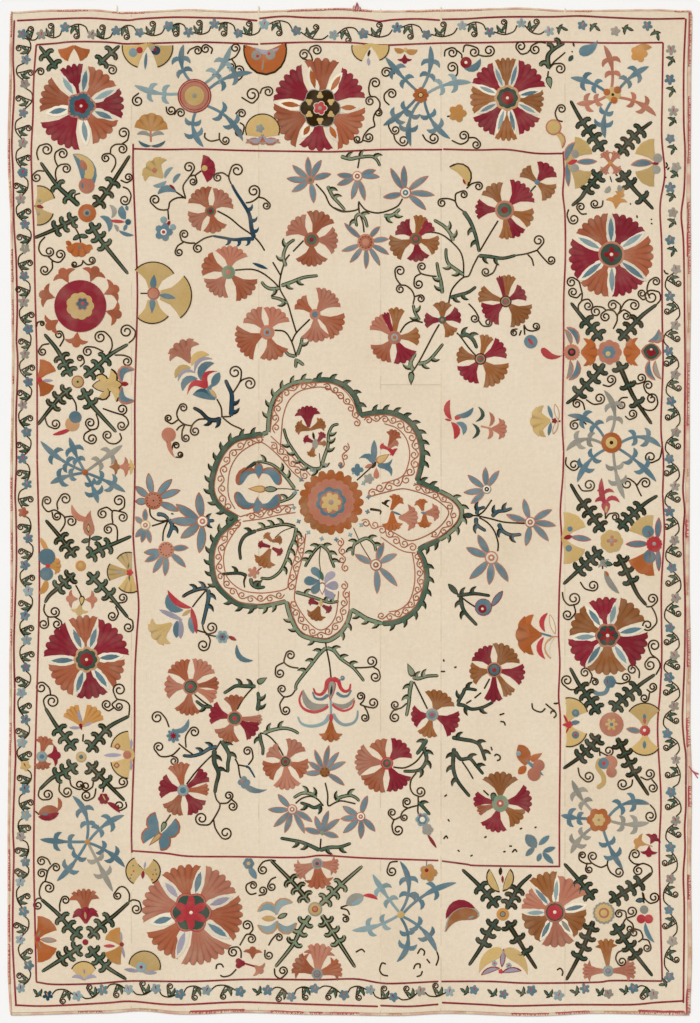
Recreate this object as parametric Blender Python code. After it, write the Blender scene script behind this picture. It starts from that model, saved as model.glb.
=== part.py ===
"""A hand-embroidered suzani: loom-width strips of cotton sewn side by side, with a narrow silk binding.

The cloth lies face up and flat. X runs across it, Y up its length and Z up off the surface it lies
on. The origin is under the middle. Every size below is in millimetres, and MM turns it to metres.
"""

from math import cos, pi, radians, sin
from typing import Callable, NamedTuple

import bmesh
import bpy
import numpy as np

MM = 0.001

# Driving dimensions
SEWN_GAP = 0.3  # clearance between pieces that are sewn edge to edge
CLOTH_THICKNESS = 1.7  # the cotton with its stitching, as one sheet
LEAST_THICKNESS = 1.1
SEAM_RISE = 0.45  # the turned-in selvedges lift the face at a seam
SEAM_REACH = 9.0
HEM_RISE = 0.35  # the turned hem lifts the cloth beside the binding
HEM_REACH = 12.0

# How much of the binding shows beside the cloth on each side
LEFT_BINDING_WIDTH = 6.0
RIGHT_BINDING_WIDTH = 9.0
TOP_BINDING_WIDTH = 5.0
BOTTOM_BINDING_WIDTH = 6.0
BINDING_THICKNESS = 2.0
CORNER_LENGTH = 5.0  # the last stretch of a side binding, where the corner is rounded off
CORNER_TUCK = 3.0

# Where the strips are sewn together, as places across the cloth
LEFT_BORDER_SEAM = -518.0
LEFT_MIDDLE_SEAM = -217.0
MIDDLE_HALF_SEAM = 71.0
HALF_RIGHT_SEAM = 214.0
RIGHT_BORDER_SEAM = 507.0
PIECED_SEAM = 298.0  # the half-width strip is pieced here, across the cloth

# Faces across a full strip, across a half strip, and up the cloth
FULL_COLUMNS = 5
HALF_COLUMNS = 3
ROWS = 38

COTTON = (0.80, 0.70, 0.52)
BINDING_SILK = (0.62, 0.34, 0.26)


class EdgePoint(NamedTuple):
    """A point of the bound edge: its place along the side, and how far out the side stands there."""

    along: float
    out: float


class Fold(NamedTuple):
    """A soft straight ridge in the cloth, or a trough where its rise is negative."""

    x: float
    y: float
    turn: float
    half_run: float
    half_width: float
    rise: float


TOP_EDGE = (
    EdgePoint(-806, 1180),
    EdgePoint(-700, 1185),
    EdgePoint(-620, 1186),
    EdgePoint(-530, 1180),
    EdgePoint(-380, 1186),
    EdgePoint(-250, 1182),
    EdgePoint(-20, 1189),
    EdgePoint(80, 1183),
    EdgePoint(250, 1186),
    EdgePoint(400, 1190),
    EdgePoint(510, 1184),
    EdgePoint(720, 1186),
    EdgePoint(807, 1183),
)
BOTTOM_EDGE = (
    EdgePoint(-806, 1193),
    EdgePoint(-580, 1188),
    EdgePoint(-500, 1183),
    EdgePoint(-390, 1191),
    EdgePoint(-250, 1187),
    EdgePoint(-60, 1192),
    EdgePoint(110, 1194),
    EdgePoint(230, 1189),
    EdgePoint(430, 1195),
    EdgePoint(580, 1189),
    EdgePoint(807, 1193),
)
LEFT_EDGE = (
    EdgePoint(-1195, 806),
    EdgePoint(-1080, 811),
    EdgePoint(-800, 811),
    EdgePoint(-400, 807),
    EdgePoint(-150, 804),
    EdgePoint(50, 805),
    EdgePoint(350, 801),
    EdgePoint(650, 804),
    EdgePoint(860, 811),
    EdgePoint(1050, 807),
    EdgePoint(1190, 805),
)
RIGHT_EDGE = (
    EdgePoint(-1195, 803),
    EdgePoint(-1050, 807),
    EdgePoint(-850, 805),
    EdgePoint(-650, 807),
    EdgePoint(-500, 803),
    EdgePoint(-350, 804),
    EdgePoint(-150, 801),
    EdgePoint(250, 802),
    EdgePoint(560, 805),
    EdgePoint(800, 804),
    EdgePoint(1000, 805),
    EdgePoint(1190, 808),
)

FOLDS = (
    Fold(x=-465, y=110, turn=92, half_run=330, half_width=46, rise=0.8),
    Fold(x=-380, y=60, turn=88, half_run=280, half_width=40, rise=-0.5),
    Fold(x=415, y=-20, turn=90, half_run=330, half_width=38, rise=-0.6),
    Fold(x=468, y=60, turn=91, half_run=360, half_width=42, rise=0.7),
    Fold(x=60, y=560, turn=38, half_run=150, half_width=26, rise=0.6),
    Fold(x=95, y=505, turn=36, half_run=165, half_width=26, rise=-0.5),
    Fold(x=130, y=450, turn=34, half_run=150, half_width=26, rise=0.5),
    Fold(x=-325, y=495, turn=84, half_run=140, half_width=24, rise=-0.5),
    Fold(x=-150, y=905, turn=3, half_run=420, half_width=44, rise=0.5),
    Fold(x=610, y=800, turn=82, half_run=270, half_width=42, rise=0.7),
    Fold(x=-640, y=-430, turn=88, half_run=330, half_width=44, rise=0.6),
    Fold(x=250, y=-780, turn=8, half_run=320, half_width=44, rise=0.6),
    Fold(x=-110, y=-1045, turn=2, half_run=430, half_width=46, rise=-0.4),
    Fold(x=640, y=-900, turn=96, half_run=240, half_width=44, rise=0.6),
)


def out_at(edge: tuple[EdgePoint, ...], along: float) -> float:
    """How far out a bound edge stands at a place along it, eased from one point to the next."""
    after = next((i for i, p in enumerate(edge) if p.along > along), len(edge) - 1)
    a, b = edge[max(after - 1, 0)], edge[after]
    share = min(max((along - a.along) / max(b.along - a.along, 1.0), 0.0), 1.0)
    return a.out + (b.out - a.out) * (1 - cos(pi * share)) / 2


def fold_rise(fold: Fold, x: float, y: float) -> float:
    """What one fold adds to the height of the face at a place."""
    run_x, run_y = cos(radians(fold.turn)), sin(radians(fold.turn))
    along = (x - fold.x) * run_x + (y - fold.y) * run_y
    across = (y - fold.y) * run_x - (x - fold.x) * run_y
    fade = max(0.0, 1 - (along / fold.half_run) ** 2)
    return fold.rise * fade * np.exp(-((across / fold.half_width) ** 2))


def seam_rise(x: float, y: float) -> float:
    """What the seams between the strips add to the height of the face at a place."""
    long_seams = (LEFT_BORDER_SEAM, LEFT_MIDDLE_SEAM, MIDDLE_HALF_SEAM, HALF_RIGHT_SEAM, RIGHT_BORDER_SEAM)
    nearest = min(abs(x - seam) for seam in long_seams)
    if MIDDLE_HALF_SEAM < x < HALF_RIGHT_SEAM:
        nearest = min(nearest, abs(y - PIECED_SEAM))
    return SEAM_RISE * np.exp(-((nearest / SEAM_REACH) ** 2))


def hem_rise(x: float, y: float) -> float:
    """What the turned hem adds to the height of the face at a place."""
    inside = min(
        x + out_at(LEFT_EDGE, y) - LEFT_BINDING_WIDTH,
        out_at(RIGHT_EDGE, y) - RIGHT_BINDING_WIDTH - x,
        y + out_at(BOTTOM_EDGE, x) - BOTTOM_BINDING_WIDTH,
        out_at(TOP_EDGE, x) - TOP_BINDING_WIDTH - y,
    )
    return HEM_RISE * np.exp(-((max(inside, 0.0) / HEM_REACH) ** 2))


def face_height(x: float, y: float) -> float:
    """The height of the cloth's face over the surface it lies on."""
    swell = 0.22 * sin(2 * pi * (x / 230 + 0.35 * sin(y / 190))) + 0.16 * sin(2 * pi * y / 310 + x / 140)
    folds = sum(fold_rise(fold, x, y) for fold in FOLDS)
    return max(LEAST_THICKNESS, CLOTH_THICKNESS + swell + folds + seam_rise(x, y) + hem_rise(x, y))


def binding_height(x: float, y: float) -> float:
    """The height of the binding, which rides on the same folds as the cloth beside it."""
    return BINDING_THICKNESS + 0.5 * (face_height(x, y) - CLOTH_THICKNESS)


def material(name: str, colour: tuple[float, float, float], roughness: float) -> bpy.types.Material:
    """A plain material of one colour."""
    made = bpy.data.materials.new(name)
    made.use_nodes = True
    shader = made.node_tree.nodes["Principled BSDF"]
    shader.inputs["Base Color"].default_value = (*colour, 1.0)
    shader.inputs["Roughness"].default_value = roughness
    shader.inputs["Metallic"].default_value = 0.0
    return made


def sheet_solid(
    name: str,
    columns: int,
    rows: int,
    place: Callable[[int, int], tuple[float, float]],
    height: Callable[[float, float], float],
    colour: tuple[float, float, float],
    roughness: float,
) -> bpy.types.Object:
    """A closed sheet with a flat underside, whose face is as uneven as the cloth.

    place gives where the corner of a column and row lies, and height how thick the sheet is there.
    """
    sheet = bmesh.new()
    bmesh.ops.create_grid(sheet, x_segments=columns, y_segments=rows, size=1.0)
    for number, corner in enumerate(sheet.verts):
        x, y = place(number % (columns + 1), number // (columns + 1))
        corner.co = (x * MM, y * MM, 0.0)
    raised = bmesh.ops.extrude_face_region(sheet, geom=sheet.faces[:], use_keep_orig=True)
    for corner in raised["geom"]:
        if isinstance(corner, bmesh.types.BMVert):
            corner.co.z = height(corner.co.x / MM, corner.co.y / MM) * MM
    bmesh.ops.recalc_face_normals(sheet, faces=sheet.faces[:])
    mesh = bpy.data.meshes.new(name)
    sheet.to_mesh(mesh)
    sheet.free()
    made = bpy.data.objects.new(name, mesh)
    mesh.materials.append(material(name, colour, roughness))
    bpy.context.scene.collection.objects.link(made)
    return made


def row_share(row: int) -> float:
    """How far up the cloth a row lies, from 0 at the bottom to 1 at the top."""
    return row / ROWS


def cloth_bottom(x: float) -> float:
    """Where the cotton ends at the bottom, inside the binding."""
    return BOTTOM_BINDING_WIDTH - out_at(BOTTOM_EDGE, x)


def cloth_top(x: float) -> float:
    """Where the cotton ends at the top, inside the binding."""
    return out_at(TOP_EDGE, x) - TOP_BINDING_WIDTH


def cloth_left(y: float) -> float:
    """Where the cotton ends on the left, inside the binding."""
    return LEFT_BINDING_WIDTH - out_at(LEFT_EDGE, y)


def cloth_right(y: float) -> float:
    """Where the cotton ends on the right, inside the binding."""
    return out_at(RIGHT_EDGE, y) - RIGHT_BINDING_WIDTH


def up_the_cloth(x: float, share: float) -> float:
    """The place up the cloth that a share of its length comes to, at a place across it."""
    return cloth_bottom(x) + (cloth_top(x) - cloth_bottom(x)) * share


def strip_sides(left: float | None, right: float | None, y: float) -> tuple[float, float]:
    """Where a strip's two long sides are at a height, clear of the strip or binding beside it."""
    low = cloth_left(y) if left is None else left + SEWN_GAP / 2
    high = cloth_right(y) if right is None else right - SEWN_GAP / 2
    return low, high


def cotton_strip(
    name: str, left: float | None, right: float | None, columns: int, first_row: int = 0, last_row: int = ROWS
) -> bpy.types.Object:
    """A strip of cotton between two seams, or between a seam and the binding where a side is None.

    A strip that starts or ends at a row inside the cloth stops at the pieced seam there.
    """

    def place(column: int, row: int) -> tuple[float, float]:
        rough_y = up_the_cloth(0.0, row_share(first_row + row))
        low, high = strip_sides(left, right, rough_y)
        x = low + (high - low) * column / columns
        y = up_the_cloth(x, row_share(first_row + row))
        if first_row > 0 and row == 0:
            y = PIECED_SEAM + SEWN_GAP / 2
        if last_row < ROWS and first_row + row == last_row:
            y = PIECED_SEAM - SEWN_GAP / 2
        return x, y

    return sheet_solid(name, columns, last_row - first_row, place, face_height, COTTON, 0.9)


def side_binding(name: str, side: int) -> bpy.types.Object:
    """The binding of the left side, where side is -1, or of the right side, where it is 1."""
    edge = LEFT_EDGE if side < 0 else RIGHT_EDGE
    width = LEFT_BINDING_WIDTH if side < 0 else RIGHT_BINDING_WIDTH
    sections = ROWS + 4

    def place(column: int, row: int) -> tuple[float, float]:
        inner_row = min(max(row - 2, 0), ROWS)
        y = up_the_cloth(0.0, row_share(inner_row))
        out = out_at(edge, y)
        inner = out - width + SEWN_GAP
        y = up_the_cloth(side * inner, row_share(inner_row))
        beyond = {0: 0, 1: 1, sections - 1: 1, sections: 0}.get(row)
        if beyond is not None:
            corner = -out_at(BOTTOM_EDGE, side * out) if row < 2 else out_at(TOP_EDGE, side * out)
            y = corner + (CORNER_LENGTH * beyond if row < 2 else -CORNER_LENGTH * beyond)
            out -= CORNER_TUCK if beyond == 0 else 0.0
        return (side * out, y) if column == (0 if side < 0 else 1) else (side * inner, y)

    return sheet_solid(name, 1, sections, place, binding_height, BINDING_SILK, 0.75)


def end_binding(name: str, end: int) -> bpy.types.Object:
    """The binding of the bottom, where end is -1, or of the top, where it is 1, between the side bindings."""
    edge = BOTTOM_EDGE if end < 0 else TOP_EDGE
    width = BOTTOM_BINDING_WIDTH if end < 0 else TOP_BINDING_WIDTH
    level = up_the_cloth(0.0, 0.0 if end < 0 else 1.0)
    left, right = strip_sides(None, None, level)
    seams = (left, LEFT_BORDER_SEAM, LEFT_MIDDLE_SEAM, MIDDLE_HALF_SEAM, HALF_RIGHT_SEAM, RIGHT_BORDER_SEAM, right)
    counts = (FULL_COLUMNS, FULL_COLUMNS, FULL_COLUMNS, HALF_COLUMNS, FULL_COLUMNS, FULL_COLUMNS)
    places = [left]
    for low, high, count in zip(seams, seams[1:], counts):
        places += [low + (high - low) * step / count for step in range(1, count + 1)]

    def place(column: int, row: int) -> tuple[float, float]:
        x = places[column]
        out = out_at(edge, x)
        outer_row = 0 if end < 0 else 1
        return x, end * (out if row == outer_row else out - width + SEWN_GAP)

    return sheet_solid(name, len(places) - 1, 1, place, binding_height, BINDING_SILK, 0.75)


def clear_scene() -> None:
    """Remove what is in the scene already."""
    for old in list(bpy.context.scene.objects):
        bpy.data.objects.remove(old, do_unlink=True)


def main() -> None:
    """Make the strips and the bindings."""
    clear_scene()
    pieced_row = round(ROWS * (PIECED_SEAM - cloth_bottom(0.0)) / (cloth_top(0.0) - cloth_bottom(0.0)))
    cotton_strip("left_border_strip", None, LEFT_BORDER_SEAM, FULL_COLUMNS)
    cotton_strip("left_field_strip", LEFT_BORDER_SEAM, LEFT_MIDDLE_SEAM, FULL_COLUMNS)
    cotton_strip("middle_strip", LEFT_MIDDLE_SEAM, MIDDLE_HALF_SEAM, FULL_COLUMNS)
    cotton_strip("lower_half_strip", MIDDLE_HALF_SEAM, HALF_RIGHT_SEAM, HALF_COLUMNS, last_row=pieced_row)
    cotton_strip("upper_half_strip", MIDDLE_HALF_SEAM, HALF_RIGHT_SEAM, HALF_COLUMNS, first_row=pieced_row)
    cotton_strip("right_field_strip", HALF_RIGHT_SEAM, RIGHT_BORDER_SEAM, FULL_COLUMNS)
    cotton_strip("right_border_strip", RIGHT_BORDER_SEAM, None, FULL_COLUMNS)
    side_binding("left_binding", -1)
    side_binding("right_binding", 1)
    end_binding("bottom_binding", -1)
    end_binding("top_binding", 1)


main()
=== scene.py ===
"""A hand-embroidered suzani, laid out flat: cotton strips, silk binding and silk needlework.

The cloth lies face up on a pale floor. X runs across it, Y up its length and Z out of its face, and
the origin is under its middle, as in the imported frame. Places in the pattern are in centimetres from
that middle and turns are in degrees, anticlockwise from X. Heights and thread sizes are in
millimetres. CM and MM turn them to Blender's metres.
"""

import logging
import random
from dataclasses import dataclass, fields, replace
from enum import Enum
from functools import lru_cache
from math import atan2, ceil, cos, degrees, hypot, pi, radians, sin
from typing import Any, Callable, Iterator, TypeVar

import bmesh
import bpy
import numpy as np
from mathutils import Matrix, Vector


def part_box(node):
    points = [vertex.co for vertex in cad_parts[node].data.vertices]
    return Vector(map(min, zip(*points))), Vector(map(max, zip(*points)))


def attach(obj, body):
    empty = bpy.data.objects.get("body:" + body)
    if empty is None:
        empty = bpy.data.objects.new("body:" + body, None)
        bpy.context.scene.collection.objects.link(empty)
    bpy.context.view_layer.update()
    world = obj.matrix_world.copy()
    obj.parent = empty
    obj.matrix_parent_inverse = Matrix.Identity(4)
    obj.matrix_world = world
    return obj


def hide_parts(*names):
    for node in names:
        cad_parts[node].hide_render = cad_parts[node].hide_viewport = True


CM = 0.01
MM = 0.001
MM_PER_CM = 10.0
BODY = "root"

LOG = logging.getLogger("suzani")

Point = tuple[float, float]
Row = TypeVar("Row")

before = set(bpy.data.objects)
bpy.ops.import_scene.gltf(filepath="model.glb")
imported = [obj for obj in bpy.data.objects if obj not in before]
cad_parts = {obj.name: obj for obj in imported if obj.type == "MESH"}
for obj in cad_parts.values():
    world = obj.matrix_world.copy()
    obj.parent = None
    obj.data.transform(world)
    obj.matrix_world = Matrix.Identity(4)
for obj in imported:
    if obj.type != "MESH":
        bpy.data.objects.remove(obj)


class Thread(Enum):
    """The dyed silks: the letter that the tables use, the sRGB colour, and how far each has faded."""

    MADDER = ("M", "#86212E", 0.05)
    RUST = ("R", "#A0583A", 0.08)
    PINK = ("P", "#B17058", 0.08)
    BROWN = ("B", "#955C30", 0.08)
    YELLOW = ("Y", "#C4A468", 0.10)
    ORANGE = ("O", "#AB5C2A", 0.08)
    GREEN = ("G", "#455D4A", 0.08)
    SAGE = ("S", "#76866A", 0.10)
    OUTLINE = ("K", "#33240F", 0.04)
    BLUE = ("U", "#5A757E", 0.08)
    SLATE = ("X", "#687F85", 0.08)
    LIGHT_BLUE = ("L", "#84999A", 0.08)
    GREY = ("A", "#908C80", 0.08)
    RED = ("E", "#B4373C", 0.06)
    DEEP_RED = ("D", "#86141D", 0.05)
    WHITE = ("W", "#E4D8C1", 0.04)
    NAVY = ("T", "#1E3F50", 0.05)
    TENDRIL = ("N", "#38260F", 0.05)
    FIR = ("H", "#35493C", 0.05)
    TEAL = ("Q", "#385A64", 0.08)
    LILAC = ("V", "#9A94A0", 0.10)
    TAN = ("C", "#B98C62", 0.10)
    OCHRE = ("I", "#BE8646", 0.08)
    INK = ("J", "#1F2A27", 0.05)
    ROSE = ("Z", "#A9434A", 0.10)
    THREAD = ("F", "#E0CFB2", 0.04)

    def __init__(self, letter: str, colour: str, fading: float) -> None:
        """Keep the three parts of a thread under their own names."""
        self.letter = letter
        self.colour = colour
        self.fading = fading

    @classmethod
    def of(cls, letter: str) -> "Thread":
        """The thread that a letter stands for."""
        return next(thread for thread in cls if thread.letter == letter)


class Form(Enum):
    """The outline of a petal or leaf: how its half width runs from base to tip, as a power curve."""

    LEAF = ("leaf", 0.75, 0.75)
    DROP = ("drop", 0.42, 1.05)
    BUD = ("bud", 1.0, 0.45)
    HORN = ("horn", 0.12, 0.8)

    def __init__(self, word: str, base: float, tip: float) -> None:
        """Keep the word and the two powers."""
        self.word = word
        self.base = base
        self.tip = tip

    def share(self, along: np.ndarray) -> np.ndarray:
        """The share of the greatest half width at places from 0, the base, to 1, the tip."""
        widest = self.base / (self.base + self.tip)
        greatest = widest**self.base * (1 - widest) ** self.tip
        return np.clip(along, 0, 1) ** self.base * np.clip(1 - along, 0, 1) ** self.tip / greatest


@dataclass(frozen=True)
class Ring:
    """One ring of a flower's heart, out to a radius."""

    thread: Thread
    radius: float


@dataclass(frozen=True)
class Blade:
    """One fan-shaped petal, seen from the middle of its flower."""

    thread: Thread
    turn: float
    length: float
    spread: float


@dataclass(frozen=True)
class Vein:
    """The coloured vein of a white leaf, seen from the middle of its flower."""

    thread: Thread
    turn: float
    length: float


@dataclass(frozen=True)
class Arm:
    """One hooked arm of a star. Its bow is how far it bends to the left, in hundredths of its length."""

    thread: Thread
    turn: float
    length: float
    bow: float = 0.0


@dataclass(frozen=True)
class Ray:
    """One narrow petal, seen from the middle of its flower."""

    turn: float
    length: float


def read_path(cell: str) -> list[Point]:
    """The points of a path, written as x,y pairs."""
    return [tuple(float(number) for number in pair.split(",")) for pair in cell.split()]


def dyed(kind: type[Row]) -> Callable[[str], list[Row]]:
    """A reader of rings, fans, veins or arms, each a thread's letter and its numbers parted by /."""
    return lambda cell: [kind(Thread.of(word[0]), *map(float, word[1:].split("/"))) for word in cell.split()]


def read_rays(cell: str) -> list[Ray]:
    """The narrow petals of a flower, each turn/length."""
    return [Ray(*map(float, word.split("/"))) for word in cell.split()]


READERS: dict[Any, Callable[[str], Any]] = {
    float: float,
    int: int,
    str: str,
    Thread: Thread.of,
    Form: lambda word: next(form for form in Form if form.word == word),
    list[Point]: read_path,
    list[Ring]: dyed(Ring),
    list[Blade]: dyed(Blade),
    list[Vein]: dyed(Vein),
    list[Arm]: dyed(Arm),
    list[Ray]: read_rays,
}


def read(kind: type[Row], table: str) -> list[Row]:
    """The rows of a table, as objects of one kind.

    Args:
        kind: A dataclass. Its fields are the columns.
        table: A heading line with the names of columns, then a line for each row, in cells parted by |.

    Returns:
        An object for each row. A column that the heading leaves out, or an empty cell, keeps its default.
    """
    heading, *lines = table.strip().splitlines()
    names = [name.strip() for name in heading.split("|")]
    types = {field.name: field.type for field in fields(kind)}
    rows = []
    for line in lines:
        cells = zip(names, (cell.strip() for cell in line.split("|")))
        rows.append(kind(**{name: READERS[types[name]](cell) for name, cell in cells if cell}))
    return rows


def linear(colour: str, strength: float = 1.0) -> tuple[float, float, float, float]:
    """An sRGB hex colour as Blender's linear one, made lighter or darker by a strength."""
    channels = [int(colour[start : start + 2], 16) / 255 for start in (1, 3, 5)]
    turned = [c / 12.92 if c <= 0.04045 else ((c + 0.055) / 1.055) ** 2.4 for c in channels]
    return (*(min(c * strength, 1.0) for c in turned), 1.0)


# The inputs of a Mix node that mixes colours, and its output
MIX_FACTOR, MIX_A, MIX_B = 0, 6, 7
MIX_RESULT = 2


def add_node(
    tree: bpy.types.NodeTree, kind: str, inputs: dict[int | str, Any] | None = None, **settings: Any
) -> bpy.types.Node:
    """Add a shader node, with its settings and links.

    Args:
        tree: The material's node tree.
        kind: The node's type, without its ShaderNode prefix.
        inputs: What each input takes, by its name or number: a socket to link, a node whose first output,
            or colour if it mixes colours, is linked, or a value.
        settings: The node's own properties.

    Returns:
        The new node.
    """
    node = tree.nodes.new("ShaderNode" + kind)
    for name, value in settings.items():
        setattr(node, name, value)
    for name, value in (inputs or {}).items():
        if isinstance(value, bpy.types.Node):
            value = value.outputs[MIX_RESULT if value.bl_idname == "ShaderNodeMix" else 0]
        if isinstance(value, bpy.types.NodeSocket):
            tree.links.new(value, node.inputs[name])
        else:
            node.inputs[name].default_value = value
    return node


def empty_material(name: str) -> tuple[bpy.types.Material, bpy.types.NodeTree]:
    """A new material with an output node alone, and its tree."""
    made = bpy.data.materials.new(name)
    made.use_nodes = True
    made.node_tree.nodes.clear()
    add_node(made.node_tree, "OutputMaterial")
    return made, made.node_tree


def put_out(tree: bpy.types.NodeTree, shader: bpy.types.Node) -> None:
    """Link a shader to the material's output."""
    output = next(node for node in tree.nodes if node.type == "OUTPUT_MATERIAL")
    tree.links.new(shader.outputs[0], output.inputs["Surface"])


@dataclass(frozen=True)
class SilkFloss:
    """Loosely twisted dyed silk, laid in rows and couched down, with a soft gleam along the rows.

    The eye sees a flat field of one dye that is streaked along the stitches and paler where it has faded.
    The furrows between tufts are darkened with painted shade. The iron-dyed browns have rotted, so they
    hardly gleam. A row is about 0.6 mm wide. It is drawn 1.3 mm wide, coarser than real, so that it shows.
    """

    row: float = 1.3
    streak_length: float = 14.0
    streak_width: float = 1.6
    fade_size: float = 45.0
    darkest: float = 0.82
    lightest: float = 1.18
    patch_tone: float = 0.42
    fade_most: float = 2.2
    worn: str = "#D9C2A4"
    # Painted shade: how dark the colour is made in the furrows between tufts
    furrow_painted_shade: float = 0.62
    roughness: float = 0.58
    gleam: float = 0.12
    sheen: float = 0.04
    rotted: float = 0.15
    bump: float = 0.35
    bump_height: float = 0.22

    def material(self, thread: Thread) -> bpy.types.Material:
        """The finish of one thread."""
        made, tree = empty_material(f"silk_{thread.name.lower()}")
        gleam = self.rotted if thread in (Thread.OUTLINE, Thread.TENDRIL) else 1.0
        rows = add_node(tree, "UVMap", uv_map="rows")
        stretch = (1 / self.streak_length, 1 / self.streak_width, 1.0)
        along = add_node(tree, "Mapping", {"Vector": rows, "Scale": stretch})
        noise = {"Vector": along, "Scale": 1.0, "Detail": 3.0, "Roughness": 0.6}
        streaks = add_node(tree, "TexNoise", noise)
        place = add_node(tree, "TexCoord").outputs["Object"]
        noise = {"Vector": place, "Scale": 1 / (self.fade_size * MM), "Detail": 3.0}
        patches = add_node(tree, "TexNoise", noise)
        tone = add_node(tree, "Attribute", attribute_name="tone").outputs["Fac"]
        # Tone runs from -1 to 1, and the noises from about 0.3 to 0.7 round 0.5
        fitted = {"operation": "MULTIPLY_ADD", "use_clamp": True}
        streaked = add_node(tree, "Math", {0: streaks, 1: 1.5, 2: -0.25}, **fitted)
        toned = add_node(tree, "Math", {0: tone, 1: self.patch_tone, 2: streaked}, **fitted)
        dyes = {MIX_A: linear(thread.colour, self.darkest), MIX_B: linear(thread.colour, self.lightest)}
        dye = add_node(tree, "Mix", {MIX_FACTOR: toned, **dyes}, data_type="RGBA")
        fading = {"From Min": 0.45, "From Max": 0.75, "To Max": thread.fading * self.fade_most}
        faded = add_node(tree, "MapRange", {"Value": patches, **fading})
        worn = {MIX_FACTOR: faded, MIX_A: dye, MIX_B: linear(self.worn)}
        dye = add_node(tree, "Mix", worn, data_type="RGBA")
        # Painted shade: the colour is darkened where the furrows between tufts lie
        furrow = add_node(tree, "Attribute", attribute_name="furrow").outputs["Fac"]
        shade = add_node(tree, "MapRange", {"Value": furrow, "To Min": 1.0, "To Max": self.furrow_painted_shade})
        shaded = {MIX_FACTOR: 1.0, MIX_A: dye, MIX_B: shade}
        dye = add_node(tree, "Mix", shaded, data_type="RGBA", blend_type="MULTIPLY")
        across = add_node(tree, "SeparateXYZ", {0: rows}).outputs[1]
        ridge = add_node(tree, "Math", {0: across, 1: 2 * pi / self.row}, operation="MULTIPLY")
        ridged = add_node(tree, "Math", {0: ridge}, operation="SINE")
        uneven = add_node(tree, "Math", {0: streaks, 1: 1.2, 2: ridged}, operation="MULTIPLY_ADD")
        relief = {"Height": uneven, "Strength": self.bump, "Distance": self.bump_height * MM}
        shine = {
            "Base Color": dye,
            "Roughness": self.roughness,
            "Specular IOR Level": self.gleam * gleam,
            "Sheen Weight": self.sheen * gleam,
            "Sheen Roughness": 0.4,
            "Normal": add_node(tree, "Bump", relief),
        }
        put_out(tree, add_node(tree, "BsdfPrincipled", shine))
        return made


@lru_cache(maxsize=None)
def silk(thread: Thread) -> bpy.types.Material:
    """The one material of a thread, made when it is first used."""
    return SilkFloss().material(thread)


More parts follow.
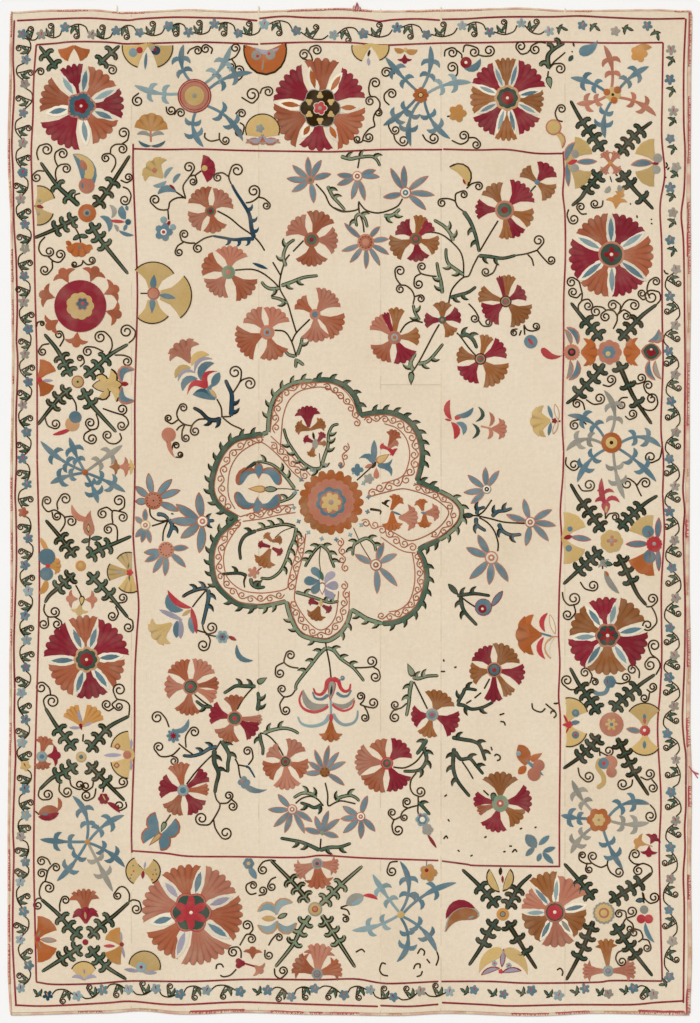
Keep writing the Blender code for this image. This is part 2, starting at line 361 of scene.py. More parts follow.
@dataclass(frozen=True)
class HandloomCotton:
    """Undyed cotton, hand spun and woven plain, so it is matte and cream, with thicker threads in places.

    The threads lie about 0.5 mm apart. They are drawn 1.2 mm apart, coarser than real, so that they show.
    The slubs run with both threads, old stains make broad patches a little browner or paler, and small
    puckers between the stitches are painted in as shade and light on the colour.
    """

    colour: str = "#E5D4BA"
    pale: str = "#EDDFC8"
    stained: str = "#D6C1A0"
    thin_yarn: float = 0.975
    thick_yarn: float = 1.025
    thread: float = 1.2
    slub_length: float = 90.0
    slub_width: float = 1.8
    stain_size: float = 260.0
    # The size of small puckers, and how far their painted shade and light darken and lighten the colour
    pucker: float = 9.0
    pucker_shade: float = 0.955
    pucker_light: float = 1.04
    roughness: float = 0.92
    bump: float = 0.4
    bump_height: float = 0.16

    def material(self) -> bpy.types.Material:
        """The finish of the cotton strips."""
        made, tree = empty_material("handloom_cotton")
        place = add_node(tree, "TexCoord").outputs["Object"]
        slubs = []
        for across, up in ((self.slub_length, self.slub_width), (self.slub_width, self.slub_length)):
            scale = (1 / (across * MM), 1 / (up * MM), 1.0)
            laid = add_node(tree, "Mapping", {"Vector": place, "Scale": scale})
            slubs.append(add_node(tree, "TexNoise", {"Vector": laid, "Scale": 1.0, "Detail": 2.0}))
        both = add_node(tree, "Math", {0: slubs[0], 1: slubs[1]}, operation="ADD")
        lines = add_node(tree, "MapRange", {"Value": both, "From Min": 0.7, "From Max": 1.3})
        yarns = {MIX_A: linear(self.colour, self.thin_yarn), MIX_B: linear(self.colour, self.thick_yarn)}
        ground = add_node(tree, "Mix", {MIX_FACTOR: lines, **yarns}, data_type="RGBA")
        noise = {"Vector": place, "Scale": 1 / (self.stain_size * MM), "Detail": 5.0, "Roughness": 0.55}
        stains = add_node(tree, "TexNoise", noise)
        for colour, start, full, most in ((self.stained, 0.5, 0.85, 0.55), (self.pale, 0.5, 0.2, 0.6)):
            patch = {"Value": stains, "From Min": start, "From Max": full, "To Max": most}
            share = add_node(tree, "MapRange", patch)
            mixed = {MIX_FACTOR: share, MIX_A: ground, MIX_B: linear(colour)}
            ground = add_node(tree, "Mix", mixed, data_type="RGBA")
        # Painted shade and light of puckers: a fine noise darkens and lightens the colour, with no bump
        noise = {"Vector": place, "Scale": 1 / (self.pucker * MM), "Detail": 3.0, "Roughness": 0.6}
        puckers = add_node(tree, "TexNoise", noise)
        painted_pucker_shading = {"From Min": 0.3, "From Max": 0.7, "To Min": self.pucker_shade, "To Max": self.pucker_light}
        shade = add_node(tree, "MapRange", {"Value": puckers, **painted_pucker_shading})
        shaded = {MIX_FACTOR: 1.0, MIX_A: ground, MIX_B: shade}
        ground = add_node(tree, "Mix", shaded, data_type="RGBA", blend_type="MULTIPLY")
        spin = 2 * pi / (self.thread * MM)
        sides = add_node(tree, "SeparateXYZ", {0: place})
        waves = []
        for axis in (0, 1):
            angle = add_node(tree, "Math", {0: sides.outputs[axis], 1: spin}, operation="MULTIPLY")
            waves.append(add_node(tree, "Math", {0: angle}, operation="SINE"))
        weave = add_node(tree, "Math", {0: waves[0], 1: waves[1]}, operation="MULTIPLY")
        height = add_node(tree, "Math", {0: both, 1: 2.2, 2: weave}, operation="MULTIPLY_ADD")
        relief = {"Height": height, "Strength": self.bump, "Distance": self.bump_height * MM}
        finish = {
            "Base Color": ground,
            "Roughness": self.roughness,
            "Specular IOR Level": 0.15,
            "Sheen Weight": 0.06,
            "Normal": add_node(tree, "Bump", relief),
        }
        put_out(tree, add_node(tree, "BsdfPrincipled", finish))
        return made


@dataclass(frozen=True)
class WornBindingSilk:
    """Plain silk ribbon, faded to cream and rubbed through along the fold, with a faint rib across it.

    The ribs lie about 0.5 mm apart. They are drawn 1.1 mm apart, coarser than real, so that they show.
    """

    colour: str = "#DCC5A6"
    rubbed: str = "#C98F79"
    rubbed_most: float = 0.85
    rib: float = 1.1
    patch: float = 38.0
    roughness: float = 0.7
    bump: float = 0.4
    bump_height: float = 0.2

    def material(self) -> bpy.types.Material:
        """The finish of the four bindings."""
        made, tree = empty_material("worn_binding_silk")
        place = add_node(tree, "TexCoord").outputs["Object"]
        noise = {"Vector": place, "Scale": 1 / (self.patch * MM), "Detail": 4.0}
        patches = add_node(tree, "TexNoise", noise)
        rubbing = {"From Min": 0.38, "From Max": 0.62, "To Max": self.rubbed_most}
        share = add_node(tree, "MapRange", {"Value": patches, **rubbing})
        dyes = {MIX_A: linear(self.colour), MIX_B: linear(self.rubbed)}
        colour = add_node(tree, "Mix", {MIX_FACTOR: share, **dyes}, data_type="RGBA")
        ribs = add_node(tree, "TexNoise", {"Vector": place, "Scale": 1 / (self.rib * MM), "Detail": 1.0})
        relief = {"Height": ribs, "Strength": self.bump, "Distance": self.bump_height * MM}
        finish = {
            "Base Color": colour,
            "Roughness": self.roughness,
            "Sheen Weight": 0.1,
            "Normal": add_node(tree, "Bump", relief),
        }
        put_out(tree, add_node(tree, "BsdfPrincipled", finish))
        return made


@dataclass(frozen=True)
class PaleBackdrop:
    """Smooth white paper, which shows as an even pale ground."""

    colour: str = "#F7F6F4"
    grain: float = 3.0
    grain_shade: float = 0.98
    roughness: float = 0.95

    def material(self) -> bpy.types.Material:
        """The finish of the floor."""
        made, tree = empty_material("pale_paper")
        place = add_node(tree, "TexCoord").outputs["Object"]
        grain = add_node(tree, "TexNoise", {"Vector": place, "Scale": 1 / (self.grain * MM)})
        tones = {MIX_A: linear(self.colour), MIX_B: linear(self.colour, self.grain_shade)}
        colour = add_node(tree, "Mix", {MIX_FACTOR: grain, **tones}, data_type="RGBA")
        put_out(tree, add_node(tree, "BsdfPrincipled", {"Base Color": colour, "Roughness": self.roughness}))
        return made


def read_edge(table: str) -> np.ndarray:
    """An edge's points in millimetres, each its place along the side and how far out the side stands."""
    return np.array([[float(number) for number in pair.split(",")] for pair in table.split()])


TOP_EDGE = read_edge(
    "-806,1180 -700,1185 -620,1186 -530,1180 -380,1186 -250,1182 -20,1189 80,1183 250,1186 400,1190 "
    "510,1184 720,1186 807,1183"
)
BOTTOM_EDGE = read_edge(
    "-806,1193 -580,1188 -500,1183 -390,1191 -250,1187 -60,1192 110,1194 230,1189 430,1195 580,1189 807,1193"
)
LEFT_EDGE = read_edge(
    "-1195,806 -1080,811 -800,811 -400,807 -150,804 50,805 350,801 650,804 860,811 1050,807 1190,805"
)
RIGHT_EDGE = read_edge(
    "-1195,803 -1050,807 -850,805 -650,807 -500,803 -350,804 -150,801 250,802 560,805 800,804 1000,805 "
    "1190,808"
)

EDGES = {"left": LEFT_EDGE, "right": RIGHT_EDGE, "top": TOP_EDGE, "bottom": BOTTOM_EDGE}
UPRIGHT = ("left", "right")
OUTWARD = {"left": -1, "right": 1, "top": 1, "bottom": -1}


def out_at(edge: np.ndarray, along: np.ndarray) -> np.ndarray:
    """How far out a bound edge stands, eased from one of its points to the next.

    Args:
        edge: The points of the edge.
        along: Places along the side, in millimetres.

    Returns:
        The distance out from the middle of the cloth at each place.
    """
    after = np.clip(np.searchsorted(edge[:, 0], along, side="right"), 1, len(edge) - 1)
    low, high = edge[after - 1], edge[after]
    share = np.clip((along - low[..., 0]) / (high[..., 0] - low[..., 0]), 0, 1)
    return low[..., 1] + (high[..., 1] - low[..., 1]) * (1 - np.cos(pi * share)) / 2


@dataclass(frozen=True)
class Fold:
    """A soft straight ridge in the cloth, or a trough where its rise is negative, in millimetres."""

    x: float
    y: float
    turn: float
    half_run: float
    half_width: float
    rise: float

    def height(self, x: np.ndarray, y: np.ndarray) -> np.ndarray:
        """What the fold adds to the height of the face at places in millimetres."""
        run_x, run_y = cos(radians(self.turn)), sin(radians(self.turn))
        along = (x - self.x) * run_x + (y - self.y) * run_y
        across = (y - self.y) * run_x - (x - self.x) * run_y
        fade = np.maximum(0.0, 1 - (along / self.half_run) ** 2)
        return self.rise * fade * np.exp(-((across / self.half_width) ** 2))


FOLDS = """
x    | y     | turn | half_run | half_width | rise
-465 | 110   | 92   | 330      | 46         | 0.8
-380 | 60    | 88   | 280      | 40         | -0.5
415  | -20   | 90   | 330      | 38         | -0.6
468  | 60    | 91   | 360      | 42         | 0.7
60   | 560   | 38   | 150      | 26         | 0.6
95   | 505   | 36   | 165      | 26         | -0.5
130  | 450   | 34   | 150      | 26         | 0.5
-325 | 495   | 84   | 140      | 24         | -0.5
-150 | 905   | 3    | 420      | 44         | 0.5
610  | 800   | 82   | 270      | 42         | 0.7
-640 | -430  | 88   | 330      | 44         | 0.6
250  | -780  | 8    | 320      | 44         | 0.6
-110 | -1045 | 2    | 430      | 46         | -0.4
640  | -900  | 96   | 240      | 44         | 0.6
"""


@dataclass(frozen=True)
class Relief:
    """The height of the cloth's face over the floor, in millimetres, which every thread lies on."""

    thickness: float = 1.7
    least: float = 1.1
    seams: tuple[float, ...] = (-518.0, -217.0, 71.0, 214.0, 507.0)
    half_strip: tuple[float, float] = (71.0, 214.0)
    pieced_seam: float = 298.0
    seam_rise: float = 0.45
    seam_reach: float = 9.0
    hem_rise: float = 0.35
    hem_reach: float = 12.0
    left_binding: float = 6.0
    right_binding: float = 9.0
    top_binding: float = 5.0
    bottom_binding: float = 6.0
    binding_height: float = 2.0
    binding_share: float = 0.5

    def cloth_left(self, y: np.ndarray) -> np.ndarray:
        """Where the cotton ends on the left, inside the binding."""
        return self.left_binding - out_at(LEFT_EDGE, y)

    def cloth_right(self, y: np.ndarray) -> np.ndarray:
        """Where the cotton ends on the right, inside the binding."""
        return out_at(RIGHT_EDGE, y) - self.right_binding

    def cloth_bottom(self, x: np.ndarray) -> np.ndarray:
        """Where the cotton ends at the bottom, inside the binding."""
        return self.bottom_binding - out_at(BOTTOM_EDGE, x)

    def cloth_top(self, x: np.ndarray) -> np.ndarray:
        """Where the cotton ends at the top, inside the binding."""
        return out_at(TOP_EDGE, x) - self.top_binding

    def face(self, x: np.ndarray, y: np.ndarray) -> np.ndarray:
        """The height of the cloth's face at places in millimetres."""
        # Two waves of 0.22 and 0.16 mm, 230 and 310 mm long and neither of them straight
        swell = 0.22 * np.sin(2 * pi * (x / 230 + 0.35 * np.sin(y / 190)))
        swell += 0.16 * np.sin(2 * pi * y / 310 + x / 140)
        folds = sum(fold.height(x, y) for fold in read(Fold, FOLDS))
        to_seam = np.min([np.abs(x - seam) for seam in self.seams], axis=0)
        in_half = (x > self.half_strip[0]) & (x < self.half_strip[1])
        to_seam = np.where(in_half, np.minimum(to_seam, np.abs(y - self.pieced_seam)), to_seam)
        seams = self.seam_rise * np.exp(-((to_seam / self.seam_reach) ** 2))
        inside = np.min(
            [
                x - self.cloth_left(y),
                self.cloth_right(y) - x,
                y - self.cloth_bottom(x),
                self.cloth_top(x) - y,
            ],
            axis=0,
        )
        hem = self.hem_rise * np.exp(-((np.maximum(inside, 0.0) / self.hem_reach) ** 2))
        return np.maximum(self.least, self.thickness + swell + folds + seams + hem)

    def binding(self, x: np.ndarray, y: np.ndarray) -> np.ndarray:
        """The height of the binding, which rides on the same folds as the cloth beside it."""
        return self.binding_height + self.binding_share * (self.face(x, y) - self.thickness)


RELIEF = Relief()


def finished(
    name: str, mesh: bpy.types.Mesh, materials: list[bpy.types.Material]
) -> bpy.types.Object:
    """An object of a finished mesh, dressed and on the body."""
    for material in materials:
        mesh.materials.append(material)
    made = bpy.data.objects.new(name, mesh)
    bpy.context.scene.collection.objects.link(made)
    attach(made, BODY)
    return made


def closed_sheet(
    name: str, under: bmesh.types.BMesh, height: Callable, material: bpy.types.Material
) -> bpy.types.Object:
    """A closed sheet between a lower face and an upper one, dressed and reported.

    Args:
        name: The name of the piece.
        under: The mesh of its lower face, which is used up.
        height: Gives the height of its upper face from x and y, all in millimetres.
        material: Its finish.

    Returns:
        The object.
    """
    raised = bmesh.ops.extrude_face_region(under, geom=under.faces[:], use_keep_orig=True)
    upper = [corner for corner in raised["geom"] if isinstance(corner, bmesh.types.BMVert)]
    for corner in upper:
        corner.co.z += 1 * MM
    bmesh.ops.recalc_face_normals(under, faces=under.faces[:])
    places = np.array([corner.co for corner in upper]) / MM
    for corner, z in zip(upper, height(places[:, 0], places[:, 1])):
        corner.co.z = z * MM
    mesh = bpy.data.meshes.new(name)
    under.to_mesh(mesh)
    under.free()
    mesh.shade_smooth()
    LOG.info("%s: %d faces", name, len(mesh.polygons))
    return finished(name, mesh, [material])


@dataclass(frozen=True)
class Template:
    """A closed unit patch of needlework to copy, as arrays.

    u runs along the patch from 0 to 1 and v across it from -1 to 1, or u is the angle and v the radius
    of a round one. top is 1 on the face and 0 under it. loops lists the corners of each face in turn and
    sizes how many corners each has.
    """

    u: np.ndarray
    v: np.ndarray
    top: np.ndarray
    loops: np.ndarray
    sizes: np.ndarray

    @classmethod
    def of(cls, patch: bmesh.types.BMesh, u: Callable, v: Callable) -> "Template":
        """The arrays of a flat bmesh, once it has been given a wall and an underside.

        Args:
            patch: The flat mesh, which is used up.
            u: Gives u from a corner's place.
            v: Gives v from a corner's place.

        Returns:
            The template.
        """
        raised = bmesh.ops.extrude_face_region(patch, geom=patch.faces[:], use_keep_orig=True)
        for corner in raised["geom"]:
            if isinstance(corner, bmesh.types.BMVert):
                corner.co.z = 1.0
        bmesh.ops.recalc_face_normals(patch, faces=patch.faces[:])
        patch.verts.index_update()
        places = np.array([corner.co for corner in patch.verts])
        loops = [corner.index for face in patch.faces for corner in face.verts]
        sizes = [len(face.verts) for face in patch.faces]
        patch.free()
        return cls(u(places), v(places), places[:, 2], np.array(loops), np.array(sizes))


@lru_cache(maxsize=None)
def band_template(along: int, across: int) -> Template:
    """A straight band of so many steps along it and across it."""
    band = bmesh.new()
    bmesh.ops.create_grid(band, x_segments=along, y_segments=across, size=1.0)
    return Template.of(band, lambda places: (places[:, 0] + 1) / 2, lambda places: places[:, 1])


@lru_cache(maxsize=None)
def disc_template(around: int, rings: int) -> Template:
    """A disc of so many steps around it and from its middle to its rim."""
    disc = bmesh.new()
    bmesh.ops.create_grid(disc, x_segments=around, y_segments=rings, size=1.0)
    for corner in disc.verts:
        angle, radius = pi * (corner.co.x + 1), (corner.co.y + 1) / 2
        corner.co = (radius * cos(angle), radius * sin(angle), 0.0)
    bmesh.ops.remove_doubles(disc, verts=disc.verts[:], dist=1e-4)
    return Template.of(
        disc,
        lambda places: np.arctan2(places[:, 1], places[:, 0]),
        lambda places: np.hypot(places[:, 0], places[:, 1]),
    )


def smooth_line(points: list[Point], curl: float = 0.0, winds: float = 1.45) -> np.ndarray:
    """Fine points along a smooth line through some points, with a spiral at its end.

    Args:
        points: The places that the line goes through.
        curl: The radius of the spiral, anticlockwise where it is above 0. 0 leaves it out.
        winds: How many times the spiral goes round.

    Returns:
        The fine points, a row each.
    """
    given = np.array(points, float)
    ends = np.vstack([2 * given[0] - given[1], given, 2 * given[-1] - given[-2]])
    t = np.linspace(0, 1, 10, endpoint=False)[:, None]
    pieces = [
        0.5 * (2 * b + (c - a) * t + (2 * a - 5 * b + 4 * c - d) * t**2 + (3 * b - a - 3 * c + d) * t**3)
        for a, b, c, d in zip(ends, ends[1:], ends[2:], ends[3:])
    ]
    line = np.vstack([*pieces, given[-1:]])
    if curl == 0:
        return line
    heading = line[-1] - line[-2]
    heading /= np.hypot(*heading)
    side = 1 if curl > 0 else -1
    middle = line[-1] + curl * np.array([-heading[1], heading[0]])
    start = atan2(*(line[-1] - middle)[::-1])
    turned = np.linspace(0, 1, 40)[1:]
    angle = start + side * 2 * pi * winds * turned
    radius = abs(curl) * (1 - 0.78 * turned**1.3)
    wound = middle + radius[:, None] * np.stack([np.cos(angle), np.sin(angle)], axis=1)
    return np.vstack([line, wound])


def between(run: np.ndarray, points: np.ndarray, at: np.ndarray | float) -> np.ndarray:
    """The points at places along a line, from those that it has at the ways run."""
    return np.stack([np.interp(at, run, points[:, 0]), np.interp(at, run, points[:, 1])], axis=-1)


def stations(line: np.ndarray, width: float, bend: float = 24.0, step: float = 1.6) -> np.ndarray:
    """Points spaced along a fine line, closer together where it bends and at its two blunt ends.

    Args:
        line: The fine points.
        width: The width of what is drawn, which sets how long its blunt ends are.
        bend: The most that the line turns from one point to the next, in degrees.
        step: The longest way from one point to the next.

    Returns:
        The points, with the way run so far as a third column.
    """
    steps = np.hypot(*np.diff(line, axis=0).T)
    headings = np.unwrap(np.arctan2(*np.diff(line, axis=0).T[::-1]))
    turns = np.abs(np.degrees(np.diff(headings, prepend=headings[0])))
    run = np.concatenate([[0], np.cumsum(steps)])
    cost = np.concatenate([[0], np.cumsum(steps / step + turns / bend)])
    count = max(2, ceil(cost[-1]))
    at = np.interp(np.linspace(0, cost[-1], count + 1), cost, run)
    blunt = min(0.35 * width, 0.2 * run[-1])
    inner = at[(at > 1.6 * blunt) & (at < run[-1] - 1.6 * blunt)]
    at = np.concatenate([[0, blunt], inner, [run[-1] - blunt, run[-1]]])
    return np.column_stack([between(run, line, at), at])


def left_of(track: np.ndarray) -> np.ndarray:
    """The unit direction to the left of a line at each of its points."""
    ahead = np.gradient(track[:, :2], axis=0)
    ahead /= np.maximum(np.hypot(ahead[:, 0], ahead[:, 1]), 1e-9)[:, None]
    return np.stack([-ahead[:, 1], ahead[:, 0]], axis=1)


def hook_feet(track: np.ndarray, hooks: str, after: float) -> Iterator[tuple[np.ndarray, np.ndarray, int]]:
    """The places of hooks in even steps along a stem.

    Args:
        track: The stations of the stem.
        hooks: A letter for each place: L or R for its side, B for both and a point for none.
        after: What is left of the stem after the last place, as a share of a step.

    Yields:
        Each hook's foot, the direction to the left of the stem there, and its side: 1 is the left.
    """
    run, sides = track[:, 2], left_of(track)
    for place, letter in enumerate(hooks):
        at = run[-1] * (place + 0.7) / (len(hooks) + after)
        left = between(run, sides, at)
        left /= np.hypot(*left)
        for side in {"L": (1,), "R": (-1,), "B": (1, -1)}.get(letter, ()):
            yield between(run, track, at), left, side


def way(turn: float, length: float, start: Point = (0.0, 0.0)) -> Point:
    """The point at a distance from another in the direction of a turn."""
    return start[0] + length * cos(radians(turn)), start[1] + length * sin(radians(turn))


class Needlework:
    """Patches of silk needlework on the cloth, collected and then joined as one mesh.

    Every patch is a closed shape that is sunk a little into the cloth. One on a higher layer lies over
    one on a lower. An outlined shape is a darker patch with a smaller one over it. Heights are in
    millimetres, and the widths of an outline, a ridged line and a fan's rim are in centimetres.
    """

    lift = 0.22
    layer_rise = 0.2
    swell = 0.5
    sunk = 0.3
    outline = 0.2
    # No two patches that touch lie at quite the same height
    stagger = 0.004
    staggered = 24
    ridged_width = 0.45
    rim_width = 0.26
    # Shares: a line's width at its blunt ends, and how full stitches are at an edge
    blunt_end = 0.55
    edge_rise = 0.2
    # Beyond this share of its template, a corner lies on the edge of its patch
    on_edge = 0.99

    def __init__(self, name: str, seed: int = 1, ground: Callable = RELIEF.face) -> None:
        """Start with no patches.

        Args:
            name: The name of the piece.
            seed: Sets how the tones of the patches vary.
            ground: The height of what it is sewn on.
        """
        self.name = name
        self.ground = ground
        self.chance = random.Random(seed)
        self.parts: list[dict[str, np.ndarray]] = []
        self.threads: list[Thread] = []

    def lay(
        self,
        template: Template,
        thread: Thread,
        place: np.ndarray,
        rows: np.ndarray,
        rise: np.ndarray,
        layer: int = 0,
        furrow: np.ndarray | float = 0.0,
    ) -> None:
        """Add a patch.

        Args:
            template: The unit patch that is copied.
            thread: Its silk.
            place: Where each of its corners lies.
            rows: Each corner's way along the rows of stitches and across them.
            rise: How full the stitching is at each corner, from 0 to 1.
            layer: How many patches lie under it.
            furrow: How deep each corner lies between two tufts, from 0 to 1, which sets its painted shade.
        """
        corner = template.loops
        first = np.cumsum(template.sizes) - template.sizes
        starts = np.repeat(first, template.sizes)
        turn = np.arange(len(corner)) - starts
        after = corner[starts + (turn + 1) % np.repeat(template.sizes, template.sizes)]
        faces_up = np.repeat(np.add.reduceat(template.top[corner], first) == template.sizes, template.sizes)
        a, b = place[corner[faces_up]], place[after[faces_up]]
        if np.sum(a[:, 0] * b[:, 1] - a[:, 1] * b[:, 0]) < 0:
            # The copy is mirrored, so each of its faces is turned round
            last = starts + np.repeat(template.sizes, template.sizes) - 1
            corner = corner[last - turn]
        if thread not in self.threads:
            self.threads.append(thread)
        height = self.lift + self.layer_rise * layer + self.swell * rise
        height = height + self.stagger * (len(self.parts) % self.staggered)
        count = len(template.u)
        self.parts.append(
            {
                "place": place,
                "height": np.where(template.top > 0.5, height, -self.sunk),
                "rows": rows * MM_PER_CM + self.chance.uniform(0, 900),
                "tone": np.full(count, self.chance.uniform(-1, 1)),
                "furrow": np.broadcast_to(furrow, (count,)),
                "loops": corner,
                "sizes": template.sizes,
                "thread": np.full(len(template.sizes), self.threads.index(thread)),
            }
        )

    def stroke(
        self,
        thread: Thread,
        points: list[Point],
        width: float,
        curl: float = 0.0,
        root: float = 1.0,
        tip: float = 1.0,
        layer: int = 0,
        winds: float = 1.45,
    ) -> None:
        """Add a line of chain stitch or a narrow couched band.

        Args:
            thread: Its silk.
            points: The places that it goes through.
            width: Its width.
            curl: The radius of a spiral at its end, as in smooth_line.
            root: Its width at the start, as a share.
            tip: Its width at the end, as a share.
            layer: How many patches lie under it.
            winds: How many times the spiral goes round.
        """
        track = stations(smooth_line(points, curl, winds), width)
        sides = left_of(track)
        across = 2 if width > self.ridged_width else 1
        template = band_template(len(track) - 1, across)
        station = np.rint(template.u * (len(track) - 1)).astype(int)
        share = root + (tip - root) * template.u
        blunt = np.where((station == 0) | (station == len(track) - 1), self.blunt_end, 1.0)
        half = width / 2 * share * blunt * template.v
        place = track[station, :2] + sides[station] * half[:, None]
        rows = np.stack([track[station, 2], half], axis=1)
        full = 0.7 if across == 1 else 1 - 0.9 * np.abs(template.v)
        self.lay(template, thread, place, rows, full * blunt, layer)

    def leaf(
        self,
        thread: Thread,
        base: Point,
        tip: Point,
        width: float,
        bend: float = 0.0,
        form: Form = Form.LEAF,
        rim: Thread | None = None,
        layer: int = 1,
        steps: int = 0,
    ) -> None:
        """Add a petal or leaf.

        Args:
            thread: Its silk.
            base: Where it starts.
            tip: Where it ends.
            width: Its greatest width.
            bend: How far its middle line bows out to the left, as a share of its length.
            form: Its outline.
            rim: The silk of the line round it, if it has one.
            layer: How many patches lie under it.
            steps: How many steps it has along it, or 0 for as many as its size needs.
        """
        span = hypot(tip[0] - base[0], tip[1] - base[1])
        steps = steps or max(6, min(14, round(5 + span * (0.5 + abs(bend)))))
        if rim is not None:
            over = 1.6 * self.outline * (np.array(tip) - base) / max(span, 1e-6)
            wide = width + 2 * self.outline
            self.leaf(rim, tuple(base - over), tuple(tip + over), wide, bend, form, None, layer - 1, steps)
        template = band_template(steps, 2)
        u = (1 - np.cos(pi * template.u)) / 2
        start, end = np.array(base, float), np.array(tip, float)
        ahead = end - start
        left = np.array([-ahead[1], ahead[0]])
        bow = 4 * bend * u * (1 - u)
        slope = 4 * bend * (1 - 2 * u)
        direction = ahead[None, :] + slope[:, None] * left[None, :]
        direction /= np.hypot(direction[:, 0], direction[:, 1])[:, None]
        side = np.stack([-direction[:, 1], direction[:, 0]], axis=1)
        half = width / 2 * np.maximum(form.share(u), 0.06) * template.v
        place = start + u[:, None] * ahead + bow[:, None] * left + side * half[:, None]
        length = np.hypot(*ahead)
        rows = np.stack([u * length, half], axis=1)
        rise = 1 - 0.8 * np.abs(template.v)
        self.lay(template, thread, place, rows, rise, layer)

    def fan(
        self,
        blade: Blade,
        middle: Point,
        inner: float = 0.0,
        neck: float = 0.42,
        lobes: int = 5,
        scallop: float = 0.06,
        flare: float = 1.5,
        rim: Thread | None = None,
        layer: int = 1,
        corner: float = 0.93,
    ) -> None:
        """Add a fan-shaped petal with a scalloped crest, flaring sides and pointed corners.

        Args:
            blade: Its silk, turn, length and spread, seen from the middle of its flower.
            middle: The middle of its flower.
            inner: How far from the middle it starts.
            neck: Half its width there.
            lobes: How many scallops its crest has.
            scallop: How deep they are, as a share of its length.
            flare: How late its sides flare out: 1 is straight.
            rim: The silk of the line along its crest, if it has one.
            layer: How many patches lie under it.
            corner: How far out its corners are, as a share of its length.
        """
        per_lobe = 4
        template = band_template(lobes * per_lobe, 4)
        across, out = 2 * template.u - 1, np.sin(pi * (template.v + 1) / 4) ** 0.75
        lobe = np.abs(np.sin(pi * lobes * template.u))
        at_side = np.abs(across) > self.on_edge
        crest = blade.length * (1 - (1 - corner) * across**2 - scallop * (1 - lobe**0.6) * ~at_side)
        angle = radians(blade.spread / 2) * across
        ahead = inner + (crest * np.cos(angle) - inner) * out
        aside = across * neck + (crest * np.sin(angle) - across * neck) * out**flare
        turn = radians(blade.turn)
        place = np.stack(
            [
                middle[0] + ahead * cos(turn) + aside * sin(turn),
                middle[1] + ahead * sin(turn) - aside * cos(turn),
            ],
            axis=1,
        )
        far = blade.length * radians(blade.spread / 2)
        rows = np.stack([ahead, across * far], axis=1)
        # A plain wing, whose crest is hardly scalloped, has no furrows between tufts
        deep = 1.0 if scallop > 0.04 else 0.0
        # The furrows lie lower, and the silk darkens them with painted shade
        furrow = deep * (1 - lobe) ** 2 * np.clip(out * 1.6 - 0.4, 0, 1) * ~at_side
        at_edge = at_side | (out > self.on_edge) | (out < 1 - self.on_edge)
        rise = (1 - 0.5 * furrow) * np.where(at_edge, self.edge_rise, 1.0)
        self.lay(template, blade.thread, place, rows, rise, layer, furrow)
        if rim is not None:
            edge = [
                way(
                    blade.turn - blade.spread / 2 * share,
                    blade.length * (1 - (1 - corner) * share**2) + 0.02,
                    middle,
                )
                for share in np.linspace(-1, 1, 11)
            ]
            self.stroke(rim, edge, self.rim_width, layer=layer + 1)

    def disc(
        self,
        thread: Thread,
        middle: Point,
        radius: float,
        lobes: int = 0,
        depth: float = 0.1,
        turn: float = 0.0,
        layer: int = 1,
        sharp: float = 1.0,
    ) -> None:
        """Add a round or lobed heart.

        Args:
            thread: Its silk.
            middle: Its middle.
            radius: Its greatest radius.
            lobes: How many lobes its rim has.
            depth: How deep the notches between them are, as a share of the radius.
            turn: Where one of the lobes lies.
            layer: How many patches lie under it.
            sharp: Above 1 its lobes are narrow, as a star's are, and below 1 broad, as petals are.
        """
        around = max(14, round(7 * radius), lobes * 4)
        template = disc_template(around, 2)
        lobe = np.abs(np.cos(lobes * (template.u - radians(turn)) / 2)) ** sharp if lobes else 1.0
        # The second ring of corners lies close to the rim, so the face is flat and only its edge is rounded
        reach = radius * template.v**0.25 * (1 - depth + depth * lobe)
        place = np.stack(
            [middle[0] + reach * np.cos(template.u), middle[1] + reach * np.sin(template.u)], axis=1
        )
        rows = np.stack([2 * np.cos(template.u), reach], axis=1)
        rise = np.where(template.v > self.on_edge, self.edge_rise, 1.0)
        self.lay(template, thread, place, rows, rise, layer)

    def rings(
        self, rings: list[Ring], middle: Point, lobes: int = 0, depth: float = 0.1, layer: int = 1
    ) -> None:
        """Add a heart of rings, the widest first."""
        for over, ring in enumerate(rings):
            self.disc(ring.thread, middle, ring.radius, lobes, depth, layer=layer + over)

    def branch(
        self,
        fill: Thread,
        points: list[Point],
        width: float,
        hooks: str = "",
        rim: Thread | None = Thread.OUTLINE,
        tip: float = 0.5,
        reach: float = 1.15,
        lean: float = 0.55,
        knob: float = 0.6,
        layer: int = 0,
    ) -> None:
        """Add a stem with hooked leaves along it.

        Args:
            fill: Its silk.
            points: The places that it goes through.
            width: Its width.
            hooks: A letter for each place of a hook, in even steps along it: L or R for its side, B for both
                and a point for none.
            rim: The silk of the line round it, if it has one.
            tip: Its width at the end, as a share.
            reach: How far the hooks stand out.
            lean: How far their tips lean forward, or back where it is below 0.
            knob: How much wider they are than a third of the stem.
            layer: How many patches lie under it.
        """
        over = layer + (1 if rim is not None else 0)
        for foot, left, side in hook_feet(stations(smooth_line(points), width), hooks, 0.35):
            ahead = np.array([left[1], -left[0]]) * reach
            start = foot - ahead * 0.15 * np.sign(lean)
            end = foot + left * side * (width / 2 + reach * 0.82) + ahead * lean
            wide, bend = knob + width * 0.35, 0.26 * side * np.sign(lean)
            self.leaf(fill, tuple(start), tuple(end), wide, bend, Form.HORN, rim, over, 7)
        if rim is not None:
            edged = width + 2 * self.outline
            self.stroke(rim, points, edged, 0.0, 1.0, (width * tip + 2 * self.outline) / edged, layer)
        self.stroke(fill, points, width, 0.0, 1.0, tip, over)

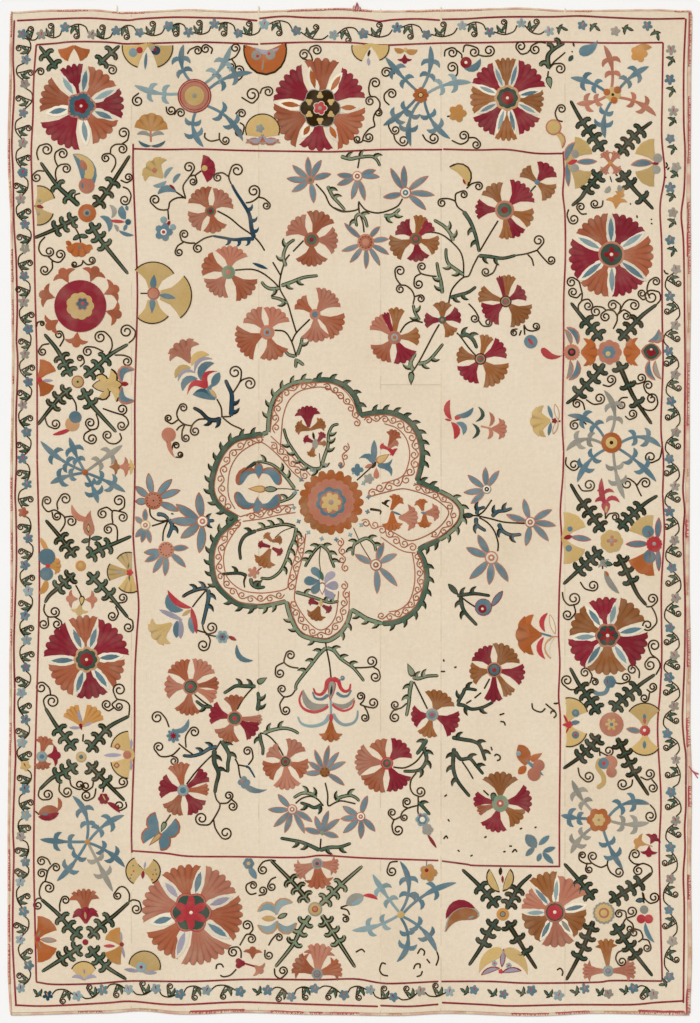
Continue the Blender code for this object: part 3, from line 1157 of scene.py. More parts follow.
    def build(self) -> bpy.types.Object:
        """Join the patches as one object, dressed in their silks, and report it."""
        counts = [len(part["place"]) for part in self.parts]
        starts = np.cumsum([0] + counts[:-1])
        keys = [key for key in self.parts[0] if key != "loops"]
        joined = {key: np.concatenate([part[key] for part in self.parts]) for key in keys}
        loops = np.concatenate([part["loops"] + start for part, start in zip(self.parts, starts)])
        place = joined["place"] * MM_PER_CM
        face = self.ground(place[:, 0], place[:, 1])
        corners = np.column_stack([place, face + joined["height"]]) * MM
        mesh = bpy.data.meshes.new(self.name)
        mesh.vertices.add(len(corners))
        mesh.vertices.foreach_set("co", corners.ravel())
        mesh.loops.add(len(loops))
        mesh.loops.foreach_set("vertex_index", loops)
        mesh.polygons.add(len(joined["sizes"]))
        mesh.polygons.foreach_set("loop_start", np.cumsum(joined["sizes"]) - joined["sizes"])
        mesh.polygons.foreach_set("material_index", joined["thread"])
        mesh.update(calc_edges=True)
        mesh.shade_smooth()
        mesh.set_sharp_from_angle(angle=radians(45))
        for name in ("tone", "furrow"):
            mesh.attributes.new(name, "FLOAT", "POINT").data.foreach_set("value", joined[name])
        mesh.uv_layers.new(name="rows").uv.foreach_set("vector", joined["rows"][loops].ravel())
        made = finished(self.name, mesh, [silk(thread) for thread in self.threads])
        triangles = int(np.sum(joined["sizes"] - 2))
        LOG.info("%s: %d patches, %d triangles", self.name, len(self.parts), triangles)
        return made


@dataclass(frozen=True)
class Line:
    """A plain line of stitches, which may end in a spiral."""

    path: list[Point]
    thread: Thread = Thread.TENDRIL
    width: float = 0.36
    curl: float = 0.0
    tip: float = 1.0
    layer: int = 0

    def sew(self, work: Needlework) -> None:
        """Add it to the needlework."""
        work.stroke(self.thread, self.path, self.width, self.curl, 1.0, self.tip, self.layer)


@dataclass(frozen=True)
class Stem(Line):
    """A thin dark stalk."""

    thread: Thread = Thread.OUTLINE
    width: float = 0.36


@dataclass(frozen=True)
class MadderLine(Line):
    """A plain line of madder chain stitch."""

    thread: Thread = Thread.MADDER
    width: float = 0.4


@dataclass(frozen=True)
class Branch:
    """A stem with hooked leaves along it."""

    path: list[Point]
    fill: Thread = Thread.SAGE
    width: float = 0.6
    hooks: str = ""
    rim: Thread = Thread.OUTLINE
    tip: float = 0.5
    reach: float = 1.4
    lean: float = 0.36
    knob: float = 0.6
    fullness: float = 1.15

    def sew(self, work: Needlework) -> None:
        """Add it to the needlework."""
        rim = None if self.rim is self.fill else self.rim
        width = self.width * self.fullness
        work.branch(self.fill, self.path, width, self.hooks, rim, self.tip, self.reach, self.lean, self.knob)


@dataclass(frozen=True)
class HookedLine(Branch):
    """A line of even width with short upright hooks, as round the medallion."""

    tip: float = 1.0
    reach: float = 1.35
    knob: float = 0.7
    lean: float = 0.22


@dataclass(frozen=True)
class Spear:
    """An arm of a cross of leafy branches: barbs that turn back to its root, then a plain point."""

    path: list[Point]
    fill: Thread = Thread.GREEN
    hooks: str = "BBB.."
    width: float = 1.48
    reach: float = 1.95
    core: float = 0.48

    def sew(self, work: Needlework) -> None:
        """Add it to the needlework."""
        shapes = [(self.path, self.width, 0.95, 0.5)]
        # Each point of a barb: how far out it is and how far on, as shares of the reach
        barb = ((0, -0.1), (0.42, 0.12), (0.78, 0.04), (0.96, -0.26))
        for foot, left, side in hook_feet(stations(smooth_line(self.path), self.width), self.hooks, 0.4):
            out, ahead = left * side * self.reach, np.array([left[1], -left[0]]) * self.reach
            bent = [tuple(foot + out * share + ahead * on) for share, on in barb]
            shapes.append((bent, self.width * 0.9, 1.0, 0.85))
        for course, wide, root, tip in shapes:
            work.stroke(Thread.OUTLINE, course, wide, root=root, tip=tip)
        for course, wide, root, tip in shapes:
            work.stroke(self.fill, course, wide * self.core, root=root, tip=tip * 0.8, layer=1)


@dataclass(frozen=True)
class Leaf:
    """A petal or leaf from the first point of its path to the last."""

    path: list[Point]
    fill: Thread
    width: float
    bend: float = 0.0
    form: Form = Form.LEAF
    rim: Thread | None = None
    layer: int = 1

    def sew(self, work: Needlework) -> None:
        """Add it to the needlework."""
        base, tip = self.path[0], self.path[-1]
        work.leaf(self.fill, base, tip, self.width, self.bend, self.form, self.rim, self.layer)


READERS[Thread | None] = Thread.of


@dataclass(frozen=True)
class Fan:
    """Fans that stand alone, spread from one foot.

    A horned one has a curved leaf on each side of a narrower fan. Its horn is how wide they are, as a
    share of its length.
    """

    x: float
    y: float
    blades: list[Blade]
    lobes: int = 5
    scallop: float = 0.07
    flare: float = 1.4
    neck: float = 0.3
    corner: float = 0.93
    rim: Thread | None = None
    layer: int = 1
    horn: float = 0.0
    horned_spread: float = 0.76
    horn_foot: float = 0.4
    horn_tip: float = 0.82
    horn_turn: float = 5.0
    horn_bend: float = 0.3

    def sew(self, work: Needlework) -> None:
        """Add them to the needlework."""
        foot = (self.x, self.y)
        crest = (self.neck, self.lobes, self.scallop, self.flare, self.rim, self.layer, self.corner)
        for blade in self.blades:
            narrow = replace(blade, spread=blade.spread * self.horned_spread) if self.horn else blade
            work.fan(narrow, foot, 0.0, *crest)
            for side in (1, -1) if self.horn else ():
                turn = blade.turn + side * (blade.spread / 2 + self.horn_turn)
                hip = way(blade.turn, blade.length * self.horn_foot, foot)
                tip = way(turn, blade.length * self.horn_tip, foot)
                wide, bend = blade.length * self.horn, -self.horn_bend * side
                work.leaf(blade.thread, hip, tip, wide, bend, layer=self.layer)


@dataclass(frozen=True)
class Heart:
    """Rings round one middle, plain or lobed."""

    x: float
    y: float
    rings: list[Ring]
    lobes: int = 0
    depth: float = 0.12
    layer: int = 2

    def sew(self, work: Needlework) -> None:
        """Add it to the needlework."""
        work.rings(self.rings, (self.x, self.y), self.lobes, self.depth, self.layer)


def stacked(hearts: list[Heart]) -> list[Heart]:
    """The hearts in order, each laid over the earlier ones that it touches."""
    laid: list[Heart] = []
    for heart in hearts:
        layer, half = heart.layer, heart.rings[0].radius / 2
        for other in laid:
            if hypot(other.x - heart.x, other.y - heart.y) < other.rings[0].radius + half:
                layer = max(layer, other.layer + len(other.rings))
        laid.append(replace(heart, layer=layer))
    return laid


# How much higher the rows of each table lie than those of the one before it, in millimetres
TABLE_RISE = 0.06


def sew_tables(work: Needlework, tables: tuple[tuple[type, str], ...]) -> None:
    """Sew the rows of some tables, in order, each table's a little higher than the last one's."""
    for kind, table in tables:
        rows = read(kind, table)
        for row in stacked(rows) if kind is Heart else rows:
            row.sew(work)
        work.lift += TABLE_RISE


@dataclass(frozen=True)
class Carnation:
    """A flower of fans round a ringed heart."""

    x: float
    y: float
    rings: list[Ring]
    blades: list[Blade]
    neck: float = 0.42
    flare: float = 1.9
    scallop: float = 0.075
    lobe_size: float = 88.0
    inner: float = 0.85

    def sew(self, work: Needlework) -> None:
        """Add it to the needlework."""
        middle = (self.x, self.y)
        inner = self.rings[0].radius * self.inner
        for blade in self.blades:
            lobes = max(3, round(blade.spread * blade.length / self.lobe_size))
            work.fan(blade, middle, inner, self.neck, lobes, self.scallop, self.flare)
        work.rings(self.rings, middle, layer=2)


@dataclass(frozen=True)
class Rosette:
    """A large flower of the border: fans parted by veined white leaves, round a lobed heart."""

    x: float
    y: float
    rings: list[Ring]
    blades: list[Blade]
    veins: list[Vein]
    lobes: int = 8
    depth: float = 0.1
    neck: float = 1.0
    flare: float = 1.6
    leaf: float = 2.6
    scallop: float = 0.075
    lobe_size: float = 112.0
    corner: float = 0.98
    inner: float = 0.8
    leaf_foot: float = 0.6
    leaf_past_vein: float = 0.8
    vein_foot: float = 0.95
    vein_share: float = 0.5

    def sew(self, work: Needlework) -> None:
        """Add it to the needlework."""
        middle = (self.x, self.y)
        radius = self.rings[0].radius
        for blade in self.blades:
            lobes = max(4, round(blade.spread * blade.length / self.lobe_size))
            crest = (self.neck, lobes, self.scallop, self.flare)
            work.fan(blade, middle, radius * self.inner, *crest, corner=self.corner)
        for vein in self.veins:
            foot = way(vein.turn, radius * self.leaf_foot, middle)
            tip = way(vein.turn, vein.length + self.leaf_past_vein, middle)
            work.leaf(Thread.WHITE, foot, tip, self.leaf, layer=2)
            foot, tip = (way(vein.turn, far, middle) for far in (radius * self.vein_foot, vein.length))
            work.leaf(vein.thread, foot, tip, self.leaf * self.vein_share, layer=3)
        work.rings(self.rings, middle, self.lobes, self.depth, layer=4)


@dataclass(frozen=True)
class Star:
    """A star of arms with broad barbs, round a small heart."""

    x: float
    y: float
    rings: list[Ring]
    arms: list[Arm]
    lobes: int = 0
    depth: float = 0.2
    barb: float = 2.4
    barb_width: float = 1.15
    barb_bend: float = 0.36
    stalk_width: float = 0.85
    blade_width: float = 1.35
    inner: float = 0.8

    def sew(self, work: Needlework) -> None:
        """Add it to the needlework."""
        middle = np.array([self.x, self.y])
        for arm in self.arms:
            ahead = np.array(way(arm.turn, 1.0))
            left = np.array([-ahead[1], ahead[0]])
            start = self.rings[0].radius * self.inner
            reach = arm.length - start
            run = [
                middle + ahead * (start + reach * t) + left * arm.bow / 25 * arm.length * t * (1 - t)
                for t in np.linspace(0, 1, 11)
            ]
            stalk = [tuple(point) for point in run[:8]]
            work.stroke(arm.thread, stalk, self.stalk_width, root=0.7, tip=0.9, layer=1)
            work.leaf(arm.thread, tuple(run[4]), tuple(run[-1]), self.blade_width, arm.bow / 150, layer=2)
            for place, size in ((3, 0.75 * arm.length / 12), (6, 0.9)):
                course = run[place + 1] - run[place - 1]
                course /= np.hypot(*course)
                aside = np.array([-course[1], course[0]])
                for side in (1, -1):
                    tip = run[place] + aside * side * self.barb * size - course * 0.7
                    foot = run[place] + course * 0.1 - aside * side * 0.3
                    bend = -self.barb_bend * side
                    work.leaf(arm.thread, tuple(foot), tuple(tip), self.barb_width, bend, layer=1)
        work.rings(self.rings, tuple(middle), self.lobes, self.depth, layer=3)


@dataclass(frozen=True)
class Lily:
    """A three-lobed flower: a round tip between two horns that curl outwards."""

    x: float
    y: float
    turn: float
    fill: Thread
    size: float = 3.4
    bud_width: float = 0.56
    horn_foot: float = 0.14
    horn_turn: float = 54.0
    horn_length: float = 0.92
    horn_width: float = 0.32
    horn_bend: float = 0.34

    def sew(self, work: Needlework) -> None:
        """Add it to the needlework."""
        foot = (self.x, self.y)
        tip = way(self.turn, self.size, foot)
        work.leaf(self.fill, foot, tip, self.size * self.bud_width, 0, Form.BUD, layer=2)
        hip = way(self.turn, self.size * self.horn_foot, foot)
        for side in (1, -1):
            horn = way(self.turn + side * self.horn_turn, self.size * self.horn_length, foot)
            wide, bend = self.size * self.horn_width, -self.horn_bend * side
            work.leaf(self.fill, hip, horn, wide, bend, layer=1)


@dataclass(frozen=True)
class Bloom:
    """A small five-petalled flower of the guard border, and the vine that runs from it to the next.

    The vine bows out to its left where the bow is above 0, and to its right where it is below. A bow of
    0 leaves it out, as where it has worn away or at a corner.
    """

    x: float
    y: float
    fill: Thread
    eye: Thread
    bow: float = 0.0
    twig: Thread = Thread.GREEN
    radius: tuple[float, float] = (1.2, 1.4)
    longest_vine: float = 12.0

    def sew(self, work: Needlework) -> None:
        """Add the flower to the needlework."""
        turn = work.chance.uniform(0, 72)
        middle = (self.x, self.y)
        work.disc(self.fill, middle, work.chance.uniform(*self.radius), 5, 0.5, turn, 1, 0.8)
        foot = way(turn + 60, 0.7, middle)
        work.leaf(self.eye, foot, way(turn + 240, 0.35, middle), 0.62, 0, Form.DROP, layer=2)

    def vine(self, work: Needlework, after: "Bloom") -> None:
        """Add the stem to the next flower, with its curl and its leafy twig."""
        here, ahead = np.array([self.x, self.y]), np.array([after.x - self.x, after.y - self.y])
        length = np.hypot(*ahead)
        ahead /= length
        side = 1 if self.bow > 0 else -1
        out = np.array([-ahead[1], ahead[0]]) * side
        if length > self.longest_vine:
            return

        def at(along: float, aside: float) -> Point:
            """A point between the two flowers: a share of the way, and centimetres to the vine's side."""
            return tuple(here + ahead * length * along + out * aside)

        if self.bow:
            bow = abs(self.bow)
            stem = [at(0.14, 0.2), at(0.3, bow * 1.1), at(0.6, bow * 1.15), at(0.88, 0.2)]
            work.stroke(Thread.OUTLINE, stem, 0.3)
            work.stroke(Thread.OUTLINE, [at(0.56, bow * 1.1), at(0.5, 0.4), at(0.42, -1.0)], 0.3, 0.72 * side)
        blades = ((at(0.58, 0.9), at(0.72, -1.0), 0.16, 0.6), (at(0.6, 0.5), at(0.46, -0.4), 0.1, 0.5))
        for foot, tip, bend, wide in (*blades, (at(0.62, 0.5), at(0.76, 0.6), -0.2, 0.36)):
            work.leaf(self.twig, foot, tip, wide, bend * side, rim=Thread.OUTLINE, layer=2)


@dataclass(frozen=True)
class Daisy:
    """A flower of narrow outlined petals round a dotted heart."""

    x: float
    y: float
    rings: list[Ring]
    rays: list[Ray]
    fill: Thread = Thread.SLATE
    rim: Thread = Thread.PINK
    width: float = 1.1
    dots: int = 0
    dot: float = 0.16
    dot_ring: float = 0.72
    eye: tuple[float, float, float] = (0.8, 0.55, 0.22)

    def sew(self, work: Needlework) -> None:
        """Add it to the needlework."""
        middle = (self.x, self.y)
        radius = self.rings[0].radius
        for ray in self.rays:
            base = way(ray.turn, radius * 0.8, middle)
            tip = way(ray.turn, ray.length, middle)
            work.leaf(self.fill, base, tip, self.width, 0.03, Form.LEAF, self.rim)
        work.rings(self.rings, middle, layer=2)
        if radius > 1 and not self.dots:
            threads = (Thread.WHITE, self.rings[-1].thread, Thread.WHITE)
            for over, (thread, share) in enumerate(zip(threads, self.eye)):
                work.disc(thread, middle, radius * share, layer=6 + over)
        for dot in range(self.dots):
            spot = way(360 * dot / self.dots, radius * self.dot_ring, middle)
            work.disc(Thread.OUTLINE, spot, self.dot, layer=3)


@dataclass(frozen=True)
class Scroll:
    """A running scroll: a waving stem with a curl in the hollow of each wave."""

    path: list[Point]
    thread: Thread = Thread.RUST
    pitch: float = 2.1
    curl: float = 0.62
    width: float = 0.24
    winds: float = 1.12
    samples: int = 6

    def sew(self, work: Needlework) -> None:
        """Add it to the needlework."""
        line = smooth_line(self.path)
        run = np.concatenate([[0], np.cumsum(np.hypot(*np.diff(line, axis=0).T))])
        sides = left_of(line)
        waves = max(1, round(run[-1] / self.pitch))
        step = run[-1] / waves
        at = np.linspace(0, run[-1], waves * self.samples + 1)
        left = between(run, sides, at)
        wave = between(run, line, at) + left * (self.curl * np.sin(pi * at / step))[:, None]
        work.stroke(self.thread, [tuple(point) for point in wave], self.width)
        for number in range(waves):
            side = 1 if number % 2 == 0 else -1
            top = number * self.samples + self.samples // 2
            crest, ahead = wave[top], wave[top + 1] - wave[top - 1]
            ahead /= np.hypot(*ahead)
            foot, turned = crest - ahead * 0.35, crest + ahead * 0.1
            curl = -side * self.curl * 1.3
            work.stroke(self.thread, [tuple(foot), tuple(turned)], self.width, curl, winds=self.winds)


# The line of madder chain stitch inside the guard border, the one outside it, and the field's frame
OUTER_LINES = """
width | path
.42 | -78.9,115.9 -70,116.3 -62,116.5 -55,116.1 -52,116 -50,116.3 -42,116.7 -35,116.6 -28,116.4 -22,115.9
.42 | -21.6,116.4 -16,116.9 -10,116.6 0,116.5 5,116 7,115.7 10,116.1 16,116.3 21.2,116
.42 | 21.6,116.2 27,116.3 32,116.6 38,116.8 48,116.8 54,117 60,116.7 70,116.3 79.1,116.4
.42 | -79.4,-116.9 -72,-117.1 -58,-116.4 -52,-116 -42,-116.8 -30,-116.3 -24,-116.2 -10,-116.7 6.5,-117.2
.42 | 7,-117 14,-117.2 20.8,-116.7
.42 | 21.6,-116.3 32,-116.8 38,-117.1 52,-116.8 66,-116.8 72,-116.3 78.7,-115.9
.42 | -79.5,116 -79.8,107 -79.5,100 -79.9,92 -80.1,86 -79.8,80 -79.6,68 -79.1,60 -78.9,53 -78.8,48 -79,40
.42 | -79,40 -78.7,36 -78.8,30 -79.1,22 -79,12 -79.3,4 -79.1,-1 -79,-12 -79.3,-22 -79.6,-32 -79.4,-42
.42 | -79.4,-42 -79.5,-50 -79.2,-58 -79.4,-63 -79.8,-75 -79.6,-81 -79.8,-90 -79.9,-100 -79.8,-105 -79.1,-117
.42 | 79.3,116.4 78.8,105 78.8,92 79.1,85 78.9,76 78.2,70 78.7,64 78.9,55 79,45 79.1,35 79,20 78.9,10
.42 | 78.9,10 78.6,5 79,0 78.7,-5 78.9,-15 79.1,-22 79,-35 78.6,-45 78.5,-50 78.9,-55 79.3,-58 79.3,-65
.42 | 79.3,-65 79.3,-70 79,-75 79.1,-80 78.7,-86 78.9,-93 78.9,-100 78.8,-107 78.7,-116.4
.4 | -74.3,110.2 -70,110.5 -66,110.9 -60,110.9 -56,110.7 -53,110.4 -45,110.6 -36,110.8 -28,110.6 -21.8,110.3
.4 | -21.4,110.4 -10,110.8 0,110.7 7,110.1 16,110.4 22,110.6 32,110.7 44,110.9 52,110.8 62,110.6 73.9,110.7
.4 | -74.3,110.2 -74.8,104 -75,99 -75.1,93 -75.5,84.6 -75.2,74 -74.8,64 -74.6,52 -74.2,38 -74.1,26 -74.1,12
.4 | -74.1,12 -73.8,0 -73.6,-12 -73.6,-21 -73.9,-34 -74.3,-48 -74.7,-64 -74.9,-82 -74.6,-98 -74.3,-111.4
.4 | 73.9,110.7 73.7,98 73.6,88 74.3,79.5 73.2,72 73.6,62 73.7,45 73.9,35 73.4,20 74,12 73.8,4
.4 | 73.8,4 74.2,-5.5 73.5,-18 73.6,-34 73.2,-43 72.6,-52 73.4,-68 73,-80 73.3,-96 73.7,-111.2
.4 | -74.4,-111.4 -70,-112 -60,-111.8 -52,-111.2 -38,-111.3 -24,-110.8 -8,-110.9 1,-110.7 6,-111.5 \
    10,-111.8 20.8,-111.3
.4 | 21.5,-111.3 33,-111.3 42,-111.7 58,-111.5 62,-111.1 73.7,-111.2
.4 | -51.4,85.6 -44,85.4 -36,85.5 -26,85.2 -14,85 -4,84.9 7.5,85.4 21.7,85.4
.4 | 21.9,85.5 30,85.3 37,85.4 44,84.5 50.5,84.5
.4 | -51.4,86.8 -51.4,80 -51,70 -50.6,60 -50.4,50 -50.7,38 -51,26 -51,8 -51.4,-6
.4 | -51.4,-6 -51,-12 -50.1,-22 -50.5,-29 -51,-39 -51.1,-54 -51.6,-69 -51.8,-76 -51.7,-80.9
.4 | 50.3,85 50.5,80 50.2,75 50.7,70 50.8,60 50.4,50 50.4,40 50.2,28 50.1,20 50.4,14
.4 | 50.4,14 50.2,8 49.6,0 49.9,-7 49.4,-18 49.2,-29 49.5,-36 49.2,-44 49.6,-50 49.4,-72 49.4,-84.3
.4 | -51.8,-80.4 -43.7,-81 -38.2,-81.7 -27,-81.8 -12.3,-82 -6.7,-81.5 3.4,-82.1 20.8,-82.7
.4 | 21.6,-82.8 27.5,-83.6 30,-83.9 44,-84.1 49.6,-84.1
"""

# The medallion's outline, in the two greens that it was worked in
MEDALLION_OUTLINE = """
fill | width | hooks | path
S | .62 | .LLLLLL | -19.5,18.6 -19.3,21.8 -18.8,24.7 -17.5,27.5 -15.1,29.4 -12.1,30.5 -9,30.7
G | .85 | LLLLL | -9,30.7 -5.6,30.9 -2.5,30.1 -.3,28.6 1.4,26.2 2.3,22.5
G | .85 | .LLLLLLLLL. | 2.3,22.5 5.3,23.1 8.3,23.3 11.4,22.6 14,21 15.7,18.8 16.6,16.2 17,13.1 16.6,10.1 \
    15.7,7
G | .85 | LL | 15.7,7 17.9,6 21,4.7
S | .62 | .LLLLL | 21,4.7 24,3.1 26,1 26.3,-1.2 25.3,-3.4 22.7,-5.8 21,-6.9
G | .85 | LL | 21,-6.9 17.9,-8.2 16,-9.3
G | .85 | .LLLLLLL | 16,-9.3 17.3,-11.7 18,-14.7 17.7,-18.2 16.4,-21.9 14.2,-24.5 11.2,-26.2 7.5,-26.7
S | .62 | LLL | 7.5,-26.7 4,-25.6 1.4,-24 .1,-23.4
S | .62 | .LL..L.LL. | .1,-23.4 -.6,-26 -2.1,-28.6 -4.3,-30.3 -6,-30.8 -9,-30.3 -11.7,-29.3 -13.4,-26.9 \
    -14.5,-24.3 -15.2,-21.4
S | .62 | .LL | -15.2,-21.4 -17.3,-21.9 -19.9,-22.5 -22,-22.7
G | .85 | LLL.LLLLLLL | -22,-22.7 -26.4,-22.1 -29.5,-19.9 -31.9,-17.1 -32.7,-13.4 -32.7,-9.5 -31.2,-6 \
    -29,-3.8 -26.7,-1.9
G | .85 | LLLLLLLLLLL | -26.7,-1.9 -30.3,.5 -32.1,2.7 -32.9,5.3 -32.6,8.3 -31.4,11.8 -29.5,14.9 -26.9,17 \
    -23.4,17.7 -20.8,18.1
S | .62 |  | -20.8,18.1 -19.5,18.6
"""

MEDALLION_LINES = """
thread | width | path
R | .22 | -19,18.5 -18.6,22 -17.6,26 -15.6,28.4 -12.4,29.8 -9,30.2 -5.7,30.3 -2.9,29.5 -.9,27.9 .8,25.4 \
    1.7,22.6
R | .24 | -16.6,14.6 -16.3,19 -15.9,22.5 -14.6,26 -12.2,28.2 -9,29.1 -6.4,29.2 -4,28.2 -2.6,26.6
R | .22 | 2.9,22.2 5.4,22.5 8.3,22.7 11.1,22 13.5,20.5 15.1,18.4 16,15.9 16.4,13 16,10.3 15.3,7.6
R | .24 | 8,20.6 11,19.5 13.2,17 14,13.5 13.5,10.5 12.3,8.2 9.5,7 7.4,6.5
R | .24 | 15,6.5 17.8,5.4 20.8,4.1 23.6,2.6 25.4,.7 25.7,-1.1 24.7,-3.1 22.3,-5.2 20.6,-6.4 17.6,-7.7
R | .26 | 4,3.2 8,4.3 12,5.2 15,4.7 18,3.7 21,2.1 23.2,-.2 22,-2.8 19.5,-5 16,-6.7 13.5,-7 11,-5.6 8,-4
R | .22 | 16.1,-10.2 16.9,-12 17.5,-14.8 17.1,-18 15.9,-21.6 13.9,-24 11,-25.6 7.6,-26.1
R | .24 | 14.6,-10 15.2,-14 15,-18 13.8,-21.5 11.5,-23.4 9,-23.9
R | .24 | 7.2,-6.2 10,-8.2 12.6,-9.6 15.4,-10
R | .22 | -.3,-19 -.4,-24 -1.1,-26 -2.5,-28.2 -4.5,-29.7 -6.1,-30.2 -8.8,-29.8 -11.3,-28.8 -12.9,-26.6 \
    -14.6,-21.5
R | .24 | -2.8,-19 -3.4,-24.4 -5,-27.2 -7.2,-28.2 -9.5,-26.8 -11.7,-24 -13.2,-21.2 -13.1,-18.5 -12.5,-15 \
    -11.4,-11 -10.9,-8 -10.6,-5.4
R | .24 | -12.6,-5 -12.6,-9 -13.8,-13 -14.7,-16.5 -15.2,-18.4 -19,-19.3 -22.5,-19.4 -26,-18.6 -29,-16 \
    -30,-12.5 -29.7,-9 -28,-5.8 -26,-3
R | .22 | -15.9,-21.2 -19.9,-21.9 -22,-22.1 -26.1,-21.6 -29.1,-19.5 -31.3,-16.8 -32.1,-13.4 -32.1,-9.7 \
    -30.7,-6.3 -28.6,-4.2 -26,-2
R | .24 | -25.5,-2.5 -21,-1.9 -17,-1 -13,-.4
R | .24 | -26.1,-1.4 -22,-.2 -18,.9 -13.4,1.5
R | .22 | -26.1,-1.4 -29.7,.8 -31.5,2.9 -32.2,5.3 -31.9,8.1 -30.8,11.5 -29,14.4 -26.7,16.3 -23.4,17 \
    -20.4,17.5
R | .24 | -27.3,.4 -28.7,3 -29,6 -28.4,10 -26.3,13.5 -23,15.7 -20.8,16.1 -17,13 -13.5,9 -11,7
R | .24 | -18.9,17.7 -15,14 -11.5,10.5 -9.5,8.4
"""

MEDALLION_SCROLLS = """
thread | pitch | curl | path
R | 2.2 | .62 | -17.9,18.4 -17.6,22 -17,25.8 -14.8,28.4 -11.6,29.6 -8,29.9
R | 1.9 | .6 | -6.4,29.8 -4.1,28.7 -2,27 -.3,25 1.1,22.6 1.9,20
R | 2 | .6 | 3.2,21.4 5.4,21.7 8.1,21.8 10.8,21
R | 2.1 | .72 | 10.8,21 13.3,19.5 15,16.8 15.3,13.4 14.7,10 13,7.5 10,6.2 7,5.2 4.2,4
R | 2.2 | .55 | 14.8,6 17.6,4.9 20.4,3.6 22.9,1.9 24.2,-.4 23.6,-2.8 21.6,-4.9 19,-6
R | 2.1 | .68 | 2.6,-2.3 5.3,-3.4 7.8,-4.5 10,-6.2 12.4,-7.9 15.6,-8.6
R | 2 | .6 | 15.8,-9.6 16.2,-12 16.5,-14.6 16.2,-18 15,-21.2 13,-23.6 10,-24.8 6.4,-25
R | 2 | .6 | -2.2,-6.4 -2.2,-9 -1.7,-12.2 -1.2,-14.4
R | 2 | .62 | -1.4,-16.6 -1.2,-20 -1.9,-24 -3.4,-27 -5.8,-29 -8.2,-29.2 -10.7,-27.4 -12.6,-24.4 -13.9,-21.4
R | 2.1 | .62 | -11.5,-5.8 -11.8,-9 -12.6,-12.4 -13.5,-15.6 -14.3,-18.8
R | 2.2 | .6 | -15.6,-19.8 -18,-20.4 -22.4,-20.8 -26,-20 -29,-17.8 -30.9,-14.6 -31.1,-11 -30.1,-7.4 \
    -28.2,-4.8 -26,-2.6
R | 2.1 | .62 | -24.6,-1.3 -21.5,-.9 -18,0 -14,.5
R | 2.3 | .66 | -28.3,-.2 -30,2.4 -30.6,5.6 -30.3,9 -29,12.2 -26.6,14.8 -23.6,16.3 -20.6,16.9
R | 2 | .6 | -18.8,16.2 -16.2,13.6 -13.4,10.6 -10.4,7.6
R | 2 | .55 | -.7,16 -1.2,13.6 -2.4,10
"""

MEDALLION_BRANCHES = """
path | fill | width | hooks
-7,10 -9,10 -11.5,11.6 -13.3,14 -15,16.8 -15.8,19.5 | S | .45 | LLLLL.
-7,10 -6.2,12.8 -5.3,15.5 -5.2,18 -4.3,20 -2.8,20.5 | S | .45 | R.RRR.
2,-7.2 .8,-8.2 .5,-10.6 | S | .45 | RR
2,-7.2 3.8,-6.5 5.5,-7.7 6,-9.6 | S | .45 | .LL
-7,-8 -8.5,-9.5 -9.7,-11.3 -10.8,-13.3 | S | .45 | RRR
-7,-8 -5.3,-9.5 -4.6,-11.5 -3.8,-13.5 | S | .45 | LLL
-13,-19.2 -10.5,-19.9 -7.5,-20.9 -5,-21.7 -2.8,-21.4 | S | .45 | .L..LL
-13,-3.8 -15.5,-3.2 -19,-3.8 -22.3,-4.7 | S | .45 | .RRR
-22.3,-4.7 -25,-6 -26.2,-8.5 -26,-11.6 | H | .5 | R..
-12.8,-4 -13.3,-6.5 -14.4,-9 -15.4,-12 -16.8,-14.5 -19,-16 -21.3,-15.9 | S | .45 | LLLLL..
-24.5,-15.4 -26,-14.8 -28,-14.8 -30.5,-15 | H | .45 | .R.
-24.8,-15.5 -25.2,-16.8 -25,-18.2 | K | .5 |
-23.6,-15.9 -23.3,-17.4 -22,-18.2 -20.2,-18 | G | .55 | .LL
-13.2,5.2 -15.3,8 -18,10.6 -20.5,11.5 -22.3,11.5 | S | .45 | .RR.R
-22.3,11.5 -24,10.3 -25.8,8.9 | H | .5 |
-12.8,4.6 -14.3,3 -16.9,2 | S | .45 | .R
4.6,.4 7,0 7,-.9 | K | .55 |
7.4,2 9.1,.9 | K | .45 | L
"""

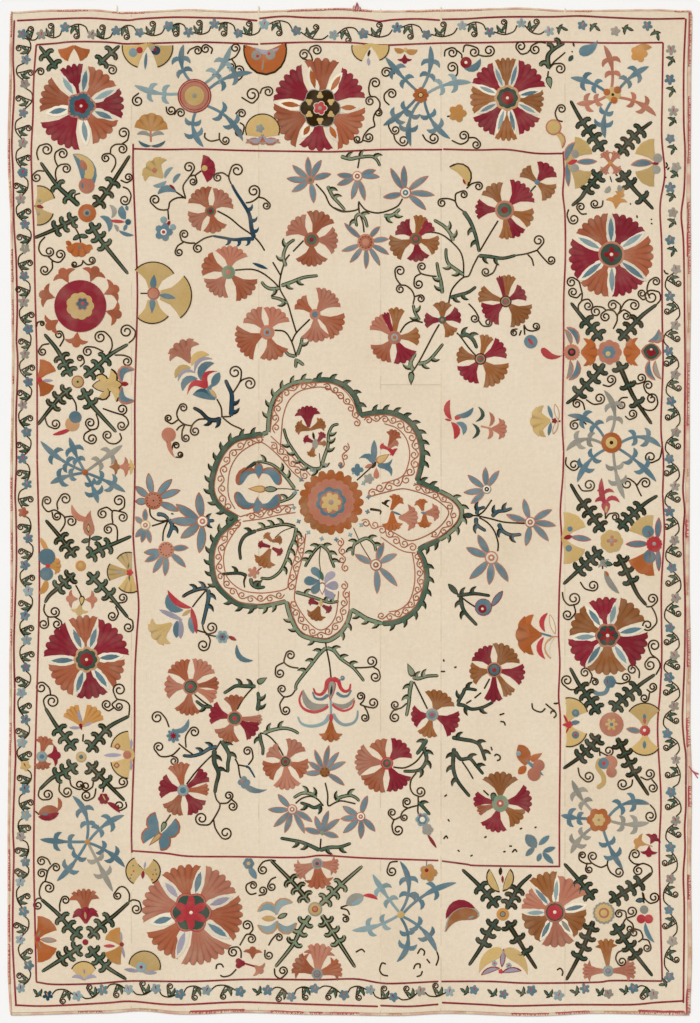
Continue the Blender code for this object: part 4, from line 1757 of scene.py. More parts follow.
MEDALLION_LEAVES = """
path | fill | width | bend | form | rim
-8.5,14.6 -8.2,17 | A | 1.5 | 0 | leaf |
-8.9,18.6 -8.6,16.8 | K | .6 | 0 | leaf |
5,10.1 6,11.6 | K | 1 | 0 | leaf |
5.5,11.3 5.6,16.7 | U | 1.5 | 0 | leaf |
5.6,11.2 2,12.4 | U | 1.6 | -.3 | drop |
6.4,10.9 9.9,12.3 | U | 1.3 | -.25 | drop |
7.6,10.6 9.6,8.2 | U | 1.5 | .25 | drop |
5.3,11 3.4,10.2 | P | .9 | 0 | leaf |
6.1,10.2 6.1,7.6 | P | 1.4 | 0 | bud |
6.4,11.6 8.9,13.2 | Y | 1.5 | 0 | drop | O
10,12.9 11.1,14.7 | E | .8 | .2 | leaf |
-7.4,-14 -6.5,-16.5 | G | 1.1 | 0 | leaf |
-7.3,-16.3 -9.4,-13.9 | U | 1.9 | -.2 | bud |
-7.4,-16.4 -10.9,-16.2 | U | 2.2 | .1 | bud |
-7.4,-16.5 -9.3,-19.2 | U | 2 | .15 | bud |
-6,-17.4 -3.6,-14.9 | V | 1.8 | .2 | bud |
-6.1,-17.8 -2.9,-17.6 | V | 2.1 | 0 | bud |
-6,-18.2 -3.7,-20.3 | V | 1.9 | -.2 | bud |
-6.7,-17.2 -6.7,-19.6 | W | 1.2 | 0 | drop | R
-7,-20.8 -7,-22.6 | Y | .8 | 0 | leaf |
-20.4,5.1 -23.9,5.2 | Y | 1.3 | 0 | drop | O
-20.3,5.1 -17.6,5.1 | S | 1.1 | 0 | leaf | K
-26.2,6.2 -21.4,8.7 | U | 2 | .34 | drop | R
-17.2,6.2 -22,8.7 | U | 2 | -.34 | drop | R
-22.6,9.2 -21,9.2 | U | 1.9 | 0 | leaf |
-21.7,7.9 -21.7,10.9 | U | 1.7 | 0 | bud | R
-26.6,4.4 -21.6,2 | U | 2 | -.34 | drop | R
-17.2,3.8 -22.2,2 | U | 2 | .34 | drop | R
-22.9,1.6 -20.9,1.6 | U | 1.9 | 0 | leaf |
-22,3 -22.1,-.4 | U | 1.7 | 0 | bud | R
9.6,-.1 12,-1 | U | .5 | 0 | leaf |
16.6,-.4 18,-.6 | U | .6 | 0 | leaf |
"""

MEDALLION_FANS = """
x | y | blades | lobes | horn | flare
-9.9 | 19.8 | M95/5.1/82 | 5 | .24 | 1.5
-9.5 | 19.2 | B168/3.7/62 B28/3.9/56 | 3 | .24 | 1.5
-8.9 | 16.3 | M158/2.4/60 | 3 | .24 | 1.5
-7.9 | 16 | M58/3/44 B-2/2.2/44 | 3 | .24 | 1.5
-8.6 | 15.2 | B250/2.6/60 | 3 | .24 | 1.5
8.8 | 14.7 | E158/2/52 E-35/2/64 P38/3/40 | 3 | .24 | 1.5
9 | 14.9 | R68/4.6/50 | 3 | .24 | 1.5
9.6 | .2 | O62/4/62 | 3 | .24 | 1.5
9.8 | -.2 | O272/4.6/70 | 4 | .24 | 1.5
11.4 | -1.6 | P0/4.6/100 | 5 | .24 | 1.5
17.1 | 0 | O104/2.9/78 | 3 | .24 | 1.5
17.5 | -.6 | O270/3.5/66 P6/3.6/80 | 3 | .24 | 1.5
-7.6 | -22 | M160/2.5/56 | 3 | .24 | 1.5
-6.6 | -22.4 | M-32/2.4/62 | 3 | .24 | 1.5
-7.4 | -22.6 | B248/3.6/96 | 4 | .24 | 1.5
-18.6 | -7.2 | B132/2.5/56 B12/2.5/66 | 3 | .24 | 1.5
-19 | -8.5 | M166/3/40 | 3 | .24 | 1.5
-18.5 | -8.8 | M-28/2.7/52 | 3 | .24 | 1.5
-19 | -9 | B244/4.8/78 | 4 | .24 | 1.5
"""

MEDALLION_HEARTS = """
x | y | rings | lobes | depth
1.6 | 9.7 | U1.5 | 4 | .45
4.3 | 7.6 | A1.3 | 5 | .35
-23 | -14.6 | P1.5 | 5 | .5
"""

MEDALLION_STEMS = """
path | thread | width
-7,10 -7.4,13.6 | K | .2
1.5,7.2 4.9,10.3 | K | .3
.7,-4 2.5,-8 4.9,-11.9 | K | .2
-7.1,-8.5 -7.4,-11.5 -7.1,-14.2 | K | .2
-13,-3.7 -16,-4.8 -17.9,-6.4 | K | .2
-12.2,4.8 -15,5.2 -17.6,5.2 | K | .2
-21,-13.4 -22,-14.2 | M | .3
"""

MEDALLION_DAISY = """
x | y | rings | rays | width
6 | -12.8 | R1.4 P1.2 R.7 | 153/5.3 71/5.3 27/5.3 -45/6.8 -88/6.5 | 1.25
"""


FIELD_CARNATIONS = """
x     | y    | rings            | blades
-33.1 | 70.9 | R1.35 G1.0 D.5   | R124/6.1/74 P45/5.8/80 P212/5.7/64 R285/5.4/70
-28.9 | 56.4 | S1.6 P.7         | P80/6.4/82 R158/6.6/60 P232/6.4/76 R-44/7.6/62
-19.7 | 42.2 | P1.7 L.95 O.5    | P130/6.6/58 P62/6.3/74 R205/7.9/76 R288/6.8/68
-9.2  | 64.1 | R1.8 G1.35 D.6   | P137/6.6/70 R68/7.2/64 P-2/6.3/68 R270/6.4/80
-8.4  | 46.4 | P1.3 U.8         | R140/5.4/52 P52/6.8/72 R-28/7.4/62 P272/6.6/68
15.4  | 64.3 | R1.5 G1.1 E.5    | M138/5.3/64 B77/5.8/38 M45/5.3/46 B-18/5.8/54 M-82/5.5/64 B203/6.6/64
36.4  | 71.1 | P2.3 G1.9 D.9    | B120/7/54 M47/7.9/66 B-17/7.2/42 M-61/7.2/36 B-85/7/34 M178/7/44
36.7  | 49.5 | K1.4 P1.2 G.9 E.4 | M104/6.3/18 B83/6.4/34 B163/6.8/38 M29/5.2/54 B-43/6.7/74 M218/6.2/72
44.1  | 77.7 | U.6              | B137/4.6/54 M52/5.2/76 B-40/4.9/70
21.7  | 45.1 | G.9 P.4          | B90/4.5/66 M181/4.4/54 M18/4.6/58 B-55/4.4/54
10.4  | 41   | P1.6 L.9 O.5     | P139/6.6/48 M112/6.4/20 B86/7.2/34 B3/6.1/46 M-62/6.6/60 R230/6.4/66
30.7  | 35.9 | K1.4 P1.2 G.9 E.4 | B74/6/36 M28/6.6/54 B168/5.8/46 M232/6.2/70 B-46/7.3/76
-37.8 | -41.6 | P1.9 K1.6 G1.4 E.6 | R120/6.9/58 P58/7.1/58 R8/6.8/30 P-23/6.6/34 R262/6.9/58 P180/6.3/58
-27.4 | -49.1 | P1.8 K1.6 G1.4 E.6 | R92/5.7/56 M165/6.2/58 R245/5.9/74 M-32/6.3/58 P-2/6.6/22
-15.4 | -59.3 | P1.4 K1.2 G1 D.5 | P58/5.8/62 P140/5/56 R207/5.7/60 P274/6.8/62 R-21/5.7/58
-39.6 | -66.1 | A1.4 L1.2 U.8 | R100/6.8/50 M36/7/36 R2/6.2/30 M-52/6.4/56 R242/6.3/56 M168/5.9/64
19.3 | -48.2 | A1.5 L1.3 U1 E.5 | B64/6.1/88 M186/5.1/68 B256/5.6/56 M-24/6.8/64
34   | -37.6 | P1.8 K1.6 Q1.4 D.6 | M126/6.2/66 B54/6.7/80 M-10/7.4/44 B-57/7.2/28 M268/7.7/36 B190/6/58
8.6  | -59.7 | E1.5 P1.3 G1.1 E.5 | M46/6.5/70 R113/6.1/48 P173/7.7/64 R236/7.4/62 M-60/7.1/62
35.4 | -69.2 | S2 E.9 P.6 W.3 | B90/7.6/74 M10/7.6/58 B-40/6.5/56 M254/7/60 M170/6.5/36 R198/5.8/28
"""

FIELD_DAISIES = """
x    | y    | rings       | rays | width | dots | rim
-9.5 | 78.2 | P.95 G.5    | 96/5.2 61/5.1 16/4.8 -82/5.2 212/4.9 176/5.3 140/5.2 | 1.2 | 0
1.6  | 79.1 | P1.25 R.6   | 18/4.3 -2/5 -73/5.7 256/5.3 203/4.9 175/4.5 | 1.1 | 0
13   | 75.2 | P1.35 U.6   | 121/6.5 93/6.1 36/6.4 -5/6.6 -40/6 191/5.1 | 1.2 | 0
3.6  | 63.5 | P2 R1.7 P.9 | 138/6.5 48/4.7 8/5.2 -28/5.9 -59/6.2 -90/6 232/5.8 200/5.8 | .95 | 12
-6.1 | -61.8 | B1.2 | 147/4.2 114/5.5 81/6.1 54.6/5.5 26/5.2 183/4.4 -34/5.3 | 1 | 6
-13.8 | -70.6 | P1.2 | 133/4.6 180/5.4 223/5.7 252/5.5 -63/6.1 -32/5.3 | 1.1
-6.7 | -76.2 | S.5 | 165/4.2 112/4 74/5.2 39/5 -14/3.7 | 1.1
2.4 | -72.3 | P1.1 | 72/4.9 150/4.6 186/4.5 223/5.4 -90/5 -46/4.6 | 1.2
-46.6 | 2.4 | R2.1 P1.8 K.2 | 100/6.3 49/6.4 21/6.5 -23/6.1 141/5.1 182/4 | 1.4 | 14 | R
-48.5 | -3.4 | Y1.2 P.7 | -75/4.1 257/3.9 230/3.4 140/2.8 90/3.6 | 1
-43.6 | -9.2 | P1.9 | 5/5 -42/5.9 267/5.9 240/6 209/5.5 187/5 | 1.2 | 12
-35 | -2.5 | P1.4 | 97/6.6 147/7.2 178/7.4 217/6.2 264/7.2 | 1.8 | 0 | O
32.2 | 5.1 | A1.1 K.4 | 93/4.9 56/5 143/5.3 188/5.2 222/4.8 | 1.15
42.5 | -2.7 | P1.3 | 105/5.4 30/5.6 -8/5.8 -46/5.9 259/5.4 162/5.7 | 1.25
33.3 | -11.1 | P1.6 M.9 P.5 | 120/6 158/6.1 224/6.9 265/6.1 -55/6.6 | 1.5
"""

FIELD_STEMS = """
path | thread | width
-12.8,36.4 -13.9,39.9 -15.5,42.3 -18,42.7
-13.9,39.9 -12.8,42.1 -9.6,45.3
-12.8,42.1 -13.8,45.4 -14.9,49.1 -16.7,52.5 -16.5,55.6 -15.5,59 -14.4,60.6
-13.6,61.3 -11.1,63.9
-16.5,55.6 -18.4,58.8
-16.7,52.5 -18.2,54.2 -20.8,56.2 -23.4,57.1 -27.3,56.9
-31.5,70.9 -28.6,69.3 -26,67.1 -23.4,65.3 -21.5,63.4 -20.3,61.5
1.7,81 2.1,83.2
12.3,73.8 11.2,72.1 9,71 6.4,70.4 3.8,71 2.5,72.3 1.9,73.2
-4,71.7 -1.4,70.8 1.6,71.2 1.9,72.7
1.9,73 2.1,70.4 2.9,68.2 3.2,65.8
34.9,68.6 32.8,65.2 30.5,61.3
30.3,60.4 29,57.9 28,55.6 26.7,55.2 25.1,53.8 23.8,51.9 23.2,49
16.9,65.6 19,65.9 21.6,65.3 24.1,63.4 26,61.2 26.7,58.6 26.7,55.3
42.5,75.4 43.8,76.9
21,44.1 19.7,41.9 18.2,39 16,34.9 14.5,32.7
11.7,42.1 13,44 14.9,44.9 17.1,44.5
25.1,42.1 26,41.2 27.9,38.6 29.7,36.6
39.1,60.4 41.7,60.8 44.1,61.6
41.9,60.6 42.9,59.5 43.3,57.9
41,43.8 41.2,41.6
40.4,42.7 39.9,41.4
-8.2,77.3 -6.1,74.9 -4.8,72.3 -2.3,70.8 0,70.8
-41.3,75.4 -38.9,73.8
-49.7,51.4 -48,51.4 | K | .3
-36.9,-43.4 -34.6,-45.3 -32.7,-46.4
-26.8,-47 -25.6,-44.8 -24,-42.8 -22.6,-41.4
-15.9,-57.9 -17.2,-55.6 -18.9,-53.6 -20.4,-52.7 -21.5,-52.6
-38.8,-64.7 -36.8,-62 -34.3,-59.3 -32.3,-57.4
-30.6,-54.3 -31.6,-56 -32.3,-57.4
-27.3,-58.6 -26.6,-60 -26.3,-62 -26,-63.3
-34.3,-29.2 -31.5,-29.8
-5.9,-31 -5.7,-32.6 -5,-36 -4.6,-39.6
-4.7,-44.5 -4.7,-48
-6,-64.3 -5.4,-67 -5.3,-69.7 -3.6,-69 -2.1,-68.6 1.2,-69.3
-13,-69.2 -11.5,-68 -9.5,-67.5 -7.8,-68.2 -6.4,-69.8
-7,-77.5 -7.2,-80.2
-42.5,-71.8 -43.9,-73.9
-37.3,-57.6 -38.9,-56.5 -40.7,-55
18.2,-46.9 15,-40.4
10.1,-60.6 12.7,-60.8 15.3,-59.5 17.1,-57.3 17.9,-55.8
16,-67.6 16,-69.1 15.9,-71 16.2,-72
32.9,-39.7 31.6,-42.1
30.9,-43 29.3,-44.3
28.6,-44.8 27.3,-45.6
26.4,-59.3 27.9,-61.5 29,-63.4
31.4,-66.1 32.7,-67.3
-31.6,26.4 -30.6,24.4 -30.4,22.2
-30.6,22.2 -28.2,22.3
-30.2,22 -28.2,20.4 -26,19.4 -25.6,18.7
-47.5,.8 -47.2,-1.2 -45.4,-2.4 -43,-2.2
-47,-3.6 -45,-3 -43,-2.2
-43.2,-2.4 -44.2,-4.8 -44.4,-7.2
-33.8,-18.3 -32.2,-17
-34,-18.6 -36.2,-21.2 -37.4,-22.8
30.8,20 34,19.3 | P | .4
33.4,2.6 31.6,0 30,-1.2
28.8,-1.1 30,-1.2 33.2,-1.9 36.4,-2.7 41.2,-3
30.4,-1.6 32.4,-2.8 34,-4.8 34.9,-7.6 34.8,-9.6
26.2,-20.4 28,-21.8 29.6,-22.8
44.7,-28.9 47.5,-29.7 | U | .5
47.5,-29.7 49,-29.8 | P | .25
"""

FIELD_BRANCHES = """
path | fill | width | hooks | rim
-15.3,57.8 -15.9,60.2 -15,62.8 -13.2,64.2 | S | .5 | LL
-16.4,53.2 -13.9,54.1 -11,55.2 -7.7,55.6 | S | .5 | RR.
-16.8,52.6 -18.9,52.5 -20.2,53.1 -21.1,54.2 | S | .5 | L.
-14.9,49.1 -16.8,50.1 -18.8,50.5 | S | .5 | L.
-13,36.5 -14.6,36.9 -15.6,38 | S | .5 |
-12.6,36.8 -11.8,39 -11.4,41.1 | S | .5 | .R
-12.8,36 -13,33.8 | S | .5 |
-12.6,35.6 -11,34.4 | S | .5 |
-22.8,64.5 -23.4,66.7 -23.9,70 -25.4,72.7 -27.1,75.3 -28.1,77.2 | T | 1 | RRR.. | T
-22.8,64.3 -24.9,64.3 -27.4,64.1 -29.7,64.5 -32.6,65 | T | .85 | LLL. | T
-5.4,76.8 -4.2,74.3 -2.9,72.9 -1.3,71.1 | S | .5 | LL.
-2.3,83.8 -.1,83.2 2.1,83.6 4.9,83.8 6.2,83 7,81.5 | S | .5 | LLL
7.9,69.7 9.9,69.9 11.7,71.4 | S | .6 | RR
2.1,70.3 1.2,69.3 1.5,67.2 | S | .45 | .R
2.1,70.3 3.4,69 4,67 | S | .45 | L.
26.7,70.8 28.2,68.6 29.3,66 29.9,63.8 30.4,61.2 | G | .6 | .RR
30.3,60.3 33,60.1 36,59.7 39.1,60.4 | G | .5 | RR.
24.3,63.8 23.6,65.6 22.1,67.3 19.7,68.8 | S | .55 | RR.
26.7,55.8 24.9,57.1 23.2,58.4 22.6,60.1 22.6,62.1 | S | .5 | LL.
23.6,50.4 25.6,51 27.9,51.7 29.7,53 | G | .5 | RR.
26,41.4 27.5,41.6 29,40.4 29.9,38.4 | G | .7 | LL.
16.3,45 15.2,47 14.8,48.8 | S | .45 | LR
21.7,51.4 21.4,54.1 20.8,56.4 20.4,58.8 | S | .55 | LL.
16,34.7 18.2,35.3 20,37.1 21.9,39.5 | S | .5 | RR.
14.7,33.2 14.2,35 15.4,37.3 | S | .7 | L.
-32.8,-46.3 -34.8,-46.2 -36.6,-44.9 | G | .5 | L
-22.4,-41.5 -24.5,-41.5 -27,-41.4 -28.6,-42.3 -30,-43.2 | G | .55 | RR.
-22,-47.3 -21.7,-45 -21.9,-42.8 | G | .6 | RR
-20.6,-52.6 -18.3,-51.8 -15.8,-51.4 -13.8,-51.8 -12.2,-52.7 | S | .5 | LL.
-21.5,-52.7 -21.2,-54.5 -20.7,-56.2 -20.8,-57.8 | G | .5 | R.
-31.5,-55.8 -33.3,-56.2 -35.3,-57.4 -37.5,-58 -39.7,-57.9 | Q | .55 | RR.
-32.2,-56.5 -32.2,-59.5 -31.2,-62 -31.8,-64.8 -32.1,-66.8 | H | .75 | LL.
-30.5,-54.4 -29.5,-56 -28.7,-57.7 -29,-59.8 -29,-61.9 | G | .65 | LL.
-24.8,-60.4 -23.9,-60.9 -22.6,-63.1 | T | .6 | | T
-5.8,-32.4 -7.5,-34 -9.2,-36.3 -11.2,-38.8 -12.8,-41 -12.9,-42.5 | S | .5 | RRR.
-5.6,-32.4 -3.9,-33.1 -2.3,-35 .4,-36.9 2,-38.7 3.2,-40.3 | S | .5 | LLL.
-8,-67.8 -9.5,-66.9 -11.5,-66.8 -13.5,-67.9 | S | .5 | RR.
-6.8,-69.5 -8.5,-70.2 -10,-69.6 -11.9,-69 | G | .5 | L.L
-7.3,-80.3 -9.3,-79.3 -11.8,-78.3 -14.3,-77.8 -16.6,-77.4 | G | .55 | .LL.
-7.3,-80.3 -5,-79.6 -2.5,-79.5 .1,-78.6 | G | .55 | RR
-3.4,-68.7 -2.5,-67.8 -.3,-67.3 1.2,-67.8 2.1,-68.7 | S | .5 | L.L.
14.7,-39.3 16,-39.7 18.2,-39.1 20.8,-39 | S | .55 | LL.
14.5,-40.2 14,-42.8 13.8,-45.4 13.2,-48.6 | S | .6 | RR.
18,-54 17,-55.8 15.6,-57.6 | G | .7 | R.
17.3,-56.1 18,-58.6 17.1,-60.6 15.6,-61.5 12.5,-61.6 | G | .55 | LLL.
16,-68.9 17.3,-70.2 18.8,-71.9 | G | .5 | L.
25.3,-45.4 26.6,-43.2 27.3,-42.1 29.9,-42.4 | H | .5 | LL
25.1,-45.8 26.7,-46 28.6,-46.9 31.2,-46.5 33.8,-45.2 | H | .5 | .R.R.
24,-53.6 26.7,-54.1 29,-54.5 30.6,-55.6 31.9,-59.1 | H | .55 | L.LL
24.5,-56.1 24.3,-58.4 24.3,-61 25.3,-63.9 28.2,-67.6 | H | .6 | RRR.
24.7,-56.9 26,-58.7 28.2,-58.6 29.5,-60 31.4,-62.3 | H | .55 | .LL
-30.6,21.8 -32.2,21.4 -33.8,21.8 -35.4,23.4 -37.2,24.4 | T | .7 | LL..
-28.2,22.4 -28.1,25 -28.1,27.6 -28.9,29.4 -29.6,31 | T | .75 | RR..
-45.8,-.8 -44.2,-1 -43,-2 | Q | .6
-42.8,-2 -42.2,-3.6 -43.2,-6.4 | Q | .7 | L
-34.6,-2.5 -32.2,-2.3 | Q | .55 | B
-33.8,-18.3 -35.8,-18.5 -38.2,-19.4 -39.8,-20.4 | Q | .6 | RR.
-33.6,-18.6 -33.6,-20.8 -34.2,-23.6 -35,-27 | Q | .65 | LL.
29.8,-.9 30.2,.3 31.8,.9 | Q | .5 | L
29.7,-1.6 29.9,-3.3 32,-4.8 | Q | .6 | R
33.4,-1.4 34.8,-.2 36.5,0 38.2,.6 | Q | .55 | LL
35,-3 35.9,-4.7 37.8,-5.7 40.4,-5.6 | Q | .6 | RR
25.2,-20.1 29.2,-19.6 33,-20.1 | H | .5 | LL.
26,-20.4 26.8,-23.6 29.9,-27.1 | H | .6 | RR.
"""

FIELD_TENDRILS = """
path | curl
-39,74 -39.6,76.7 -38,79.1 -37.1,80.5 | 1.3
-38,79.1 -36.9,79.3 -36.4,78.2 | -.9
-39,74 -41,74 -42.7,73 -43.2,71.3 -45.4,71.3 -47,72.6 | -1.2
-43.2,71.3 -43,68.8
-28.2,77.2 -28.8,78.9 -28.3,80.9 | -1.5
-28.8,79 -30.2,79.9 -31.5,79.8 | 1
-24.8,72.8 -23.3,73.1 -21.8,74.2 -21.5,75.3 | 1.4
-21.8,74.2 -20.4,73.8 -19.3,72.9 | -.95
-32.6,65 -34.6,64.4 -36.7,63 | 1.1
-36.7,63.3 -38.2,63.3 -39.8,63.8 -40.3,65 | -1.05
-39.5,63.5 -40.8,62.7 -41.4,61.6 | .95
-35.3,80.4 -37,79.1
14.8,48.9 15.1,50.6 14.5,52.1 13.2,53.2 11.9,53.4 | 1
11.9,53.4 10.8,54.9 10.5,56.5 | -1.2
15.1,50.6 16.3,51 | -.9
20.4,55.4 18.6,55.6 16.7,56.1 16,57.2 | -1
16.7,56.1 15.3,55.3 15,53.8 | 1.1
27.9,49 29.3,47.5 30.2,46 | -1
30.1,45.3 31.2,43.8 32.5,43.6 | .9
44.1,61.6 45.4,63 | 1.3
44.1,61.6 45.3,60.1 46.7,58.6 | 1
34.7,58.4 33.8,56.4 32.5,55.6 | -1
27.4,76.2 28.6,77.3 30,77.7 | -1
24.8,73.2 24.9,74.9 26.4,75.6 | -.9
26.7,70.8 25.3,71.9 24.7,73.2 23.2,73.8 21.6,73.8 | 1
41,44 41.6,42.9 42.8,42.5 44,42.7 | .9
39.5,43 38.6,42.9 | .8
-37,-28 -35.5,-28.5 -34.1,-29 -33.2,-30.5 -33.4,-32 | -1.4
-38.9,-56 -39,-53.5 -38,-51.7 | -1.2
-40.3,-56 -42.2,-57.8 -44.8,-58.1 -46.2,-56.7 | -1.2
-42.7,-57.9 -41.5,-58.2 | -1
-42.9,-51.2 -43.6,-49.3 -44.6,-48 | 1.4
-32.1,-66.8 -31.7,-68.3 -30.9,-69.3 -31.1,-70.6 -32.4,-72.9 -33.5,-74.2 -35.2,-74.3 | -1.5
-30.9,-69.2 -29.2,-69.1 -28.1,-68.1 | 1
-28.2,-68.2 -27.2,-69 | -1.1
-32.4,-72.9 -32,-75 -30.8,-77 | 1.5
-26.6,-60.1 -24.8,-60.4
-24.2,-60.1 -23.1,-58.5 -23.3,-56.7 | 1.05
-12.3,-37.2 -14.2,-36.9 -15.7,-35.8 -15.3,-33.9 | -1.1
-15.8,-35.9 -17.5,-36.8 -17.8,-38.2 | 1.1
-13,-42.3 -14,-43.6 -15.7,-44 -16.9,-42.9 | -1
-15.7,-44 -16.7,-45.7 -16.4,-47.4 | 1.1
.8,-37.1 3,-37.1 5.1,-36.9 | 1.3
5.3,-36.9 6.6,-37.7 7,-38.9 | -1.2
2.2,-45.8 3,-45 3.3,-44.2 | .95
2.2,-45.8 3.6,-46.3 5.1,-46.6 | 1.2
3.2,-46.2 3.9,-47.4 4.3,-48.6 | -.95
13.3,-45.5 12,-46.6 10.8,-46.9 | -1
11.2,-46.9 10.1,-47.3 9.5,-48.2 | 1.15
15.6,-61.9 14.4,-63.5 14.1,-65.4 14.8,-66.9 16,-67.5 | 1.2
15.8,-69.7 13.6,-70.3 12.3,-71.2 11.9,-72.2 | .85
13.6,-70.3 12.6,-69.9 12.4,-69 | -.95
11.9,-72.3 10.3,-73 9.2,-72.1 | -.95
10.3,-73 9.8,-74.4 10,-75.7 | 1.25
-34.2,21.7 -35.9,21.6 -37.2,20.6 -37.8,19.3 | 1.1
-37.5,20.1 -39.2,20.4 -40.6,21.5 -41.1,23 -40.5,24.7 | -1
-40.8,21.5 -42.2,20.6 -43.4,21.1 | -.85
-39.2,20.3 -39.8,18.9 -39.9,17.3 | .95
-39.4,20.4 -40.4,19.9 -41.2,19
-27.8,27.9 -26.8,29.4 -26,30.9 -25.8,32.6 | 1.5
-26.2,30.4 -25.5,31 -24.3,31.4 | -1.4
-41.4,12.7 -40.4,12.6 | .7
-42.3,14.3 -42,15.6 | -.8
-35,-27 -34.7,-28.2 -33.8,-29.1 -32.6,-28.9 | 1.3
"""

FIELD_LEAVES = """
path | fill | width | bend | form | rim | layer
-19.6,57.2 -23.2,58.6 | T | .8 | 0
14.4,32.6 14.3,30 | S | 1.1 | 0 | drop | K
23.6,81.1 27.5,77 | Y | 2.4 | .3 | leaf | K
26.6,78.4 27.2,77.2 | D | .6 | 0
45.3,38.5 50,36.7 | E | 1.8 | -.22 | drop |
41.9,40.8 43.2,39.2 | E | .75 | 0 | leaf | | 5
-43.9,78.6 -42,81.2 | L | 1 | .15
-43.6,78 -46.7,76.9 | L | 1.1 | .15
-41.1,75.3 -45.6,74.9 | U | 1.6 | -.25
-41.9,77.5 -40.2,79.7 | U | 1 | .1
-42.8,77.1 -41.5,75.8 | D | .8 | 0
-43.4,67.2 -42.7,68.6 | D | .8 | 0
-46.5,55.8 -46.7,51.9 | U | 2.2 | 0 | drop |
-41.3,50.3 -45.5,51.1 | U | 1.8 | 0 | drop |
-46.9,46.7 -46.8,50.9 | U | 2.1 | 0 | drop |
-21.8,-40.6 -20,-39.6 | S | 1.1 | 0 | drop | K
-25,-64.9 -19.8,-65.9 | U | 1.4 | -.15 | drop
-41.9,-54.2 -41.9,-52.4 | D | .6
-42.3,-51.8 -38.3,-49.3 | U | 1.3 | -.3
-28.9,-29.7 -27,-30.6 | D | .9
-26.9,-31.7 -23.1,-35.4 | U | 1.3 | -.3
-45.3,-75.8 -46.1,-71.6 | U | 2.6 | .25 | leaf | R
-45.3,-76.3 -48.7,-78.5 | U | 2.4 | -.3 | leaf | R
-44.6,-76.3 -41.6,-73 | U | 2.6 | -.3 | leaf | R
-44.5,-76.5 -44.9,-80 | U | 2.6 | .2 | leaf | R
-45,-76.5 -47.4,-78.9 | Y | .9 | 0 | drop | R
-43.9,-73.8 -44.7,-75.7 | S | .9 | 0 | drop | K
14.7,-38.9 13.6,-36.4 | S | 1.2 | 0 | drop | K
33.8,-68.9 33.8,-66.9 | G | 1.1 | 0 | bud | K
18.2,-76.5 20.3,-79.7 | D | .8
41.2,-60.2 39.7,-55.4 | O | 3.4 | -.1
41.5,-60.4 39.7,-62.2 | O | 1.8
42.5,-59 45.3,-57.3 | O | 1.6 | 0 | drop
41.2,-58.7 45.6,-62.6 | U | .9
43.9,-79.6 41.5,-76.6 | U | 2.6
44.5,-79 47,-76.8 | U | 1.3
43.5,-79.6 41.4,-81.6 | U | 1.3
45.5,-80.6 48.4,-79.6 | U | 1.2
45.4,-80.8 47.9,-83.4 | U | 1.4
45,-81 44.2,-82.9 | U | 1.2
43,-78.6 42,-77.3 | P | .4
-36.2,31.2 -39.7,28.4 | U | 1.7 | -.3
-35.4,30.9 -32.3,34.9 | U | 1.9 | .28
-34,29 -38.6,27.5 | E | 1.5 | -.42 | drop
-33.9,29.1 -31.6,33 | E | 1.4 | .42 | drop
-32,26.3 -37.3,27.5 | U | 1.9 | -.1 | leaf
-33,26.6 -36.9,27.9 | Q | 1.1 | -.28
-32.7,29.4 -31,32.7 | U | 1.9 | 0 | leaf
-32.2,30.2 -31.7,26.6 | U | 1.1 | -.45
-33.6,28.8 -31.9,26.9 | Y | .9 | 0 | leaf | C
-37.6,34.3 -33.5,36.9 | Y | 1.8 | .26
-37.8,33.8 -41.4,31.4 | Y | 1.7 | -.26
-36.9,32.7 -32.7,35.9 | V | .9 | .3
-36.7,32.6 -40.8,30.7 | V | .9 | -.34
-43.9,19.3 -43.3,16 | R | 1.3
-42.8,17.2 -41.7,18.9 | U | .7
-43,17 -41.5,12.5 | P | 1.1 | -.1 | drop
-37.6,-22.9 -43.2,-18.8 | E | 1.4 | .15
-39.6,-23.4 -43.2,-19.8 | U | 2 | .3
-37.8,-23.4 -39.8,-24.8 | Y | .9
-37.6,-23 -36.4,-29 | E | 1.4
-38,-25.2 -37.2,-29 | U | 1.6
-39.8,-25.8 -45.2,-23.4 | V | 1.2
-40.3,-25.6 -40.2,-30.2 | V | 1.6
-41,-26 -41.2,-30 | U | 1.8
-42.1,-.5 -42.2,-.9 | H | .7
23.9,21.6 23.5,26.2 | E | 1.5 | .2
23.8,20.9 24.5,17 | E | 1.6 | .25
23.8,21.3 22.3,21.7 | E | .5
24.6,22 26.2,22 | E | 1 | 0 | drop
25,22.6 29,24.4 | U | 1.3 | -.2
25,20.8 26.6,18 | U | 1.4 | .35
30.2,24.6 29.6,21.1 | H | .9 | .4
28.8,20.6 28.8,17.1 | H | .9 | .4
32.8,23.3 32.8,20 | P | 1 | .25
32.4,17 32.6,19.6 | P | 1 | -.3
47.7,21.8 46.7,24.9 | U | .9
47.4,20.9 46.8,17.8 | U | .9
49.1,21.8 48.4,25 | W | .8 | 0 | leaf | C
48.9,20.9 48,18.4 | W | .8 | 0 | leaf | C
28.8,-1.1 26.8,-1.1 | H | .9 | 0 | leaf | K
25.2,-19.6 23.3,-17.5 | H | 1 | 0 | leaf | K
33.5,-22.4 35.8,-19.2 | U | 1.2 | 0 | leaf | M
46,-28.6 46.6,-24.2 | E | 1.2 | .25
45.7,-29.9 46,-35 | E | 1.3 | -.25
48.3,-28.9 47.2,-24.8 | W | .9 | 0 | leaf | C
48.2,-30 47.4,-34.7 | W | 1 | -.25 | leaf | C
"""

